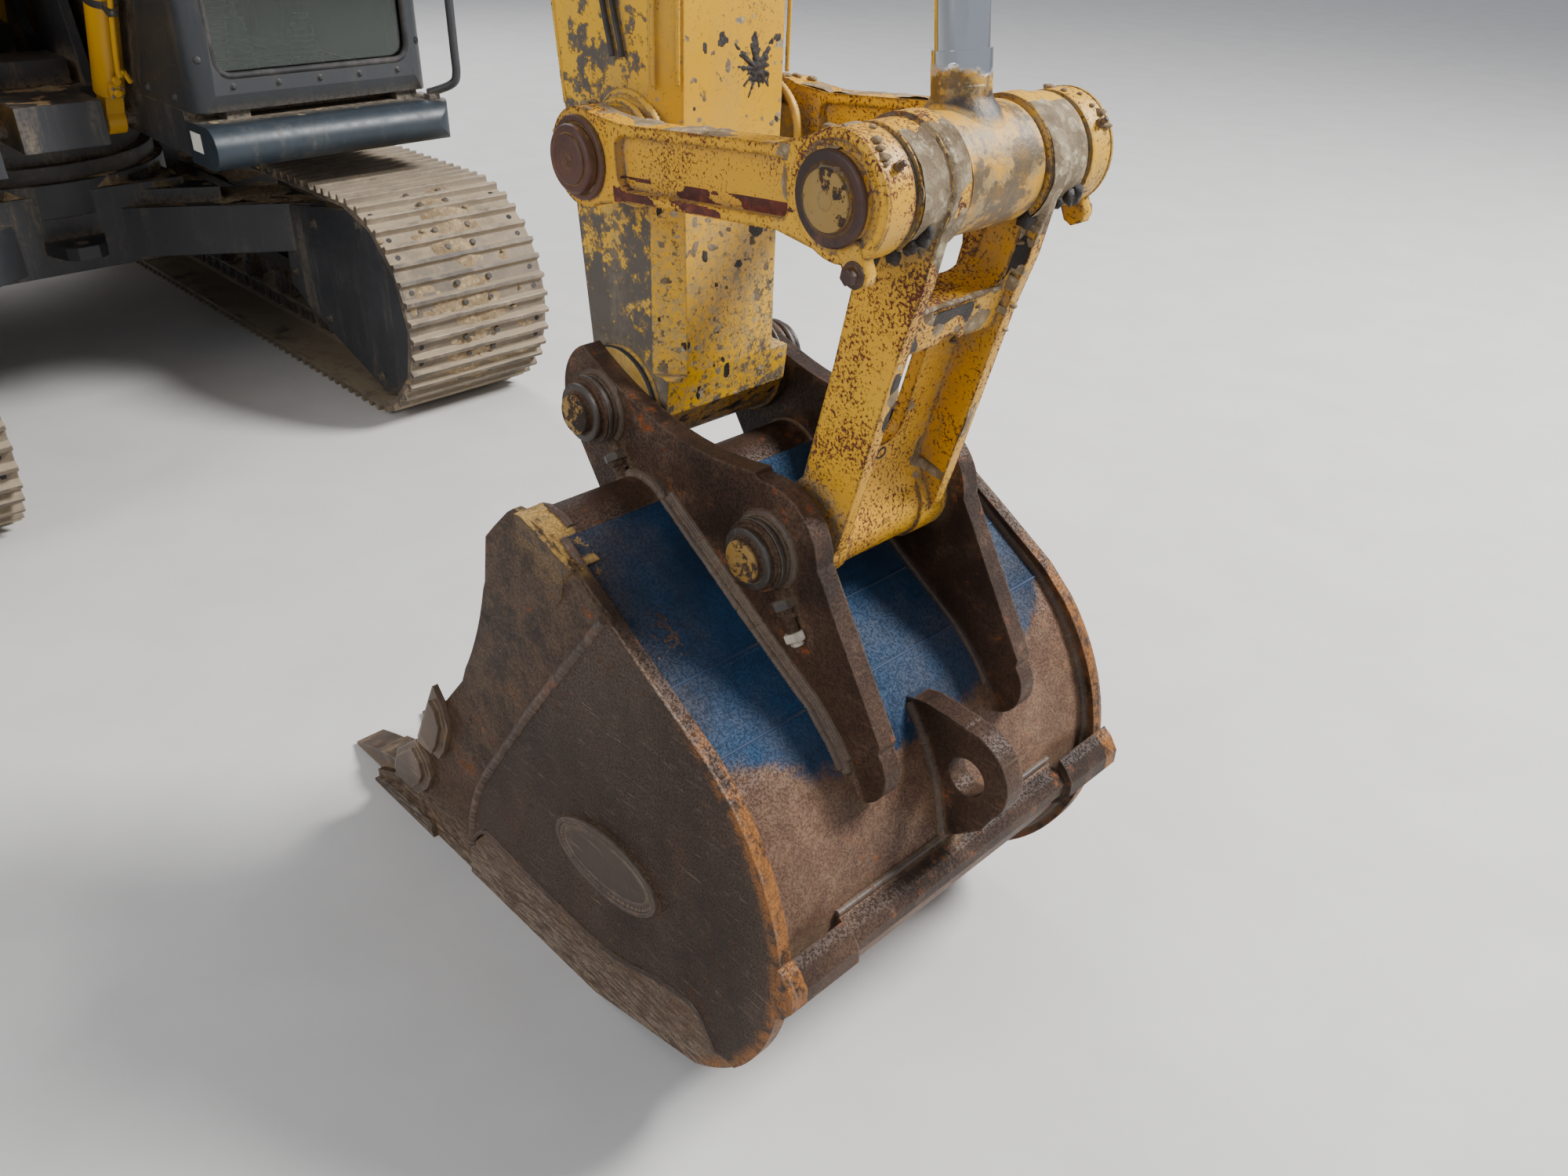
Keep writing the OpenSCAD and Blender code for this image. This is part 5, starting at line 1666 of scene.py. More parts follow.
@dataclass
class LinkageDress:
    """Pin ends, clamp lugs, seals, grease and dried soil of the idlers and the forked link."""

    idler_out: float = 0.246
    idler_in: float = 0.196
    eye: float = 0.085
    lug: float = radians(-70)

    def pins(self) -> None:
        """Turned ends of both linkage pins, with lugs and bolts that hold them."""
        low = Piece("idler_pin_caps", Tone.MAROON, "arm", "cast_yellow")
        discs = Piece("idler_pin_discs", Tone.MAROON, "arm", "cast_yellow")
        rims = Piece("idler_eye_rims", Tone.CAST, "idler_links")
        caps = Piece("idler_rod_pin_ends", Tone.MAROON, "idler_links", "cast_yellow")
        ochre = Piece("idler_rod_pin_discs", Tone.PIN, "idler_links", "cast_yellow")
        bolts = Piece("idler_lug_bolts", Tone.MAROON, "idler_links", "cast_yellow")
        for side in (-1, 1):
            way = (0, side, 0)
            low.lathe(IDLER.at(0, 0, side * 0.2675), way,
                mm(-13, 52.5, -2, 52.5, 1, 50.5, 2.2, 47, 2.2, 41, 0, 39.5), 44)
            discs.lathe(IDLER.at(0, 0, side * 0.2678), way,
                mm(0, 39.2, 3.5, 38.5, 5, 36, 5, 14, 1.8, 12, 1.8, 6, 4.2, 5, 4.2, 1), 40)
            caps.lathe(IDLER.at(0, 0, side * (self.idler_out + 0.0055)), way,
                mm(-4, 64.5, 1.5, 64, 3, 61.5, 3, 56, 0.5, 53.5), 44)
            rims.lathe(IDLER.at(IDLER_LENGTH, 0, side * self.idler_out), way,
                mm(-3, 86.2, 3, 85.5, 5.5, 82.5, 5.5, 74, 2, 70, 2, 60.5), 48)
            caps.lathe(IDLER.at(IDLER_LENGTH, 0, side * 0.2638), way,
                mm(-5, 61.8, 1, 61.8, 3.8, 59, 3.8, 48, 1.5, 45.5, 1.5, 40.5), 44)
            ochre.lathe(IDLER.at(IDLER_LENGTH, 0, side * 0.2718), way,
                mm(-2, 40.5, 0.8, 40, 2.5, 37.5, 2.5, 13, 0.6, 11, 0.6, 1), 40)
            u, v = cos(self.lug), sin(self.lug)
            ring = [(0.058, 1), (0.105, 1), (0.117, 0.5), (0.117, -0.5), (0.105, -1), (0.058, -1)]
            shape = [(u * far - v * wide * 0.020, v * far + u * wide * 0.020) for far, wide in ring]
            rims.plate(shape, lambda x, z, y, side=side: IDLER.at(IDLER_LENGTH + x, z, side * y),
                self.idler_out - 0.012, self.idler_out + 0.010)
            bolts.bolt(IDLER.at(IDLER_LENGTH + u * 0.098, v * 0.098,
                    side * (self.idler_out + 0.010)), way, 0.022)
            for at_u, eye, lean in ((0.0, self.eye * 0.9, 150), (IDLER_LENGTH, self.eye, 28)):
                u, v = cos(radians(lean)), sin(radians(lean))
                bolts.lathe(IDLER.at(at_u + eye * u, eye * v, side * 0.221), IDLER.way(u, v),
                    mm(-2, 6.5, 6, 6.5, 6.5, 4.5, 11, 4, 14, 4.8, 16, 2.5), 12)
        finish(low, discs, rims, caps, ochre, bolts)

    def seals(self) -> None:
        """Black lip seals between the link, the idlers and the bucket's ears."""
        p = Piece("link_seals", Tone.RUBBER, "power_link", "control_plastic")
        q = Piece("link_pin_seal_strips", Tone.GREASE, "power_link", "control_plastic")
        for side in (-1, 1):
            for where, y, r in ((LINK_S, 0.1895, 0.074), (LINK_Q, 0.1625, 0.070)):
                rows = []
                for x, z in circle(60):
                    rad = Vector((x, 0, z))
                    mid = where.at(0, 0, side * y) + rad * r
                    fray = 0.004 * max(0.0, noise.noise(mid * 55 + Vector((9, 0, 0))))
                    rows.append([mid + rad * ((0.007 + fray) * u) + LEFT * 0.0042 * v
                            for u, v in circle(8)])
                p.rings(rows, loop=True)
        for side, k in ((-1, 0), (1, 1)):
            for j in range(5):
                a = radians(-60 - 25 * j - 11 * k)
                mid = LINK_S.at(0, 0, side * 0.187) + Vector((cos(a), 0, sin(a))) * 0.083
                q.clod(mid, 0.011 + 0.004 * (j % 3), 7 * j + k, (1, 0.5, 1.3))
        p.make()
        q.make(180)

    def soil(self) -> None:
        """Pale crust on the link's upper bosses, grease at the rod's eye and clods under them."""
        skin = Skin("power_link")
        crust = Piece("link_dried_soil", Tone.CRUST, "power_link", "cast_yellow")
        grease = Piece("link_grease", Tone.GREASE, "power_link", "cast_yellow")
        sand = Piece("link_soil_clods", Tone.SAND, "power_link", "cast_yellow")
        for side in (-1, 1):
            def boss(s: float, t: float, side: int = side) -> Spot | None:
                a = radians(-75 + 250 * s)
                out = LINK.way(cos(a), sin(a))
                return skin.hit(LINK.at(0, 0, side * (0.088 + 0.1 * t)) + out * 0.13, -out, 0.1)
            crust.film(boss, 70, 26, lambda q: 0.0045 * (lumps(q, 14, 1.0) + 0.30))
            sand.film(boss, 60, 22, lambda q: 0.009 * (lumps(q, 17, 6.0) - 0.42))
            for k in range(16):
                rnd = random.Random(40 + k + 50 * side)
                u, _ = rnd.uniform(0.06, 0.30), rnd.uniform(0.0, 0.09)
                found = skin.hit(LINK.at(u, 0.2, side * rnd.uniform(0.02, 0.125)), LINK.way(0, -1),
                    0.3)
                if found:
                    sand.clod(found[0] + found[1] * 0.001, rnd.uniform(0.003, 0.009), k,
                        (1, 1, 0.5))
        web = skin.above(LINK, 0.04, 0.56, 0.20, -0.13, 0.26, 0.22)
        sand.film(web, 90, 50, lambda q: 0.006 * (lumps(q, 12, 3.3) - 0.38))
        crust.film(web, 90, 50, lambda q: 0.003 * (lumps(q, 19, 8.1) - 0.40))
        grease.film(web, 90, 50,
            lambda q: 0.004
            * (lumps(q, 10, 12.0) - 0.2 - 3.2
                * max(0.0, (q - LINK.at(0.20, 0.02, 0)).length - 0.08)))
        for k in range(26):
            rnd = random.Random(90 + k)
            a = radians(rnd.uniform(-125, -25))
            y = rnd.choice((-1, 1)) * rnd.uniform(0.094, 0.18)
            grease.clod(LINK_S.at(0.090 * cos(a), 0.090 * sin(a), y), rnd.uniform(0.006, 0.014), k,
                (1, 1, 1.2))
        finish(crust, grease, sand, smooth=180)

    def castings(self) -> None:
        """Cast dimples, lip and lifting pads of the forked link."""
        p = Piece("link_cast_marks", Tone.COLLAR, "power_link", "cast_yellow")
        lip = Piece("link_window_lip", Tone.CRUST, "power_link", "cast_yellow")
        for u in (0.216, LINK_LENGTH - 0.138):
            p.lathe(LINK.at(u, 0.018, 0), LINK.way(0, 1),
                mm(-4, 12.5, 0.6, 12.5, 1.8, 11.2, 1.6, 9.2, -0.4, 8, -1, 1), 24)
        lip.tube(curve([LINK.at(0.168, 0.070, y) for y in (-0.092, -0.05, 0.0, 0.05, 0.092)], 4),
            lambda t: 0.0042 * (1 + 0.25 * sin(21 * t)), 8)
        lip.make()
        p.make()

    def idler_soil(self) -> None:
        """Sandy crust in the idlers' recesses and on their upper sides."""
        skin = Skin("idler_links")
        sand = Piece("idler_soil", Tone.SAND, "idler_links", "cast_yellow")
        primer = Piece("idler_primer", Tone.PRIMER, "idler_links", "cast_yellow")
        for side in (-1, 1):
            window = skin.beside(IDLER, -0.09, IDLER_LENGTH + 0.08, -0.09, side * 0.30, 0.18, 0.12)
            sand.film(window, 110, 34,
                lambda q: 0.007
                * (lumps(q, 15, 5.0) - 0.40 + 2.0 * max(0.0, 0.02 - abs(q.z - 1.655))))
            strip = skin.beside(IDLER, 0.075, IDLER_LENGTH - 0.08, -0.060, side * 0.30, 0.040, 0.12)
            primer.film(strip, 150, 22,
                lambda q: 0.0009 * (lumps(Vector((q.x * 0.35, q.y, q.z)), 34, 9.0) + 0.22))
            ledge = skin.beside(IDLER, 0.02, IDLER_LENGTH - 0.02, 0.058, side * 0.30, 0.012, 0.12)
            primer.film(ledge, 170, 8,
                lambda q: 0.0008 * (lumps(Vector((q.x * 0.5, q.y, q.z)), 40, 12.0) - 0.12))
            top = skin.above(IDLER, 0, IDLER_LENGTH, 0.13, side * self.idler_in, side * 0.05, 0.12)
            sand.film(top, 100, 12, lambda q: 0.007 * (lumps(q, 13, 2.0) - 0.05))
            for k in range(18):
                rnd = random.Random(7 * k + side)
                a = radians(rnd.uniform(20, 160))
                at_u, r = (0.0, 0.077) if k % 2 else (IDLER_LENGTH, 0.086)
                sand.clod(IDLER.at(at_u + r * cos(a), r * sin(a), side * rnd.uniform(0.2, 0.242)),
                    rnd.uniform(0.004, 0.010), k)
        finish(sand, primer, smooth=180)

    def build(self) -> None:
        """Dresses the linkage."""
        self.pins()
        self.seals()
        self.castings()
        self.soil()
        self.idler_soil()


@dataclass
class ArmDress:
    """Weld seams, boss rings, grease lines, tip wear and dirt of the arm."""

    half: float = 0.145
    tip_half: float = 0.160

    def front(self, u: float, y: float) -> Vector:
        """Point on the arm's front plate."""
        return ARM.at(u, 0.300 - (u - 0.900) * 0.10089, y)

    def weld(self) -> None:
        """Beads round the bosses, the cylinder's ears and the end of the box."""
        p = Piece("arm_welds", Tone.ARM, "arm", "yellow_paint")
        base, top = (ARM.spot(u, v, ARM.angle) for u, v in ((0, 0), (-0.62, 0.06)))
        tip, idler = (Side(pin.x, pin.z, ARM.angle) for pin in (TIP, IDLER))
        for side in (-1, 1):
            for where, r in ((tip, 0.094), (idler, 0.086), (base, 0.172), (top, 0.087)):
                p.bead(arc(where, r, 0, 354, side * (self.half + 0.002), 48), 0.0065, 21, loop=True)
            p.bead(arc(idler, 0.074, 0, 354, side * (self.tip_half + 0.002), 40), 0.006, 22,
                loop=True)
            for y in EAR_WELDS:
                p.bead([ARM.at(u, v, side * y)
                        for u, v in ((-0.02, 0.333), (0.10, 0.341), (0.25, 0.347))], 0.0075, 23)
            y = side * (self.half - 0.001)
            p.bead([ARM.at(-0.44, v, y) for v in (-0.03, 0.195)], 0.006, 24)
            p.bead([self.front(u, side * (self.half - 0.027)) for u in (0.92, 1.3, 1.8, 2.2)],
                0.0035, 25)
            p.bead([ARM.at(0.92, 0.270, side * self.half), ARM.at(2.2, 0.141, side * self.half)],
                0.0035, 26)
            p.bead([ARM.at(u, v, y) for u, v in ((0.0, -0.160), (0.70, -0.171), (2.24, -0.098))],
                0.004, 27)
        p.make(60)

    def shims(self) -> None:
        """Thrust rings, brass shims and grease at the tip."""
        rings = Piece("arm_tip_rings", Tone.NUT, "arm", "tooth_steel")
        brass = Piece("arm_tip_brass", Tone.BRASS, "arm", "tooth_steel")
        grease = Piece("arm_tip_grease", Tone.GREASE, "arm", "cast_yellow")
        for side in (-1, 1):
            rings.lathe(TIP.at(0, 0, side * self.tip_half), (0, side, 0),
                mm(-6, 93.5, -0.5, 93.5, 0.8, 91.5, 0.8, 80), 48)
            for k in range(2):
                rim = 87.5 - 2 * k
                brass.lathe(TIP.at(0, 0, side * (self.tip_half + 0.0012 + 0.0012 * k)),
                    (0, side, 0), mm(0, 40, 0, rim, 1, rim, 1, 40), 44)
            for k in range(22):
                rnd = random.Random(k * 3 + side)
                a = radians(rnd.uniform(160, 330))
                grease.clod(TIP.at(0.093 * cos(a), 0.093 * sin(a),
                        side * rnd.uniform(0.148, 0.161)), rnd.uniform(0.003, 0.008), k,
                    (1, 0.5, 1))
        finish(rings, brass)
        grease.make(180)

    def splats(self) -> None:
        """Torn grease on the front plate, smears below the idlers and soil at the tip."""
        skin = Skin("arm")
        grease = Piece("arm_grease_marks", Tone.GREASE, "arm", "yellow_paint")
        star = ARM.at(2.190, 0.170, 0.050)
        def torn(q: Vector) -> float:
            d = q - star
            a = atan2(d.y, (d.x * ARM.way(1, 0).x + d.z * ARM.way(1, 0).z))
            long, short = (max(0.0, noise.noise(Vector((cos(a) * f, sin(a) * f, seed))))
                for f, seed in ((2.6, 4.0), (9, 7.0)))
            reach = 0.021 + 0.060 * long + 0.016 * short
            return 0.003 * (1 - d.length / reach) + 0.0012 * noise.noise(q * 140)
        wide = skin.above(ARM, 2.09, 2.29, 0.40, -0.05, 0.175, 0.35)
        grease.film(wide, 110, 110, torn)
        for side in (-1, 1):
            low = skin.beside(ARM, 2.10, 2.82, -0.12, side * 0.30, 0.28, 0.2)
            grease.film(low, 120, 50,
                lambda q: 0.0030 * (lumps(q, 8, 14.0 + side) - 0.52 - 2.0 * max(0.0, q.z - 1.55)))
        face = skin.above(ARM, 2.10, 2.80, 0.40, -0.14, 0.28, 0.5)
        grease.film(face, 240, 100,
            lambda q: 0.0016 * (lumps(q, 26, 21.0) - 0.62 + 2.5 * max(0.0, 1.26 - q.z)))
        pale = Piece("arm_tip_crust", Tone.CRUST, "arm", "yellow_paint")
        pale.film(face, 240, 100, lambda q: 0.0013 * (lumps(q, 42, 27.0) - 0.42))
        sand = Piece("arm_soil", Tone.SAND, "arm", "yellow_paint")
        sand.film(face, 110, 50, lambda q: 0.006 * (lumps(q, 19, 33.0) - 0.72))
        finish(grease, pale, sand, smooth=180)

    def lines(self) -> None:
        """Grease lines down the sides and their bolted clamps."""
        p = Piece("arm_grease_lines", Tone.HOSE, "arm", "dark_paint")
        c = Piece("arm_line_clamps", Tone.DARK, "arm")
        for side in (-1, 1):
            for v in (0.05, 0.075):
                route = ((0.30, 0, 0.156), (1.0, -0.01, 0.1535), (1.9, -0.02, 0.1535),
                    (2.16, 0.005, 0.1535))
                p.tube(curve([ARM.at(u, v + rise, side * y) for u, rise, y in route], 10), 0.0048,
                    8)
            for u in (0.34, 0.78, 1.22, 1.66, 2.05):
                v = 0.0625 - 0.01 * (u - 0.3)
                shape = [(a * 0.012, v + b * 0.026)
                    for a, b in ((-1, -1), (1, -1), (1, 1), (-1, 1))]
                c.plate(shape, lambda a, b, y: ARM.at(u + a, b, side * y), 0.1445, 0.1600, 0.002)
                c.bolt(ARM.at(u, v, side * 0.1600), (0, side, 0), 0.010)
        finish(p, c)

    def build(self) -> None:
        """Dresses the arm."""
        self.weld()
        self.shims()
        self.splats()
        self.lines()


@dataclass
class CylinderDress:
    """Gland, ports, hard line, bands, eye rings and nipples of one cylinder."""

    name: str
    barrel_body: str
    rod_body: str
    foot: Side
    eye: Side
    length: float
    radius: float
    rod: float
    foot_eye: float
    rod_eye: float
    foot_half: float
    y: float = 0.0
    up: int = 1

    def frame(self) -> Side:
        """The frame at the foot that looks along the rod."""
        return towards(self.foot, self.eye)

    def build(self) -> None:
        """Dresses the cylinder."""
        f = self.frame()
        way = f.way(1, 0)
        side = self.up
        steel = Piece(f"{self.name}_fittings", Tone.YELLOW, self.barrel_body)
        dark = Piece(f"{self.name}_gland", Tone.DARK, self.barrel_body)
        bolts = Piece(f"{self.name}_bolts", Tone.NUT, self.barrel_body, "tooth_steel")
        gland = f.at(self.length, 0, self.y)
        r = self.radius
        steel.lathe(gland, way, [(-0.030, r + 0.009), (-0.026, r + 0.017), (-0.002, r + 0.017),
                (0.0015, r + 0.014), (0.0015, r - 0.004)], 44)
        dark.lathe(gland, way, [(-0.004, self.rod + 0.020), (0.012, self.rod + 0.018),
                (0.018, self.rod + 0.013), (0.018, self.rod + 0.0035), (0.010, self.rod + 0.0015)],
            40)
        first, second = basis(way)
        for u, v in circle(8, pi / 8):
            at_bolt = gland + (first * u + second * v) * (r + 0.004)
            bolts.lathe(at_bolt, way, mm(0, 8.5, 10, 8.5, 11.5, 7, 11.5, 4.2, 4, 4), 14)
        pad = r + 0.020
        start, end = self.foot_eye + 0.095, self.length - 0.060
        for u in (start, end):
            steel.block((u - 0.028, self.y - 0.026, side * (r - 0.01)),
                (u + 0.028, self.y + 0.026, side * pad), 0.004, lambda q: f.at(q.x, q.z, q.y))
            for du in (-0.017, 0.017):
                for dy in (-0.016, 0.016):
                    bolts.bolt(f.at(u + du, side * pad, self.y + dy), f.way(0, side), 0.011, False)
        level = side * (pad + 0.018)
        route = ((end, side * pad, 0), (end - 0.004, level * 0.98, 0), (end - 0.035, level, 0),
            (start + 0.16, level, 0.001), (start + 0.10, level, 0.02), (start + 0.05, level, 0.045))
        steel.tube(curve([f.at(u, v, self.y + dy) for u, v, dy in route], 8), 0.0105, 12)
        for du in (0.0, 0.05):
            steel.lathe(f.at(start + du, side * (pad - 0.002), self.y), f.way(0, side),
                mm(0, 17, 14, 17, 17, 13), 6)
        for share in (0.3, 0.68):
            u = start + (end - start) * share
            rows = [[f.at(u + du, 0, self.y) + (f.way(0, 1) * a + LEFT * b) * (r + dr)
                    for a, b in circle(40)] for du, dr in mm(-14, 0, -14, 2.5, 14, 2.5, 14, 0)]
            dark.rings(rows, caps=False)
            dark.block((u - 0.014, self.y - 0.018, side * (r + 0.001)),
                (u + 0.014, self.y + 0.018, level + side * 0.014), 0.002,
                lambda q: f.at(q.x, q.z, q.y))
            bolts.bolt(f.at(u, level + side * 0.014, self.y), f.way(0, side), 0.012)
        for s in (-1, 1):
            out = self.y + s * self.foot_half
            cap = mm(-3, -6, 1.2, -8, 1.2, -22, -1, -24)
            steel.lathe(f.at(0, 0, out), (0, s, 0),
                [(along, self.foot_eye + less) for along, less in cap], 36)
        steel.lathe(f.at(-self.foot_eye + 0.002, 0, self.y), f.way(-1, 0),
            mm(-3, 7, 6, 6.5, 8, 4, 13, 4, 15, 2), 12)
        finish(steel, dark, bolts)
        eye = Piece(f"{self.name}_rod_neck", Tone.ROD, self.rod_body, "chrome_rod")
        span = hypot(self.eye.x - self.foot.x, self.eye.z - self.foot.z)
        neck = self.rod_eye
        rows = []
        slope = [(neck + past, wide)
            for past, wide in mm(-2, 12, 8, 6, 15, 3.4, 24, 2.4, 27, 1.6, 28, -1)]
        for back, wide in ((neck * 0.55, 0.030), (neck * 0.80, 0.023), *slope):
            ring = []
            for u, v in circle(44):
                out = first * u + second * v
                spot = f.at(span - back, 0, self.y) + out * (self.rod + wide)
                ring.append(spot + out * 0.0035 * noise.noise(spot * 45))
            rows.append(ring)
        eye.rings(rows, caps=False)
        eye.make(60)


@dataclass
class TrackDress:
    """Shoe bolts, link plates, soil, rollers, sprocket, guards and bolts of one track."""

    side: int
    centre: float = 0.995
    half: float = 0.305
    base: float = 1.520
    height: float = 0.430
    loop_radius: float = 0.345
    plate: float = 0.406
    shoes: int = 46

    @property
    def length(self) -> float:
        """Length of the loop."""
        return 4 * self.base + 2 * pi * self.loop_radius

    @property
    def pitch(self) -> float:
        """Length of the loop that one shoe takes."""
        return self.length / self.shoes

    @property
    def top(self) -> float:
        """Height of a shoe's plate over the chain's line."""
        return self.plate - self.loop_radius

    @property
    def tag(self) -> str:
        """The track's side, in a word."""
        return "left" if self.side > 0 else "right"

    def spot(self, t: float, n: float, y: float) -> Spot:
        """A place on the loop.

        Args:
            t: metres along, from the top's rear end.
            n: metres out from the chain's line.
            y: metres from the track's middle, outwards.

        Returns:
            The point and the direction out.
        """
        run, turn = 2 * self.base, pi * self.loop_radius
        t = t % self.length
        r = self.loop_radius + n
        if t < run:
            p, out = Vector((t - self.base, 0, self.height + r)), UP
        elif t < run + turn:
            a = pi / 2 - (t - run) / self.loop_radius
            out = Vector((cos(a), 0, sin(a)))
            p = Vector((self.base, 0, self.height)) + out * r
        elif t < 2 * run + turn:
            p, out = Vector((self.base - (t - run - turn), 0, self.height - r)), Vector((0, 0, -1))
        else:
            a = -pi / 2 - (t - 2 * run - turn) / self.loop_radius
            out = Vector((cos(a), 0, sin(a)))
            p = Vector((-self.base, 0, self.height)) + out * r
        p.y = self.side * (self.centre + y)
        return p, out

    def plates(self) -> None:
        """Bolts of the shoes, black discs painted as the shade inside a hole at each shoe end, and
        the chain's link plates and pins.
        """
        bolts = Piece(f"track_bolts_{self.tag}", Tone.RUNNING, "undercarriage", "track_steel")
        hole_shade = Piece(f"track_holes_{self.tag}", Tone.RUBBER, "undercarriage", "track_steel")
        chain = Piece(f"track_chain_{self.tag}", Tone.RUNNING, "undercarriage", "track_steel")
        pitch, top = self.pitch, self.top
        for i in range(self.shoes):
            for share, y in ((0.30, 0.070), (0.30, -0.070), (0.655, 0.055), (0.655, -0.055)):
                p, out = self.spot((i + share) * pitch, top, y)
                bolts.bolt(p, out, 0.022, False, 0.4 * i)
            # Painted shade: flat black discs stand for the dark inside of a hole through each shoe
            # end; the shoe itself is not cut.
            for share, y in ((0.30, 0.262), (0.30, -0.262), (0.655, 0.262), (0.655, -0.262)):
                p, out = self.spot((i + share) * pitch, top, y)
                hole_shade.lathe(p, out, mm(-1, 10.5, 0.8, 10.5, 0.8, 1), 14)
            for y in (-0.094, 0.094):
                s = 1 if y > 0 else -1
                for share in (0.18, 0.68):
                    p, out = self.spot((i + share) * pitch, -0.004, y)
                    chain.lathe(p, (0, s * self.side, 0),
                        mm(-4, 26, 8, 26, 10, 23, 10, 14, 6, 12, 6, 1), 16)
                rows = []
                for u, v in circle(12):
                    share = 0.43 + 0.36 * u * (1 - 0.25 * abs(v))
                    n = -0.004 + 0.030 * v * (0.75 + 0.25 * abs(u))
                    rows.append(((i + share) * pitch, n))
                chain.rings([[self.spot(t, n, y + s * off)[0] for t, n in rows]
                        for off in (-0.003, 0.007)])
        finish(bolts, hole_shade, chain)

    def soil(self) -> None:
        """Packed soil between the grousers and crumbs on the shoes."""
        packed = Piece(f"track_soil_{self.tag}", Tone.SAND, "undercarriage", "track_steel")
        steps, last = 14, int(self.shoes * 0.64)
        def place(s: float, t: float) -> Spot | None:
            return self.spot(last * s * self.pitch, self.top, (2 * t - 1) * (self.half - 0.004))
        def depth(q: Vector) -> float:
            mid = 1 - abs(abs(q.y) - self.centre) / self.half
            rough = lumps(q, 7.0, 3.0 + self.side) + 0.3 * noise.noise(q * 60)
            return min(0.021, 0.024 * (rough - 0.95 + 1.25 * mid))
        packed.film(place, last * steps, 40, depth)
        frame_skin = Skin(f"track_frame_{self.tag}", "car_body")
        inner = frame_skin.window((-1.35, self.side * 0.45, 1.0), (2.7, 0, 0),
            (0, self.side * 0.66, 0), (0, 0, -1), 0.7)
        packed.film(inner, 150, 44, lambda q: 0.020 * (lumps(q, 6, 7.0) + 0.10))
        for k in range(150):
            rnd = random.Random(k * 13 + self.side)
            p, out = self.spot(rnd.uniform(0, last) * self.pitch, self.top, rnd.gauss(0, 0.13))
            packed.clod(p + out * 0.004, rnd.uniform(0.006, 0.017), k)
        packed.make(180)

    def running(self) -> None:
        """Roller caps, sprocket teeth, idler faces, covers, guards and frame bolts."""
        wheel = Piece(f"running_gear_{self.tag}", Tone.RUNNING, "undercarriage", "track_steel")
        bolts = Piece(f"frame_bolts_{self.tag}", Tone.RUNNING, "undercarriage", "dark_paint")
        guard = Piece(f"frame_guards_{self.tag}", Tone.DARK, "undercarriage")
        for x in (0.35 * k for k in range(-3, 4)):
            for s in (-1, 1):
                y = self.side * self.centre + s * 0.119
                wheel.lathe((x, y, 0.203), (0, s, 0),
                    mm(-22, 56, 2, 56, 6, 50, 6, 28, 11, 24, 12, 1), 28)
                wheel.block((x - 0.052, y, 0.200), (x + 0.052, y - s * 0.016, 0.292), 0.004)
                for dx in (-0.036, 0.036):
                    bolts.bolt((x + dx, y, 0.268), (0, s, 0), 0.020)
        sprocket = Vector((-self.base, self.side * self.centre, self.height))
        teeth = [(0.301 if k % 4 in (1, 2) else 0.270) * Vector(way)
            for k, way in enumerate(circle(21 * 4))]
        wheel.rings([[sprocket + Vector((t.x, y, t.y)) for t in teeth] for y in (-0.024, 0.024)])
        for s in (-1, 1):
            for u, v in circle(18):
                bolts.bolt(sprocket + Vector((0.165 * u, s * 0.092, 0.165 * v)), (0, s, 0), 0.020)
            wheel.lathe(sprocket + Vector((0, s * 0.032, 0)), (0, s, 0),
                mm(-2, 262, 4, 262, 7, 256, 7, 225, 2, 218), 56)
        cover = sprocket + Vector((0, self.side * 0.190, 0))
        wheel.lathe(cover, (0, self.side, 0),
            mm(-6, 168, 4, 168, 8, 160, 8, 95, 20, 80, 22, 45, 22, 1), 48)
        for u, v in circle(12):
            bolts.bolt(cover + Vector((0.128 * u, self.side * 0.008, 0.128 * v)), (0, self.side, 0),
                0.022)
        for a in (0.6, 2.7):
            bolts.bolt(cover + Vector((0.045 * cos(a), self.side * 0.022, 0.045 * sin(a))),
                (0, self.side, 0), 0.026, False)
        idler = Vector((self.base, self.side * self.centre, self.height))
        for s in (-1, 1):
            wheel.lathe(idler + Vector((0, s * 0.080, 0)), (0, s, 0),
                mm(-3, 252, 6, 250, 10, 240, 10, 200, -18, 185, -22, 110, 6, 95, 12, 85, 12, 1), 56)
            for u, v in circle(6):
                bolts.bolt(idler + Vector((0.062 * u, s * 0.092, 0.062 * v)), (0, s, 0), 0.016)
        out = self.side * (self.centre + 0.120)
        for x0, x1 in ((-0.62, -0.30), (0.30, 0.62)):
            guard.block((x0, out, 0.140), (x1, out + self.side * 0.012, 0.300), 0.004)
            for x in (x0 + 0.04, x1 - 0.04):
                bolts.bolt((x, out + self.side * 0.012, 0.272), (0, self.side, 0), 0.024)
        cover = mm(-100, 380, 100, 380, 130, 410, 130, 500, 100, 530, -100, 530, -130, 500, -130,
            410)
        guard.plate(cover, lambda u, v, y: Vector((0.95 + u * 0.9, out + self.side * y, v)), 0,
            0.010)
        for u, v in ((0.855, 0.405), (1.045, 0.405), (0.855, 0.505), (1.045, 0.505)):
            bolts.bolt((u, out + self.side * 0.010, v), (0, self.side, 0), 0.018)
        for x in (-0.5, 0.5):
            for s in (-1, 1):
                wheel.lathe((x, self.side * self.centre + s * 0.080, 0.673), (0, s, 0),
                    mm(-2, 56, 4, 54, 6, 40, 12, 34, 12, 1), 28)
        for s in (-1, 1):
            y = self.side * self.centre + s * 0.118
            guard.bead([Vector((-1.05, y, 0.590)), Vector((1.05, y, 0.590))], 0.006, 41,
                pitch=0.012)
        flat = self.side * (self.centre - 0.245)
        round_end = [(self.base + 0.365 * sin(a), self.height + 0.365 * cos(a))
            for a in (pi * k / 20 for k in range(21))]
        skirt = round_end[::-1] + [(0.92, 0.700), (0.80, 0.660), (0.80, 0.330), (0.92, 0.270),
            (1.20, 0.170)]
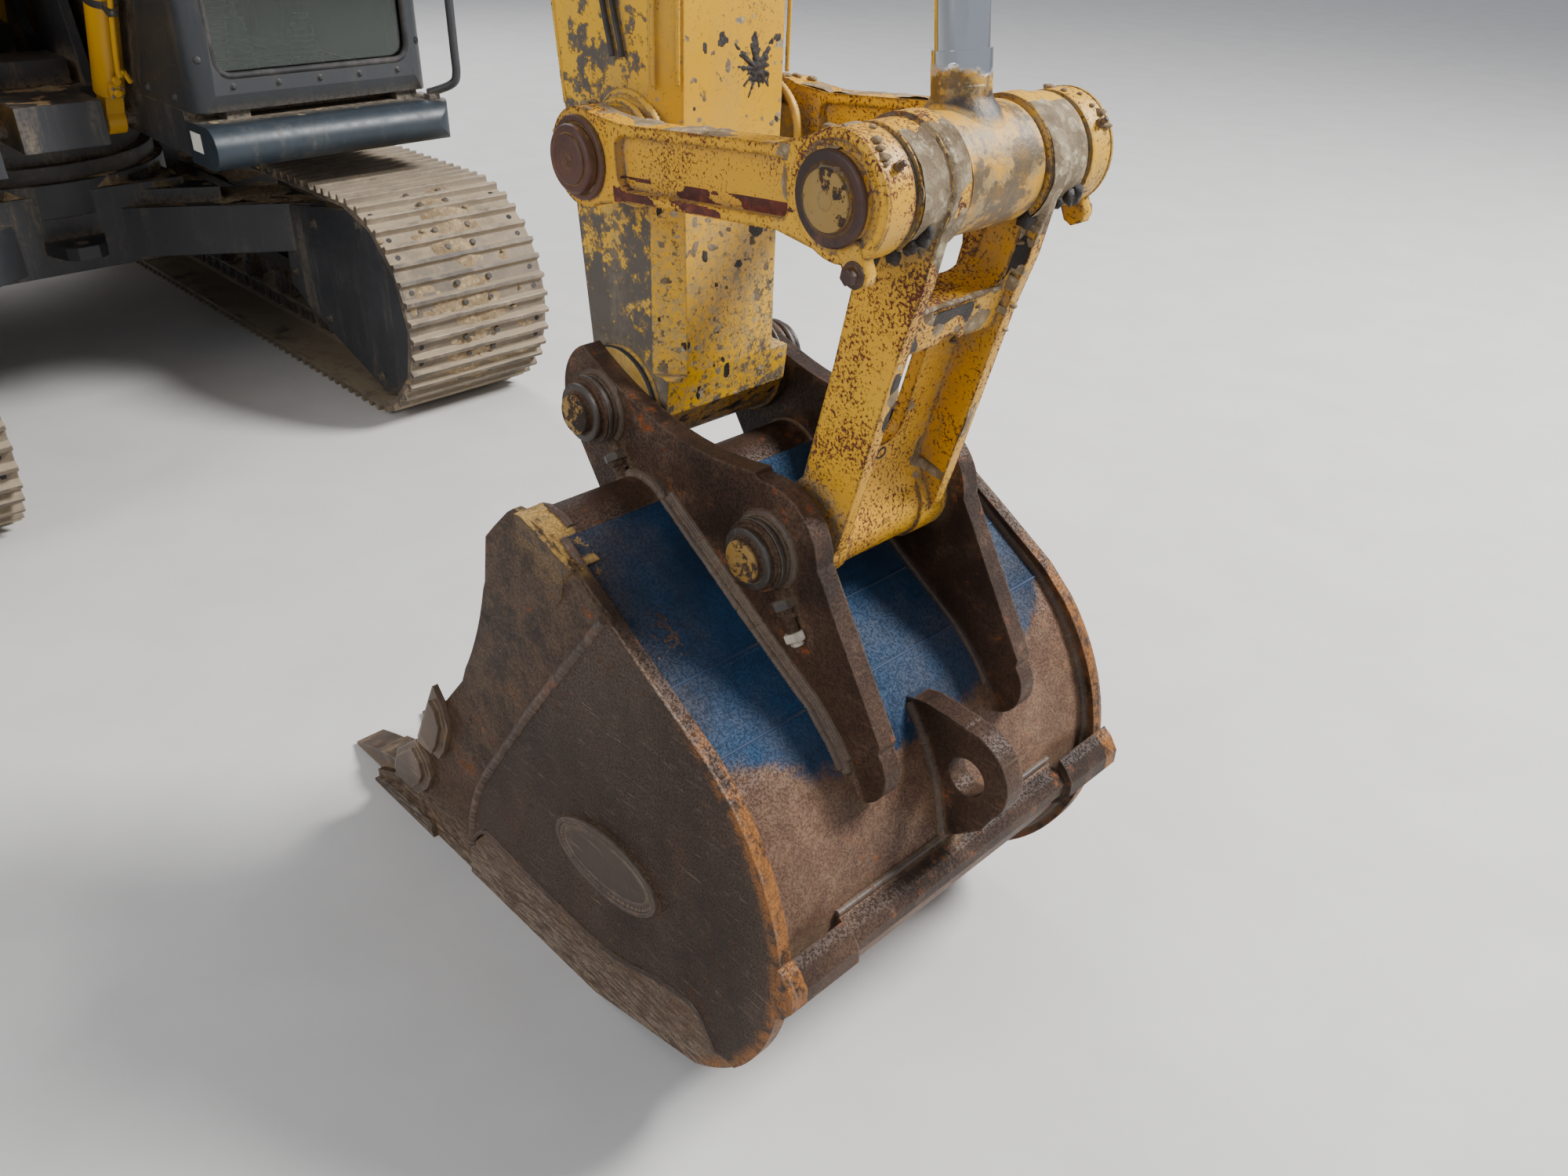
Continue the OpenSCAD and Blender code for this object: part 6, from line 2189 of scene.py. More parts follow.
        guard.plate(skirt, lambda u, v, w: Vector((u, flat + self.side * w, v)), 0.0, 0.012, 0.002)
        guard.bead([Vector((u, flat, v)) for u, v in round_end], 0.007, 42, pitch=0.010)
        for x, z in ((0.86, 0.62), (0.86, 0.40), (1.12, 0.66), (1.12, 0.26), (1.52, 0.74),
                (1.52, 0.12), (1.82, 0.43)):
            bolts.bolt((x, flat, z), (0, -self.side, 0), 0.024)
        back = self.side * (self.centre - 0.240)
        for x in (0.98, 1.30):
            guard.block((x, back, 0.380), (x + 0.05, self.side * (self.centre - 0.118), 0.500),
                0.004)
        finish(wheel, bolts, guard)

    def build(self) -> None:
        """Dresses the track."""
        self.plates()
        self.soil()
        self.running()


CYLINDERS = (
    CylinderDress(
        "bucket_cylinder", "bucket_barrel", "bucket_rod", ARM.spot(0.150, 0.534), LINK_S,
        length=1.540, radius=0.062, rod=0.038, foot_eye=0.062, rod_eye=0.085, foot_half=0.046),
    CylinderDress(
        "arm_cylinder", "arm_barrel", "arm_rod", BOOM.spot(2.300, 1.010), ARM.spot(-0.620, 0.060),
        length=1.800, radius=0.066, rod=0.040, foot_eye=0.066, rod_eye=0.072, foot_half=0.050),
    *(CylinderDress(
        f"boom_cylinder_{name}", "boom_barrels", "boom_rods", Side(0.632, 1.060),
        BOOM.spot(1.850, 0.430), length=1.320, radius=0.056, rod=0.035, foot_eye=0.060,
        rod_eye=0.066, foot_half=0.034, y=y, up=-1)
      for name, y in (("left", 0.232), ("right", -0.232))),
)


def rounded(place: Callable[[float, float], Vector], low: Pair, high: Pair, radius: float,
        steps: int = 6, pitch: float = 0.08) -> list[Vector]:
    """A rectangle with round corners.

    Args:
        place: from its own plane to the row frame.
        low: its lowest corner.
        high: its highest corner.
        radius: of its corners.
        steps: stretches of each corner.
        pitch: length of the stretches of its sides.

    Returns:
        Its points in order.
    """
    out: list[Vector] = []
    (u0, u1), (v0, v1) = ((low[k] + radius, high[k] - radius) for k in (0, 1))
    corners = ((u1, v1, 0), (u0, v1, 90), (u0, v0, 180), (u1, v0, 270))
    plain = [(u + radius * cos(radians(a + 90 * k / steps)),
            v + radius * sin(radians(a + 90 * k / steps))) for u, v, a in corners
        for k in range(steps + 1)]
    for (u0, v0), (u1, v1) in zip(plain, plain[1:] + plain[:1]):
        parts = max(1, int(hypot(u1 - u0, v1 - v0) / pitch))
        out += [place(u0 + (u1 - u0) * k / parts, v0 + (v1 - v0) * k / parts) for k in range(parts)]
    return out


def flat(axis: int, level: float) -> Callable[[float, float], Vector]:
    """A plane square to an axis.

    Args:
        axis: the axis, from 0 to 2.
        level: where along it.

    Returns:
        From the plane's two sizes to the row frame.
    """
    def place(u: float, v: float) -> Vector:
        spot = [u, v]
        spot.insert(axis, level)
        return Vector(spot)
    return place


@dataclass
class CabDress:
    """Window seals, bolts, wiper, lamps, mirrors, handle, grille and controls of the cab."""

    left: float = 1.245
    right: float = 0.305
    back: float = -0.400
    top: float = 2.870
    door_out: float = 1.242

    @staticmethod
    def front(z: float) -> float:
        """X of the cab's front face at a height."""
        rows = ((1.16, 1.31), (1.22, 1.33), (1.54, 1.335), (2.29, 1.290), (2.77, 1.150),
            (2.84, 1.09))
        for (z0, x0), (z1, x1) in zip(rows, rows[1:]):
            if z <= z1:
                return x0 + (x1 - x0) * max(0.0, z - z0) / (z1 - z0)
        return rows[-1][1]

    def seals(self) -> None:
        """Rubber lips round every window and the door."""
        p = Piece("cab_window_seals", Tone.RUBBER, "upper", "control_plastic")
        d = Piece("cab_door_seal", Tone.RUBBER, "cab_door", "control_plastic")
        def pane(y: float, z: float) -> Vector:
            return Vector((self.front(z) - (0.006 if 0.42 < y < 1.13 else 0.010), y, z))
        for low, high in (((0.395, 1.280), (1.155, 2.070)), ((0.395, 2.130), (1.155, 2.680))):
            p.tube(rounded(pane, low, high, 0.06), 0.012, 8, True)
        for piece, axis, level, low, high, corner, thick, sides in (
                (p, 1, self.left + 0.001, (-0.320, 1.780), (0.180, 2.690), 0.06, 0.011, 8),
                (p, 1, self.right - 0.001, (-0.320, 1.740), (1.080, 2.690), 0.06, 0.011, 8),
                (p, 0, self.back - 0.001, (0.395, 1.780), (1.155, 2.690), 0.06, 0.011, 8),
                (p, 2, self.top + 0.001, (0.100, 0.485), (0.800, 1.065), 0.03, 0.012, 8),
                (d, 1, self.door_out + 0.001, (0.310, 1.680), (1.110, 2.670), 0.06, 0.010, 8),
                (d, 1, self.door_out - 0.006, (0.252, 1.212), (1.168, 2.728), 0.034, 0.005, 6)):
            piece.tube(rounded(flat(axis, level), low, high, corner), thick, sides, True)
        p.make(180)
        d.make(180)

    def trim(self) -> None:
        """Pillar knobs, front crossbar, base bolts, grille, grab bar, handle and hinges."""
        knobs = Piece("cab_knobs", Tone.PLASTIC)
        metal = Piece("cab_trim", Tone.CAB)
        grey = Piece("cab_front_bar", Tone.BEAM)
        bolts = Piece("cab_bolts", Tone.CAB, "upper", "tooth_steel")
        for y, way in ((0.350, -0.35), (1.200, 0.35)):
            for z in (1.34, 1.60, 1.86, 2.12, 2.38, 2.60):
                knobs.lathe((self.front(z) - 0.022, y, z), (1, way * 1.6, 0.03),
                    mm(-4, 14, 4, 14, 9, 11, 11, 6, 11, 1), 18)
        face = self.front(2.1)
        for z in (2.088, 2.112):
            grey.tube([Vector((face - 0.014, y, z)) for y in (0.40, 0.6, 0.8, 1.0, 1.15)], 0.0085,
                10)
        grey.block((face - 0.030, 0.385, 2.078), (face - 0.006, 1.165, 2.122), 0.004)
        for y in (0.41, 1.14):
            grey.block((face - 0.036, y - 0.022, 2.066), (face + 0.004, y + 0.022, 2.134), 0.005)
            bolts.bolt((face + 0.004, y, 2.10), (1, 0, 0), 0.016)
        for x in (-0.30, 0.0, 0.20):
            bolts.bolt((x, self.left, 1.19), (0, 1, 0), 0.018)
        for x in (-0.30, 0.1, 0.5, 0.9, 1.15):
            bolts.bolt((x, self.right, 1.20), (0, -1, 0), 0.018)
        for y in (0.45, 0.62, 0.78, 0.94, 1.10):
            bolts.bolt((self.front(1.24), y, 1.245), (1, 0, 0), 0.014)
        metal.block((-0.325, self.left - 0.004, 1.300), (0.185, self.left + 0.008, 1.640), 0.005)
        for k in range(11):
            z = 1.335 + 0.027 * k
            metal.block((-0.295, self.left + 0.004, z), (0.155, self.left + 0.018, z + 0.011),
                0.003, lambda q, z=z: Vector((q.x, q.y, q.z - 0.5 * (q.y - self.left))))
        for x in (-0.310, 0.170):
            for z in (1.315, 1.625):
                bolts.bolt((x, self.left + 0.008, z), (0, 1, 0), 0.010)
        metal.tube(rounded(flat(2, self.top - 0.001), (-0.33, 0.36), (1.02, 1.19), 0.10), 0.006, 8,
            True)
        for k in range(3):
            y = 0.60 + 0.17 * k
            metal.block((0.13, y - 0.012, self.top + 0.002), (0.77, y + 0.012, self.top + 0.014),
                0.004)
        for x, y in ((0.09, 0.48), (0.81, 0.48), (0.09, 1.07), (0.81, 1.07)):
            bolts.bolt((x, y, self.top), UP, 0.018)
        metal.tube(
            curve([(-0.28, 0.42, self.top - 0.01), (-0.285, 0.42, self.top + 0.10),
                    (-0.30, 0.42, self.top + 0.34)], 8), lambda t: 0.008 - 0.0055 * t, 8)
        finish(knobs, metal, grey, bolts)
        door = Piece("cab_door_fittings", Tone.PLASTIC, "cab_door")
        frame_bar = Piece("cab_door_trim", Tone.CAB, "cab_door")
        plate = mm(1000, 1575, 1130, 1575, 1138, 1585, 1138, 1655, 1130, 1665, 1000, 1665,
                   992, 1655, 992, 1585)
        door.plate(plate, lambda u, v, y: Vector((u, y, v)), self.door_out - 0.002,
            self.door_out + 0.005)
        grip = ((1.018, 0.004, 1.635), (1.020, 0.026, 1.636), (1.050, 0.031, 1.638),
            (1.100, 0.029, 1.636), (1.116, 0.010, 1.634))
        door.tube(curve([(x, self.door_out + y, z) for x, y, z in grip], 6), 0.0075, 10)
        door.lathe((1.050, self.door_out + 0.004, 1.600), (0, 1, 0), mm(-2, 15, 4, 15, 7, 12, 7, 1),
            24)
        for z in (1.290, 2.490):
            for dz in (-0.018, 0.018):
                door.bolt((0.276, self.left + 0.011, z + dz), (0, 1, 0), 0.014)
        bar = ((0.002, 1.62), (0.030, 1.63), (0.032, 1.70), (0.032, 2.30), (0.030, 2.37),
            (0.002, 2.38))
        frame_bar.tube(curve([(0.345, self.door_out + y, z) for y, z in bar], 8), 0.0105, 10)
        frame_bar.tube(rounded(flat(1, self.door_out - 0.009), (0.345, 1.305), (1.075, 1.575),
                0.02), 0.006, 8, True)
        finish(door, frame_bar)

    def wiper(self) -> None:
        """Wiper with its arm and blade on the upper front window."""
        p = Piece("cab_wiper", Tone.PLASTIC)
        def on(y: float, z: float, off: float) -> Vector:
            return Vector((self.front(z) + off, y, z))
        pivot = on(0.74, 2.735, 0.0)
        p.lathe(pivot, (1, 0, 0.3), mm(-10, 30, 16, 30, 24, 24, 34, 13, 40, 12, 42, 1), 24)
        p.block((pivot.x - 0.02, 0.60, 2.715), (pivot.x + 0.022, 0.70, 2.765), 0.006)
        arm = curve([on(0.74, 2.733, 0.036), on(0.72, 2.66, 0.034), on(0.64, 2.52, 0.022),
                on(0.575, 2.42, 0.014)], 8)
        p.tube(arm, lambda t: 0.0075 - 0.003 * t, 8)
        p.tube([arm[2] + Vector((0.002, 0.010, 0)), arm[12] + Vector((0.004, 0.006, 0))], 0.0045, 8)
        p.tube(curve([on(0.575, z, 0.011) for z in (2.64, 2.50, 2.42, 2.34, 2.19)], 6), 0.0055, 8)
        p.tube(curve([on(0.575, z, 0.003) for z in (2.65, 2.50, 2.42, 2.34, 2.18)], 6), 0.0032, 6)
        p.make()

    def lamps(self) -> None:
        """Work lamps on the roof's front edge and mirrors on the rails."""
        body = Piece("cab_lamp_housings", Tone.PLASTIC)
        lens = Piece("cab_lamp_lenses", Tone.LENS, "upper", "glass")
        glass = Piece("mirror_glass", Tone.CHROME)
        way = (1, 0, -0.28)
        for y in (0.50, 1.05):
            mid = Vector((1.06, y, self.top + 0.085))
            body.block((mid.x - 0.04, y - 0.014, self.top + 0.01),
                (mid.x - 0.01, y + 0.014, mid.z - 0.02), 0.004)
            body.lathe(mid, way, mm(-52, 18, -44, 40, -20, 56, 18, 61, 26, 61, 26, 54, 19, 52), 36)
            lens.lathe(mid, way, mm(12, 52, 19, 52, 24, 38, 26, 18, 26.2, 1), 36)
            for k in range(6):
                body.lathe(mid, way, mm(-40 + 8 * k, 50, -38 + 8 * k, 60, -36 + 8 * k, 50), 30)
        mirrors = (((1.448, 1.215, 1.86), (0.15, 0.98, 0), (1.442, 1.292, 1.80)),
            ((1.10, -1.10, 2.20), (-0.15, 0.98, 0), (1.08, -1.17, 2.12)))
        for place, across, rail in (map(Vector, row) for row in mirrors):
            def at(u: float, v: float, w: float, place: Vector = place,
                    across: Vector = across) -> Vector:
                return place + across * u + UP * v + Vector((across.y, -across.x, 0)) * w
            ring = mm(75, 130, 60, 145, -60, 145, -75, 130, -75, -130, -60, -145, 60, -145, 75,
                -130)
            body.plate(ring, at, -0.012, 0.022, 0.008)
            glass.plate([(u * 0.9, v * 0.93) for u, v in ring], at, -0.0145, -0.0115, 0.001)
            body.tube(
                curve([rail, rail.lerp(at(0, -0.05, 0.03), 0.5) + Vector((0.02, 0, 0.01)),
                        at(0, 0.0, 0.022)], 8), 0.008, 10)
            body.block(rail - Vector((0.022, 0.022, 0.022)), rail + Vector((0.022, 0.022, 0.022)),
                0.006)
        finish(body, lens, glass)

    @staticmethod
    def bellows(piece: Piece, foot: Point, wide: float, tall: float, slim: float,
            folds: int = 6) -> None:
        """A folded rubber gaiter.

        Args:
            piece: what it goes into.
            foot: middle of its foot.
            wide: radius at its foot.
            tall: its height.
            slim: radius at its head.
            folds: number of its folds.
        """
        rows = [(0.0, wide * 1.15), (0.008, wide * 1.15)]
        for k in range(folds):
            r = wide + (slim - wide) * k / folds
            rows += [(0.012 + tall * (k + 0.25) / folds, r),
                (0.012 + tall * (k + 0.75) / folds, r * 0.80)]
        piece.lathe(foot, UP, rows + [(tall + 0.016, slim), (tall + 0.018, 0.001)], 28)

    def inside(self) -> None:
        """Consoles, gaiters, grips, monitor, pedals, floor mat and blind."""
        soft = Piece("cab_gaiters", Tone.RUBBER, "upper", "control_plastic")
        hard = Piece("cab_consoles", Tone.PLASTIC)
        pale = Piece("cab_pale_parts", Tone.BEAM)
        glow = Piece("cab_monitor_screen", Tone.GLASS_DARK, "upper", "glass")
        for y in (0.505, 1.055):
            self.bellows(soft, (0.56, y, 1.665), 0.052, 0.075, 0.022)
            hard.lathe((0.560, y, 1.845), UP, mm(-20, 17, 0, 26.5, 20, 29, 40, 26.5, 58, 29, 70, 27,
                    78, 18, 80, 1), 24)
            for k in range(2):
                pale.lathe((0.575, y - 0.008 + 0.016 * k, 1.922), (0.5, 0, 1),
                    mm(-2, 5, 3, 5, 4, 1), 12)
            hard.block((0.22, y - 0.055, 1.610), (0.66, y + 0.055, 1.672), 0.014)
            hard.block((0.30, y - 0.045, 1.26), (0.56, y + 0.045, 1.612), 0.012)
            for k in range(4):
                pale.lathe((0.30 + 0.05 * k, y, 1.672), UP, mm(-2, 13, 8, 12, 10, 9, 10, 1), 16)
        for y in (0.64, 0.90):
            self.bellows(pale, (0.98, y, 1.238), 0.058, 0.17, 0.034, 8)
            hard.block((0.955, y - 0.055, 1.640), (1.035, y + 0.055, 1.662), 0.008,
                lambda q: Vector((q.x, q.y, q.z + 0.35 * (q.x - 0.98))))
            for k in range(5):
                soft.block((0.960 + 0.014 * k, y - 0.050, 1.656 + 0.005 * k),
                    (0.967 + 0.014 * k, y + 0.050, 1.667 + 0.005 * k), 0.002)
            knob = (1.0, y + copysign(0.03, y - 0.8), 1.86)
            hard.tube(curve([(0.985, y, 1.65), (1.0, y, 1.75), knob], 6), 0.009, 10)
            hard.lathe(knob, UP, mm(-10, 12, 0, 18, 20, 20, 35, 14, 38, 1), 18)
        for k in range(15):
            soft.block((0.62 + 0.044 * k, 0.42, 1.2195), (0.640 + 0.044 * k, 1.13, 1.2255), 0.002)
        hard.plate(mm(385, 1865, 535, 1865, 545, 1875, 545, 2045, 535, 2055, 385, 2055, 375, 2045,
                375, 1875), lambda u, v, w: Vector((0.690 - w, u, v)), -0.032, 0.010, 0.008)
        glow.plate(mm(395, 1905, 525, 1905, 525, 2035, 395, 2035),
            lambda u, v, w: Vector((0.690 - w, u, v)), 0.009, 0.0115, 0.001)
        for k in range(5):
            pale.lathe((0.679, 0.400 + 0.030 * k, 1.885), (-1, 0, 0), mm(-2, 8, 3, 7, 3, 1), 12)
        hard.block((1.02, 0.36, 1.225), (1.20, 0.42, 1.50), 0.02)
        hard.block((-0.335, 0.40, 1.24), (-0.02, 1.15, 1.66), 0.03)
        for k in range(7):
            hard.block((-0.30, 0.46 + 0.09 * k, 1.655), (-0.06, 0.50 + 0.09 * k, 1.672), 0.005)
        for k in range(18):
            pale.block((0.13 + 0.036 * k, 0.50, 2.800 + 0.002 * (k % 2)),
                (0.155 + 0.036 * k, 1.05, 2.806 + 0.002 * (k % 2)), 0.002)
        finish(soft, hard, pale, glow)

    def build(self) -> None:
        """Dresses the cab."""
        self.seals()
        self.trim()
        self.wiper()
        self.lamps()
        self.inside()


@dataclass
class SeatDress:
    """The suspended seat: five padded cushions with piping on a frame and bellows."""

    voxel: float = 0.009
    pressure: float = 4.0
    cap: float = 0.012

    def pad(self, name: str, low: Point, high: Point, round_off: float, lean: float = 0.0,
            crown: float = 0.0, fill: float = 0.8) -> bpy.types.Object:
        """One cushion: a rounded form, blown up a little by the cloth simulation.

        Args:
            name: its name.
            low: lowest corner of its space.
            high: highest corner of its space.
            round_off: radius of its edges.
            lean: shift of its top along X.
            crown: how far its sides pull in between the corners.
            fill: not used.

        Returns:
            The cushion.
        """
        low, high = Vector(low), Vector(high)
        shape = bmesh.new()
        bmesh.ops.create_cube(shape, size=2)
        bmesh.ops.subdivide_edges(shape, edges=shape.edges[:], cuts=9, use_grid_fill=True)
        half, mid = (high - low) / 2 - Vector([self.cap] * 3) * 0.6, (high + low) / 2
        rim = min(round_off, min(half) * 0.95)
        for v in shape.verts:
            raw = Vector(v.co[k] * half[k] for k in range(3))
            core = Vector(max(-(half[k] - rim), min(half[k] - rim, raw[k])) for k in range(3))
            out = raw - core
            p = core + (out.normalized() * rim if out.length > 1e-9 else out)
            thin = min(range(3), key=lambda k: half[k])
            for k in range(3):
                if k != thin:
                    other = 3 - k - thin
                    p[k] -= copysign(crown * (1 - abs(v.co[other]) ** 2) * abs(v.co[k]) ** 3, p[k])
            p.x += lean * (v.co.z + 1) / 2
            v.co = mid + p
        mesh = bpy.data.meshes.new(name)
        shape.to_mesh(mesh)
        shape.free()
        pad = bpy.data.objects.new(name, mesh)
        bpy.context.scene.collection.objects.link(pad)
        self.inflate(pad)
        soft = pad.modifiers.new("smooth", "SUBSURF")
        soft.levels = soft.render_levels = 1
        pad.data.shade_smooth()
        pad.data.materials.clear()
        pad.data.materials.append(Tone.CLOTH.value.material())
        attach(pad, "upper")
        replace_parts(pad, "seat")
        log.info("%s: padded, %d faces", name, len(pad.data.polygons))
        return pad

    def inflate(self, pad: bpy.types.Object) -> None:
        """Remeshes a form, runs its cloth under pressure and keeps the capped result.

        Args:
            pad: the cushion.
        """
        graph = bpy.context.evaluated_depsgraph_get
        mesher = pad.modifiers.new("mesher", "REMESH")
        mesher.mode = "VOXEL"
        mesher.voxel_size = self.voxel
        fine = bpy.data.meshes.new_from_object(pad.evaluated_get(graph()))
        pad.modifiers.clear()
        pad.data = fine
        before = [v.co.copy() for v in fine.vertices]
        cloth = pad.modifiers.new("cloth", "CLOTH")
        cloth.settings.use_pressure = True
        cloth.settings.uniform_pressure_force = self.pressure
        cloth.settings.effector_weights.gravity = 0
        cloth.point_cache.frame_start, cloth.point_cache.frame_end = 1, 20
        scene = bpy.context.scene
        for frame_number in range(1, 21):
            scene.frame_set(frame_number)
        blown = bpy.data.meshes.new_from_object(pad.evaluated_get(graph()))
        pad.modifiers.clear()
        scene.frame_set(1)
        for v, start in zip(blown.vertices, before):
            move = v.co - start
            if move.length > self.cap:
                v.co = start + move * (self.cap / move.length)
        pad.data = blown

    def piping(self, pad: bpy.types.Object, name: str, thin: int, share: float) -> None:
        """Sewn piping that follows a cushion's rim.

        Args:
            pad: the cushion.
            name: the piping's name.
            thin: axis across the cushion.
            share: where along that axis, from 0 to 1.
        """
        mesh = pad.data
        tree = BVHTree.FromPolygons([v.co.copy() for v in mesh.vertices],
            [tuple(p.vertices) for p in mesh.polygons])
        low = Vector(min(v.co[k] for v in mesh.vertices) for k in range(3))
        high = Vector(max(v.co[k] for v in mesh.vertices) for k in range(3))
        mid = (low + high) / 2
        flat = [k for k in range(3) if k != thin]
        path = []
        mid[thin] = low[thin] + (high[thin] - low[thin]) * share
        for u, v in circle(96):
            way = Vector((0, 0, 0))
            for k, part in zip(flat, (u, v)):
                way[k] = part * (high[k] - low[k])
            way.normalize()
            place = tree.ray_cast(mid + way * 0.6, -way, 0.7)[0]
            if place is not None:
                path.append(place)
        p = Piece(name, Tone.PLASTIC, "upper", "seat_fabric")
        p.tube(path, 0.0035, 6, True)
        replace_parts(p.make(180), "seat")

    def build(self) -> None:
        """Builds the seat."""
        cushion = self.pad("seat_cushion", (0.105, 0.562, 1.475), (0.600, 0.998, 1.600), 0.045,
            crown=0.010)
        back = self.pad("seat_backrest", (0.105, 0.574, 1.600), (0.205, 0.986, 2.090), 0.042,
            lean=-0.045, crown=0.012)
        head = self.pad("seat_headrest", (0.080, 0.680, 2.130), (0.150, 0.880, 2.295), 0.030,
            lean=-0.010, crown=0.006, fill=0.9)
        for name, y in (("right", 0.472), ("left", 1.022)):
            self.pad(f"seat_armrest_{name}", (0.190, y, 1.606), (0.610, y + 0.066, 1.660), 0.022,
                crown=0.002, fill=0.9)
        for pad, thin, share in ((cushion, 2, 0.72), (cushion, 2, 0.16), (back, 0, 0.5),
                (head, 0, 0.5)):
            self.piping(pad, f"{pad.name}_piping_{int(share * 100)}", thin, share)
        frame_piece = Piece("seat_frame", Tone.PLASTIC)
        frame_piece.block((0.090, 0.580, 1.440), (0.590, 0.980, 1.478), 0.010)
        rows = [(0.0, 0.15), (0.012, 0.15)]
        for k in range(7):
            rows += [(0.020 + 0.026 * k, 0.145), (0.033 + 0.026 * k, 0.120)]
        frame_piece.lathe((0.345, 0.780, 1.235), UP, rows + [(0.205, 0.14), (0.21, 0.001)], 40)
        frame_piece.block((0.15, 0.62, 1.2205), (0.55, 0.94, 1.240), 0.006)
        for y in (0.735, 0.825):
            frame_piece.tube([(0.122, y, 2.06), (0.112, y, 2.16)], 0.006, 10)
        for y in (0.545, 1.015):
            frame_piece.tube(curve([(0.150, y, 1.60), (0.170, y, 1.60), (0.24, y, 1.605)], 6),
                0.014, 10)
            frame_piece.block((0.110, y - 0.012, 1.46), (0.190, y + 0.012, 1.62), 0.006)
        frame_piece.tube(
            curve([(0.17, 0.556, 1.50), (0.30, 0.552, 1.53), (0.42, 0.557, 1.60),
                    (0.46, 0.60, 1.608), (0.44, 0.78, 1.612), (0.40, 0.95, 1.608),
                    (0.30, 1.004, 1.55), (0.2, 1.003, 1.50)], 10), 0.006, 8)
        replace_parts(frame_piece.make(), "seat")


@dataclass
class RailDress:
    """Bent hand rails that stand for the straight ones of the source."""

    right: float = -1.17

    def build(self) -> None:
        """Bends the rails and bolts their feet."""
        p = Piece("hand_rails_bent", Tone.DARK)
        left = [(1.345, 1.214, 1.150), (1.372, 1.232, 1.160), (1.425, 1.277, 1.188),
            (1.441, 1.291, 1.225), (1.442, 1.292, 1.32), (1.442, 1.292, 1.60), (1.442, 1.292, 1.90),
            (1.438, 1.288, 1.965), (1.415, 1.270, 1.998), (1.370, 1.236, 2.016),
            (1.316, 1.204, 2.030)]
        p.tube(curve(left, 8), 0.0165, 16)
        right = mm(1080, 1602, 1080, 1900, 1080, 2260, 1072, 2325, 1035, 2357, 950, 2360, 700, 2360,
            500, 2360, 445, 2355, 408, 2320, 400, 2250, 400, 2000, 400, 1822)
        p.tube(curve([(x, self.right, z) for x, z in right], 8), 0.0170, 16)
        p.tube([(x, self.right, 1.98) for x in (1.08, 0.75, 0.40)], 0.0140, 12)
        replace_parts(p.make(), "hand_rails")
        feet = Piece("hand_rail_feet", Tone.DARK)
        feet.block((1.334, 1.194, 1.1303), (1.382, 1.242, 1.148), 0.004)
        for x, z in ((1.08, 1.600), (0.40, 1.820)):
            feet.lathe((x, self.right, z), UP, mm(0, 42, 8, 42, 10, 38, 10, 20, 18, 18.5), 28)
            for a in (0.0, 2.1, 4.2):
                feet.bolt((x + 0.031 * cos(a), self.right + 0.031 * sin(a), z + 0.010), UP, 0.012)
        feet.block((1.300, 1.188, 2.012), (1.322, 1.222, 2.048), 0.003)
        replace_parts(feet.make(), "hand_rails")


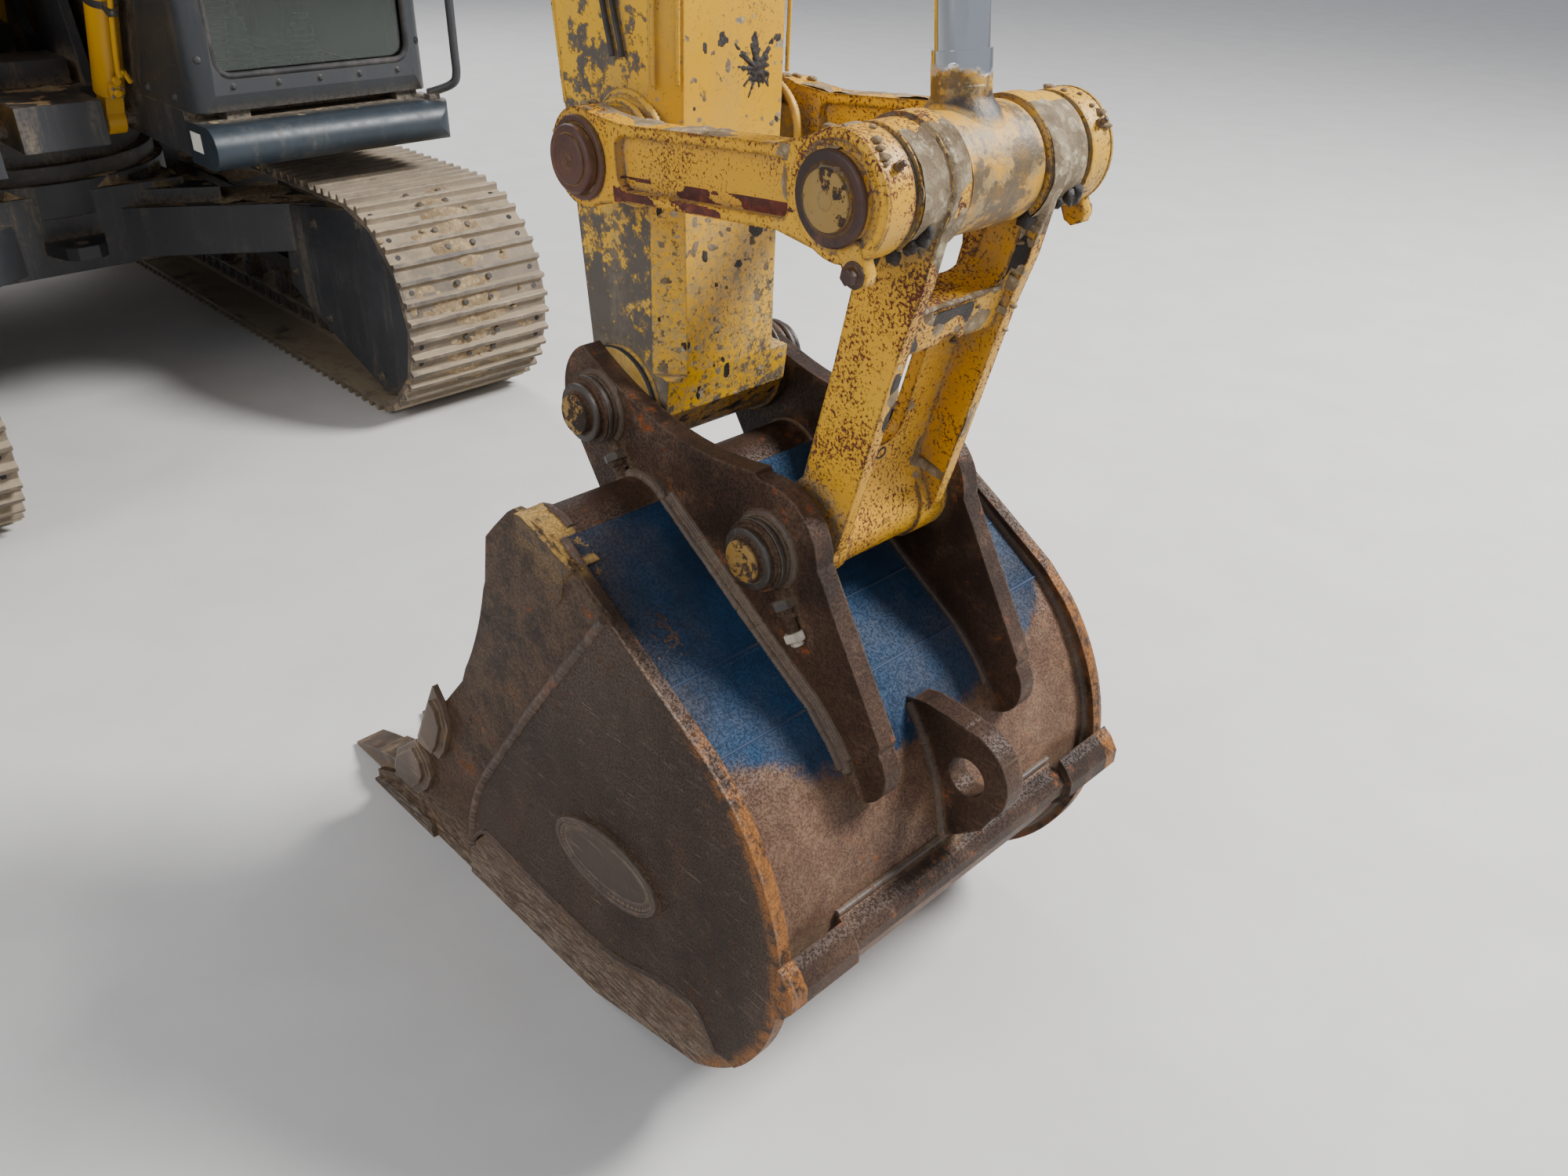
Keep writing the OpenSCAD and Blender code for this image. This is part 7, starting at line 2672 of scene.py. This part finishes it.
@dataclass
class UpperDress:
    """Hoses, covers, treads, caps, latches, lamps and dirt of the upper structure."""

    deck: float = 1.160
    side: float = 1.230
    roof: float = 2.000
    back: float = 2.118
    lamp: float = 0.74
    stack: Pair = (-1.0, 0.9)

    def beam(self) -> None:
        """Blank label on the end of the step beam."""
        label = Piece("beam_blank_label", Tone.BLANK, "upper", "beam_paint")
        label.plate(mm(1235, 1030, 1325, 1030, 1325, 1098, 1235, 1098),
            lambda x, z, w: Vector((x, 0.300 - w, z)), 0.0002, 0.0014, 0.0004)
        label.make()

    def deck_parts(self) -> None:
        """Anti-slip studs, cover bolts, caps, gauge, steps and seams."""
        studs = Piece("deck_studs", Tone.DARK)
        bolts = Piece("deck_bolts", Tone.NUT, "upper", "tooth_steel")
        paint = Piece("tank_fittings", Tone.YELLOW)
        black = Piece("deck_black_parts", Tone.PLASTIC)
        def stud(x: float, y: float, z: float) -> None:
            studs.lathe((x, y, z), UP, mm(-2, 12, 3.5, 10.5, 4.5, 7.5, 3.5, 5.5, 1, 1), 12)
        for z, x, across, count, y, along, rows in ((1.600, 0.447, 0.0385, 18, -1.210, 0.0108, 3),
                (1.600, 0.463, 0.066, 9, -1.16, 0.052, 11),
                (self.deck, -0.40, 0.055, 15, -0.31, 0.045, 3)):
            for i in range(count):
                for j in range(rows):
                    stud(x + across * i, y + along * j, z)
        for x, y, z, r in ((0.220, -0.900, 1.865, 0.070), (-0.200, -0.700, 1.960, 0.095)):
            paint.lathe((x, y, z), UP, [(-0.012, r * 1.02), (0.0, r * 1.02), (0.007, r * 0.93),
                    (0.009, r * 0.35), (0.014, r * 0.30), (0.014, 0.001)], 36)
            for u, v in circle(8):
                paint.block((-0.010, -0.006, -0.030), (0.008, 0.006, 0.002), 0.002,
                    lambda q: Vector((x + (r + q.x) * u - q.y * v, y + (r + q.x) * v + q.y * u,
                            z + q.z)))
        for y in (-1.15, -0.95, -0.70, -0.45):
            for x in (-0.44, -0.03):
                bolts.bolt((x, y, 1.940), UP, 0.020)
        black.block((0.4185, -1.10, 1.28), (0.428, -1.04, 1.56), 0.006)
        for z in (1.30, 1.54):
            bolts.bolt((0.428, -1.07, z), (1, 0, 0), 0.018)
        for x in (-0.44, -0.22, 0.0, 0.22, 0.39):
            bolts.bolt((x, -self.side, 1.195), (0, -1, 0), 0.022)
        for x in (0.50, 0.80, 1.07):
            bolts.bolt((x, -self.side, 1.19), (0, -1, 0), 0.020)
            bolts.bolt((x, -self.side, 1.57), (0, -1, 0), 0.016)
        black.plate(mm(700, 1360, 840, 1360, 850, 1370, 850, 1430, 840, 1440, 700, 1440, 690, 1430,
                690, 1370), lambda u, v, w: Vector((u, -self.side - w, v)), 0.0, 0.007)
        grip = mm(715, 6, 720, 24, 770, 28, 820, 24, 825, 6)
        black.tube(curve([(x, -self.side - off, 1.40) for x, off in grip], 6), 0.007, 10)
        for z in (1.04, 1.12):
            studs.bead([Vector((x, -self.side - 0.001, z)) for x in (-0.47, 1.00)], 0.004, 51,
                pitch=0.02)
        finish(studs, bolts, paint, black)

    def rear(self) -> None:
        """Latches, hinges, lamp clusters, lifting eyes, grilles and exhaust trim at the back."""
        black = Piece("rear_black_parts", Tone.PLASTIC)
        red = Piece("tail_lenses", Tone.AMBER, "upper", "glass")
        paint = Piece("counterweight_fittings", Tone.YELLOW)
        bolts = Piece("rear_bolts", Tone.NUT, "upper", "tooth_steel")
        steel = Piece("exhaust_trim", Tone.EXHAUST)
        for s in (-1, 1):
            a = s * asin(self.lamp / 2.12)
            def shell(u: float, v: float, w: float, s: int = s) -> Vector:
                angle = s * (self.lamp + u) / self.back
                return Vector((-(self.back + w) * cos(angle), (self.back + w) * sin(angle), v))
            black.plate(mm(-220, 1560, 220, 1560, 230, 1570, 230, 1690, 220, 1700, -220, 1700, -230,
                    1690, -230, 1570), shell, -0.01, 0.030, 0.005)
            for u in (-0.15, 0.0, 0.15):
                red.plate([(u - 0.06, 1.575), (u + 0.06, 1.575), (u + 0.06, 1.685),
                        (u - 0.06, 1.685)], shell, 0.028, 0.040, 0.006)
            for u, v in ((-0.215, 1.575), (0.215, 1.575), (-0.215, 1.685), (0.215, 1.685)):
                bolts.bolt(shell(u, v, 0.030), (-cos(a), sin(a), 0), 0.010, False)
            rows = []
            for k in range(25):
                b = pi * k / 24
                mid = Vector((-1.92, s * 0.62 + 0.075 * cos(b), 1.955 + 0.085 * sin(b)))
                rows.append([mid + (Vector((0, cos(b), sin(b))) * u + Vector((1, 0, 0)) * v)
                        * 0.021 for u, v in circle(12)])
            paint.rings(rows)
            for k in range(2):
                angle = s * (0.22 + 0.13 * k)
                bolts.lathe((-2.300 * cos(angle), 2.300 * sin(angle), 1.25),
                    (-cos(angle), sin(angle), 0), mm(-6, 30, 1, 30, 4, 26, 4, 1), 24)
        paint.bead([Vector((-1.7006, s, 1.06)) for s in (-1.20, -0.6, 0.0, 0.6, 1.20)], 0.003, 61,
            pitch=0.03)
        black.lathe((-2.165, 0, 1.00), UP, mm(0, 28, 200, 28, 205, 45, 225, 45, 228, 1), 28)
        x, y = self.stack
        steel.lathe((x, y, self.roof + 0.02), UP, mm(-2, 84, 6, 78, 8, 64, 18, 62.5), 40)
        steel.bead([Vector((x + 0.0612 * u, y + 0.0612 * v, self.roof + 0.024))
                for u, v in circle(40)], 0.005, 62, loop=True)
        steel.lathe((x, y, self.roof + 0.135), UP, mm(-16, 60, -16, 64.5, 16, 64.5, 16, 60), 40)
        steel.block((-0.948, 0.885, self.roof + 0.120), (-0.915, 0.915, self.roof + 0.150), 0.003)
        tip = Vector((x - 0.070, y, self.roof + 0.330))
        way = (tip - Vector((x, y, self.roof + 0.19))).normalized()
        steel.lathe(tip, way, mm(-60, 48.5, -4, 49.5, 4, 50, 6, 47, -10, 44, -30, 43, -30, 1), 40)
        for y0 in (-0.420, 0.060):
            for k in range(6):
                black.block((-0.496, y0 + 0.010, 1.69 + 0.032 * k),
                    (-0.478, y0 + 0.350, 1.703 + 0.032 * k), 0.003)
        finish(black, red, paint, bolts, steel)
        for name, body, s in (("left", "side_door_left", 1), ("right", "side_door_right", -1)):
            latch = Piece(f"side_door_latch_{name}", Tone.PLASTIC, body)
            y = self.side + 0.0165
            latch.plate(mm(-712, 1498, -628, 1498, -622, 1504, -622, 1562, -628, 1568, -712, 1568,
                    -718, 1562, -718, 1504), lambda u, v, w: Vector((u, s * (y + w), v)), -0.004,
                0.004)
            grip = mm(-700, 3, -698, 13, -670, 16, -642, 13, -640, 3)
            latch.tube(curve([(x, s * (y + off), 1.533) for x, off in grip], 6), 0.006, 8)
            latch.tube(rounded(flat(1, s * (self.side + 0.0055)), (-1.612, 1.228), (-0.568, 1.872),
                    0.01), 0.004, 6, True)
            mesh = Piece(f"side_door_mesh_{name}", Tone.RUBBER, body, "dark_paint")
            for k in range(10):
                z = 1.340 + 0.044 * k
                mesh.block((-1.470, s * (self.side - 0.018), z - 0.012),
                    (-1.110, s * (self.side - 0.012), z + 0.012), 0.001)
            finish(latch, mesh)
        hood = Piece("hood_latches", Tone.PLASTIC, "hood")
        for y in (-0.40, 0.40):
            hood.block((-0.655, y - 0.045, 2.040), (-0.625, y + 0.045, 2.052), 0.003)
            grip = mm(-35, 2050, -30, 2066, 0, 2070, 30, 2066, 35, 2050)
            hood.tube(curve([(-0.640, y + off, z) for off, z in grip], 6), 0.006, 8)
        for k in range(7):
            hood.block((-1.418 + 0.095 * k, -0.358, 2.066), (-1.372 + 0.095 * k, 0.358, 2.072),
                0.002)
        hood.tube(rounded(flat(2, 2.041), (-1.505, -0.475), (-0.715, 0.475), 0.02), 0.005, 6, True)
        hood.make()

    def hoses(self) -> None:
        """Hoses from the deck to the boom, bent round its foot, and the valve block they leave."""
        block = Piece("swivel_block", Tone.DARK)
        block.block((-0.40, -0.17, self.deck), (-0.16, 0.17, self.deck + 0.16), 0.012)
        block.block((0.20, -0.18, self.deck), (0.44, 0.18, self.deck + 0.10), 0.012)
        for k, y in enumerate((-0.130, -0.078, -0.026, 0.026, 0.078, 0.130)):
            p = Piece(f"boom_foot_hose_{k + 1}", Tone.HOSE, "upper", "control_plastic")
            start = Vector((-0.36 + 0.025 * (k % 2), y, self.deck + 0.165))
            lift = 0.03 * (k % 3)
            path = [start, start + Vector((-0.01, 0, 0.10))]
            path += [Vector((x, y * pull, z + lift))
                for x, pull, z in ((-0.34, 1, 1.62), (-0.26, 1, 1.95), (-0.05, 0.95, 2.12))]
            path += [Vector((0.14, y * 0.92, 2.10)), BOOM.at(0.50, 0.395, y * 0.9),
                BOOM.at(0.62, 0.445, y * 0.9)]
            p.tube(curve(path, 10), 0.0145, 12)
            for end, way in ((path[0], UP), (path[-1], BOOM.way(0.9, 0.44))):
                p.lathe(end, way, mm(-20, 12.5, -20, 20, 4, 20, 6, 17.8, 30, 17.8, 32, 15.5), 12)
            made = p.make(60)
            made.parent = None
            tuple(path[3])
            tuple(BOOM.at(0.30, 0.33, 0))
            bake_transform(made)
            block.lathe(start - Vector((0, 0, 0.012)), UP, mm(-12, 21, 0, 21, 2, 17, 6, 16), 6)
        for k in range(6):
            block.bolt((-0.38 if k < 3 else -0.18, -0.14 + 0.14 * (k % 3), self.deck + 0.16), UP,
                0.018)
        block.make()

    def dirt(self) -> None:
        """Sandy soil on the deck, the carbody's arms and along ledges."""
        sand = Piece("deck_soil", Tone.SAND, "upper", "dark_paint")
        skin = Skin("platform", "front_beam", "tool_box")
        window = skin.window((-0.42, -0.32, 1.30), (1.62, 0, 0), (0, 0.62, 0), (0, 0, -1), 0.4)
        sand.film(window, 130, 44, lambda q: 0.008 * (lumps(q, 6, 2.0) - 0.12))
        box = skin.window((0.43, -1.22, 1.70), (0.68, 0, 0), (0, 0.61, 0), (0, 0, -1), 0.3)
        sand.film(box, 70, 60, lambda q: 0.005 * (lumps(q, 9, 4.0) - 0.30))
        step = skin.window((1.20, 0.32, 1.30), (0.17, 0, 0), (0, 0.90, 0), (0, 0, -1), 0.3)
        sand.film(step, 24, 80, lambda q: 0.004 * (lumps(q, 14, 6.0) - 0.45))
        sand.make(180)
        low = Piece("carbody_soil", Tone.SAND, "undercarriage", "dark_paint")
        body = Skin("car_body", "slew_ring")
        for s in (-1, 1):
            window = body.window((-1.2, s * 0.10, 1.00), (2.4, 0, 0), (0, s * 0.78, 0), (0, 0, -1),
                0.6)
            low.film(window, 130, 44, lambda q: 0.016 * (lumps(q, 5, 9.0) + 0.02))
        low.make(180)

    def build(self) -> None:
        """Dresses the upper structure."""
        self.beam()
        self.deck_parts()
        self.rear()
        self.hoses()
        self.dirt()


@dataclass
class BoomDress:
    """Weld seams, steel lines, clamps, lamp, hinge hoses and pin caps of the boom."""

    half: float = 0.160

    @staticmethod
    def top(u: float) -> float:
        """Height of the boom's top plate over its axis at a distance along it."""
        if 1.35 <= u <= 2.56:
            return -0.075 + sqrt(1.015 ** 2 - (u - 1.955) ** 2)
        rows = ((-0.1, 0.11), (0.7, 0.44), (1.35, 0.742), (2.56, 0.742), (4.194, 0.195),
            (BOOM_LENGTH, 0.145))
        for (u0, v0), (u1, v1) in zip(rows, rows[1:]):
            if u <= u1:
                return v0 + (v1 - v0) * (u - u0) / (u1 - u0)
        return rows[-1][1]

    def weld(self) -> None:
        """Beads along the box's edges and round its bosses."""
        p = Piece("boom_welds", Tone.YELLOW, "boom")
        upper = [-0.02, 0.2, 0.45, 0.7, 1.0, 1.35, 1.5, 1.65, 1.8, 1.955, 2.1, 2.25, 2.4, 2.56, 3.0,
            3.6, 4.15]
        under = ((0.10, -0.150), (0.900, 0.020), (1.700, 0.300), (2.050, 0.375), (2.450, 0.330),
            (2.900, 0.190), (4.16, -0.072))
        boss = BOOM.spot(1.85, 0.43)
        for s in (-1, 1):
            y = s * (self.half + 0.001)
            p.bead([BOOM.at(u, self.top(u) - 0.006, y) for u in upper], 0.006, 71, pitch=0.014)
            p.bead([BOOM.at(u, v + 0.006, y) for u, v in under], 0.006, 72, pitch=0.014)
            p.bead(arc(BOOM, 0.162, 0, 354, y, 40), 0.0075, 73, loop=True)
            p.bead(arc(boss, 0.0965, 0, 354, y, 40), 0.007, 74, loop=True)
            p.bead([BOOM.at(4.174, 0.190, y), BOOM.at(4.174, -0.072, y)], 0.006, 75)
            for ear in EAR_WELDS:
                p.bead([BOOM.at(u, self.top(u) + 0.001, s * ear) for u in (2.08, 2.2, 2.3, 2.40)],
                    0.008, 76)
            for u, low in ((1.15, 0.105), (2.75, 0.237), (3.45, 0.076)):
                p.bead([BOOM.at(u, self.top(u) - 0.01, y), BOOM.at(u, low + 0.012, y)], 0.0035, 77,
                    pitch=0.01)
        p.make(60)

    def lines(self) -> None:
        """Steel lines on the top plate with their clamps."""
        pipe = Piece("boom_steel_lines", Tone.YELLOW, "boom")
        clamp = Piece("boom_line_clamps", Tone.DARK, "boom")
        bolts = Piece("boom_line_bolts", Tone.NUT, "boom", "tooth_steel")
        reach = [0.64, 0.8, 1.0, 1.2, 1.35, 1.5, 1.7, 1.955, 2.2, 2.4, 2.6, 2.9, 3.3, 3.7]
        for y in (-0.120, 0.120):
            ends = [BOOM.at(u, self.top(u) + lift, y * out)
                for u, lift, out in ((3.86, 0.030, 1.15), (3.95, 0.012, 1.50))]
            pipe.tube(curve([BOOM.at(u, self.top(u) + 0.024, y) for u in reach] + ends, 4), 0.0115,
                12)
        for y in (-0.072, -0.026, 0.026, 0.072):
            stop = 1.60 if abs(y) > 0.05 else 1.78
            end = BOOM.at(stop + 0.12, self.top(stop + 0.12) + 0.045, y * 0.8)
            pipe.tube(curve([BOOM.at(u, self.top(u) + 0.024, y) for u in reach if u <= stop]
                    + [end], 4), 0.0115, 12)
        for u in (0.80, 1.22, 1.62, 2.62, 3.10, 3.58):
            for y0, y1 in ((-0.145, 0.145),) if u < 2 else ((-0.145, -0.095), (0.095, 0.145)):
                clamp.block((u - 0.016, y0, 0.0), (u + 0.016, y1, 0.042), 0.004,
                    lambda q: BOOM.at(q.x, self.top(q.x) + q.z, q.y))
                for y in (y0 + 0.008, y1 - 0.008):
                    bolts.bolt(BOOM.at(u, self.top(u) + 0.042, y), BOOM.way(0, 1), 0.012)
        finish(pipe, clamp, bolts)

    def hinge_hoses(self) -> None:
        """Hoses past the arm's hinge to the bucket's cylinder, outside the cheeks."""
        for k, s in enumerate((-1, 1)):
            p = Piece(f"arm_hinge_hose_{k + 1}", Tone.HOSE, "boom", "control_plastic")
            route = ((BOOM, 3.93, self.top(3.93) + 0.014, 0.175), (BOOM, 4.02, 0.255, 0.195),
                (BOOM, 4.25, 0.310, 0.232), (BOOM, 4.52, 0.300, 0.246), (ARM, -0.16, 0.20, 0.246),
                (ARM, -0.05, 0.40, 0.215), (ARM, 0.02, 0.55, 0.165), (ARM, 0.10, 0.650, 0.105),
                (ARM, 0.20, 0.640, 0.052))
            path = [bar.at(u, v, s * y) for bar, u, v, y in route]
            p.tube(curve(path, 12), 0.0125, 12)
            way = (path[1] - path[0]).normalized()
            p.lathe(path[0], way, mm(-24, 12, -20, 18.5, 4, 18.5, 6, 16, 30, 16, 32, 13.5), 12)
            p.lathe(path[-1], (path[-1] - path[-2]).normalized(),
                mm(-34, 13.5, -32, 16, -6, 16, -4, 18.5, 20, 18.5, 24, 12), 12)
            made = p.make(60)
            made.parent = None
            tuple(BOOM.at(4.30, 0.30, 0))
            tuple(ARM.at(-0.10, 0.30, 0))
            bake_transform(made)

    def fittings(self) -> None:
        """Work lamp with its bracket, and pin caps at the nose and at the arm cylinder's foot."""
        black = Piece("boom_lamp_housing", Tone.PLASTIC, "boom")
        lens = Piece("boom_lamp_lens", Tone.LENS, "boom", "glass")
        dark = Piece("boom_pin_caps", Tone.COLLAR, "boom", "dark_paint")
        mid = BOOM.at(2.12, 0.62, 0.205)
        way = Vector((0.86, 0.0, -0.5))
        black.block((2.10, self.half - 0.002, 0.565), (2.14, self.half + 0.035, 0.605), 0.004,
            lambda q: BOOM.at(q.x, q.z, q.y))
        black.lathe(mid, way, mm(-52, 18, -44, 40, -20, 54, 18, 58, 26, 58, 26, 52, 19, 50), 36)
        lens.lathe(mid, way, mm(12, 50, 19, 50, 24, 36, 26, 16, 26.2, 1), 36)
        for s in (-1, 1):
            nose = BOOM.at(BOOM_LENGTH, 0, s * 0.222)
            dark.lathe(nose, (0, s, 0), mm(-4, 72, 2, 71, 5, 65, 5, 48, 1, 44, 1, 1), 40)
            for u, v in circle(3, 0.5):
                dark.bolt(nose + Vector((0.054 * u, s * 0.005, 0.054 * v)), (0, s, 0), 0.018)
        for s in (-1, 1):
            dark.lathe(BOOM.at(2.30, 1.01, s * 0.100), (0, s, 0),
                mm(-3, 44, 4, 44, 7, 40, 7, 22, 3, 20, 3, 1), 32)
        finish(black, lens, dark)

    def build(self) -> None:
        """Dresses the boom."""
        self.weld()
        self.lines()
        self.hinge_hoses()
        self.fittings()


def coat_nodes() -> None:
    """Gives every CAD node the finish of its slot, or the one named for it."""
    slots = {}
    for name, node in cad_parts.items():
        for holder in node.material_slots:
            label = holder.material.name.split(".")[0] if holder.material else ""
            tone = NODE_TONES.get(name) or SLOTS.get(label)
            if tone is None:
                log.warning("node %s has slot %s", name, label)
                tone = Tone.DARK
            holder.material = tone.value.material()
            slots[name] = label
    log.info("coated %d nodes", len(slots))


def main() -> None:
    """Builds the studio and dresses each sub-assembly."""
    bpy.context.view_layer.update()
    Studio().build()
    coat_nodes()
    for part in (BucketDress(), LinkageDress(), ArmDress(), *CYLINDERS, TrackDress(1),
            TrackDress(-1), CabDress(), SeatDress(), RailDress(), UpperDress(), BoomDress()):
        part.build()
        log.info("%s done", type(part).__name__)


if __name__ == "__main__":
    logging.basicConfig(level=logging.INFO)
    main()
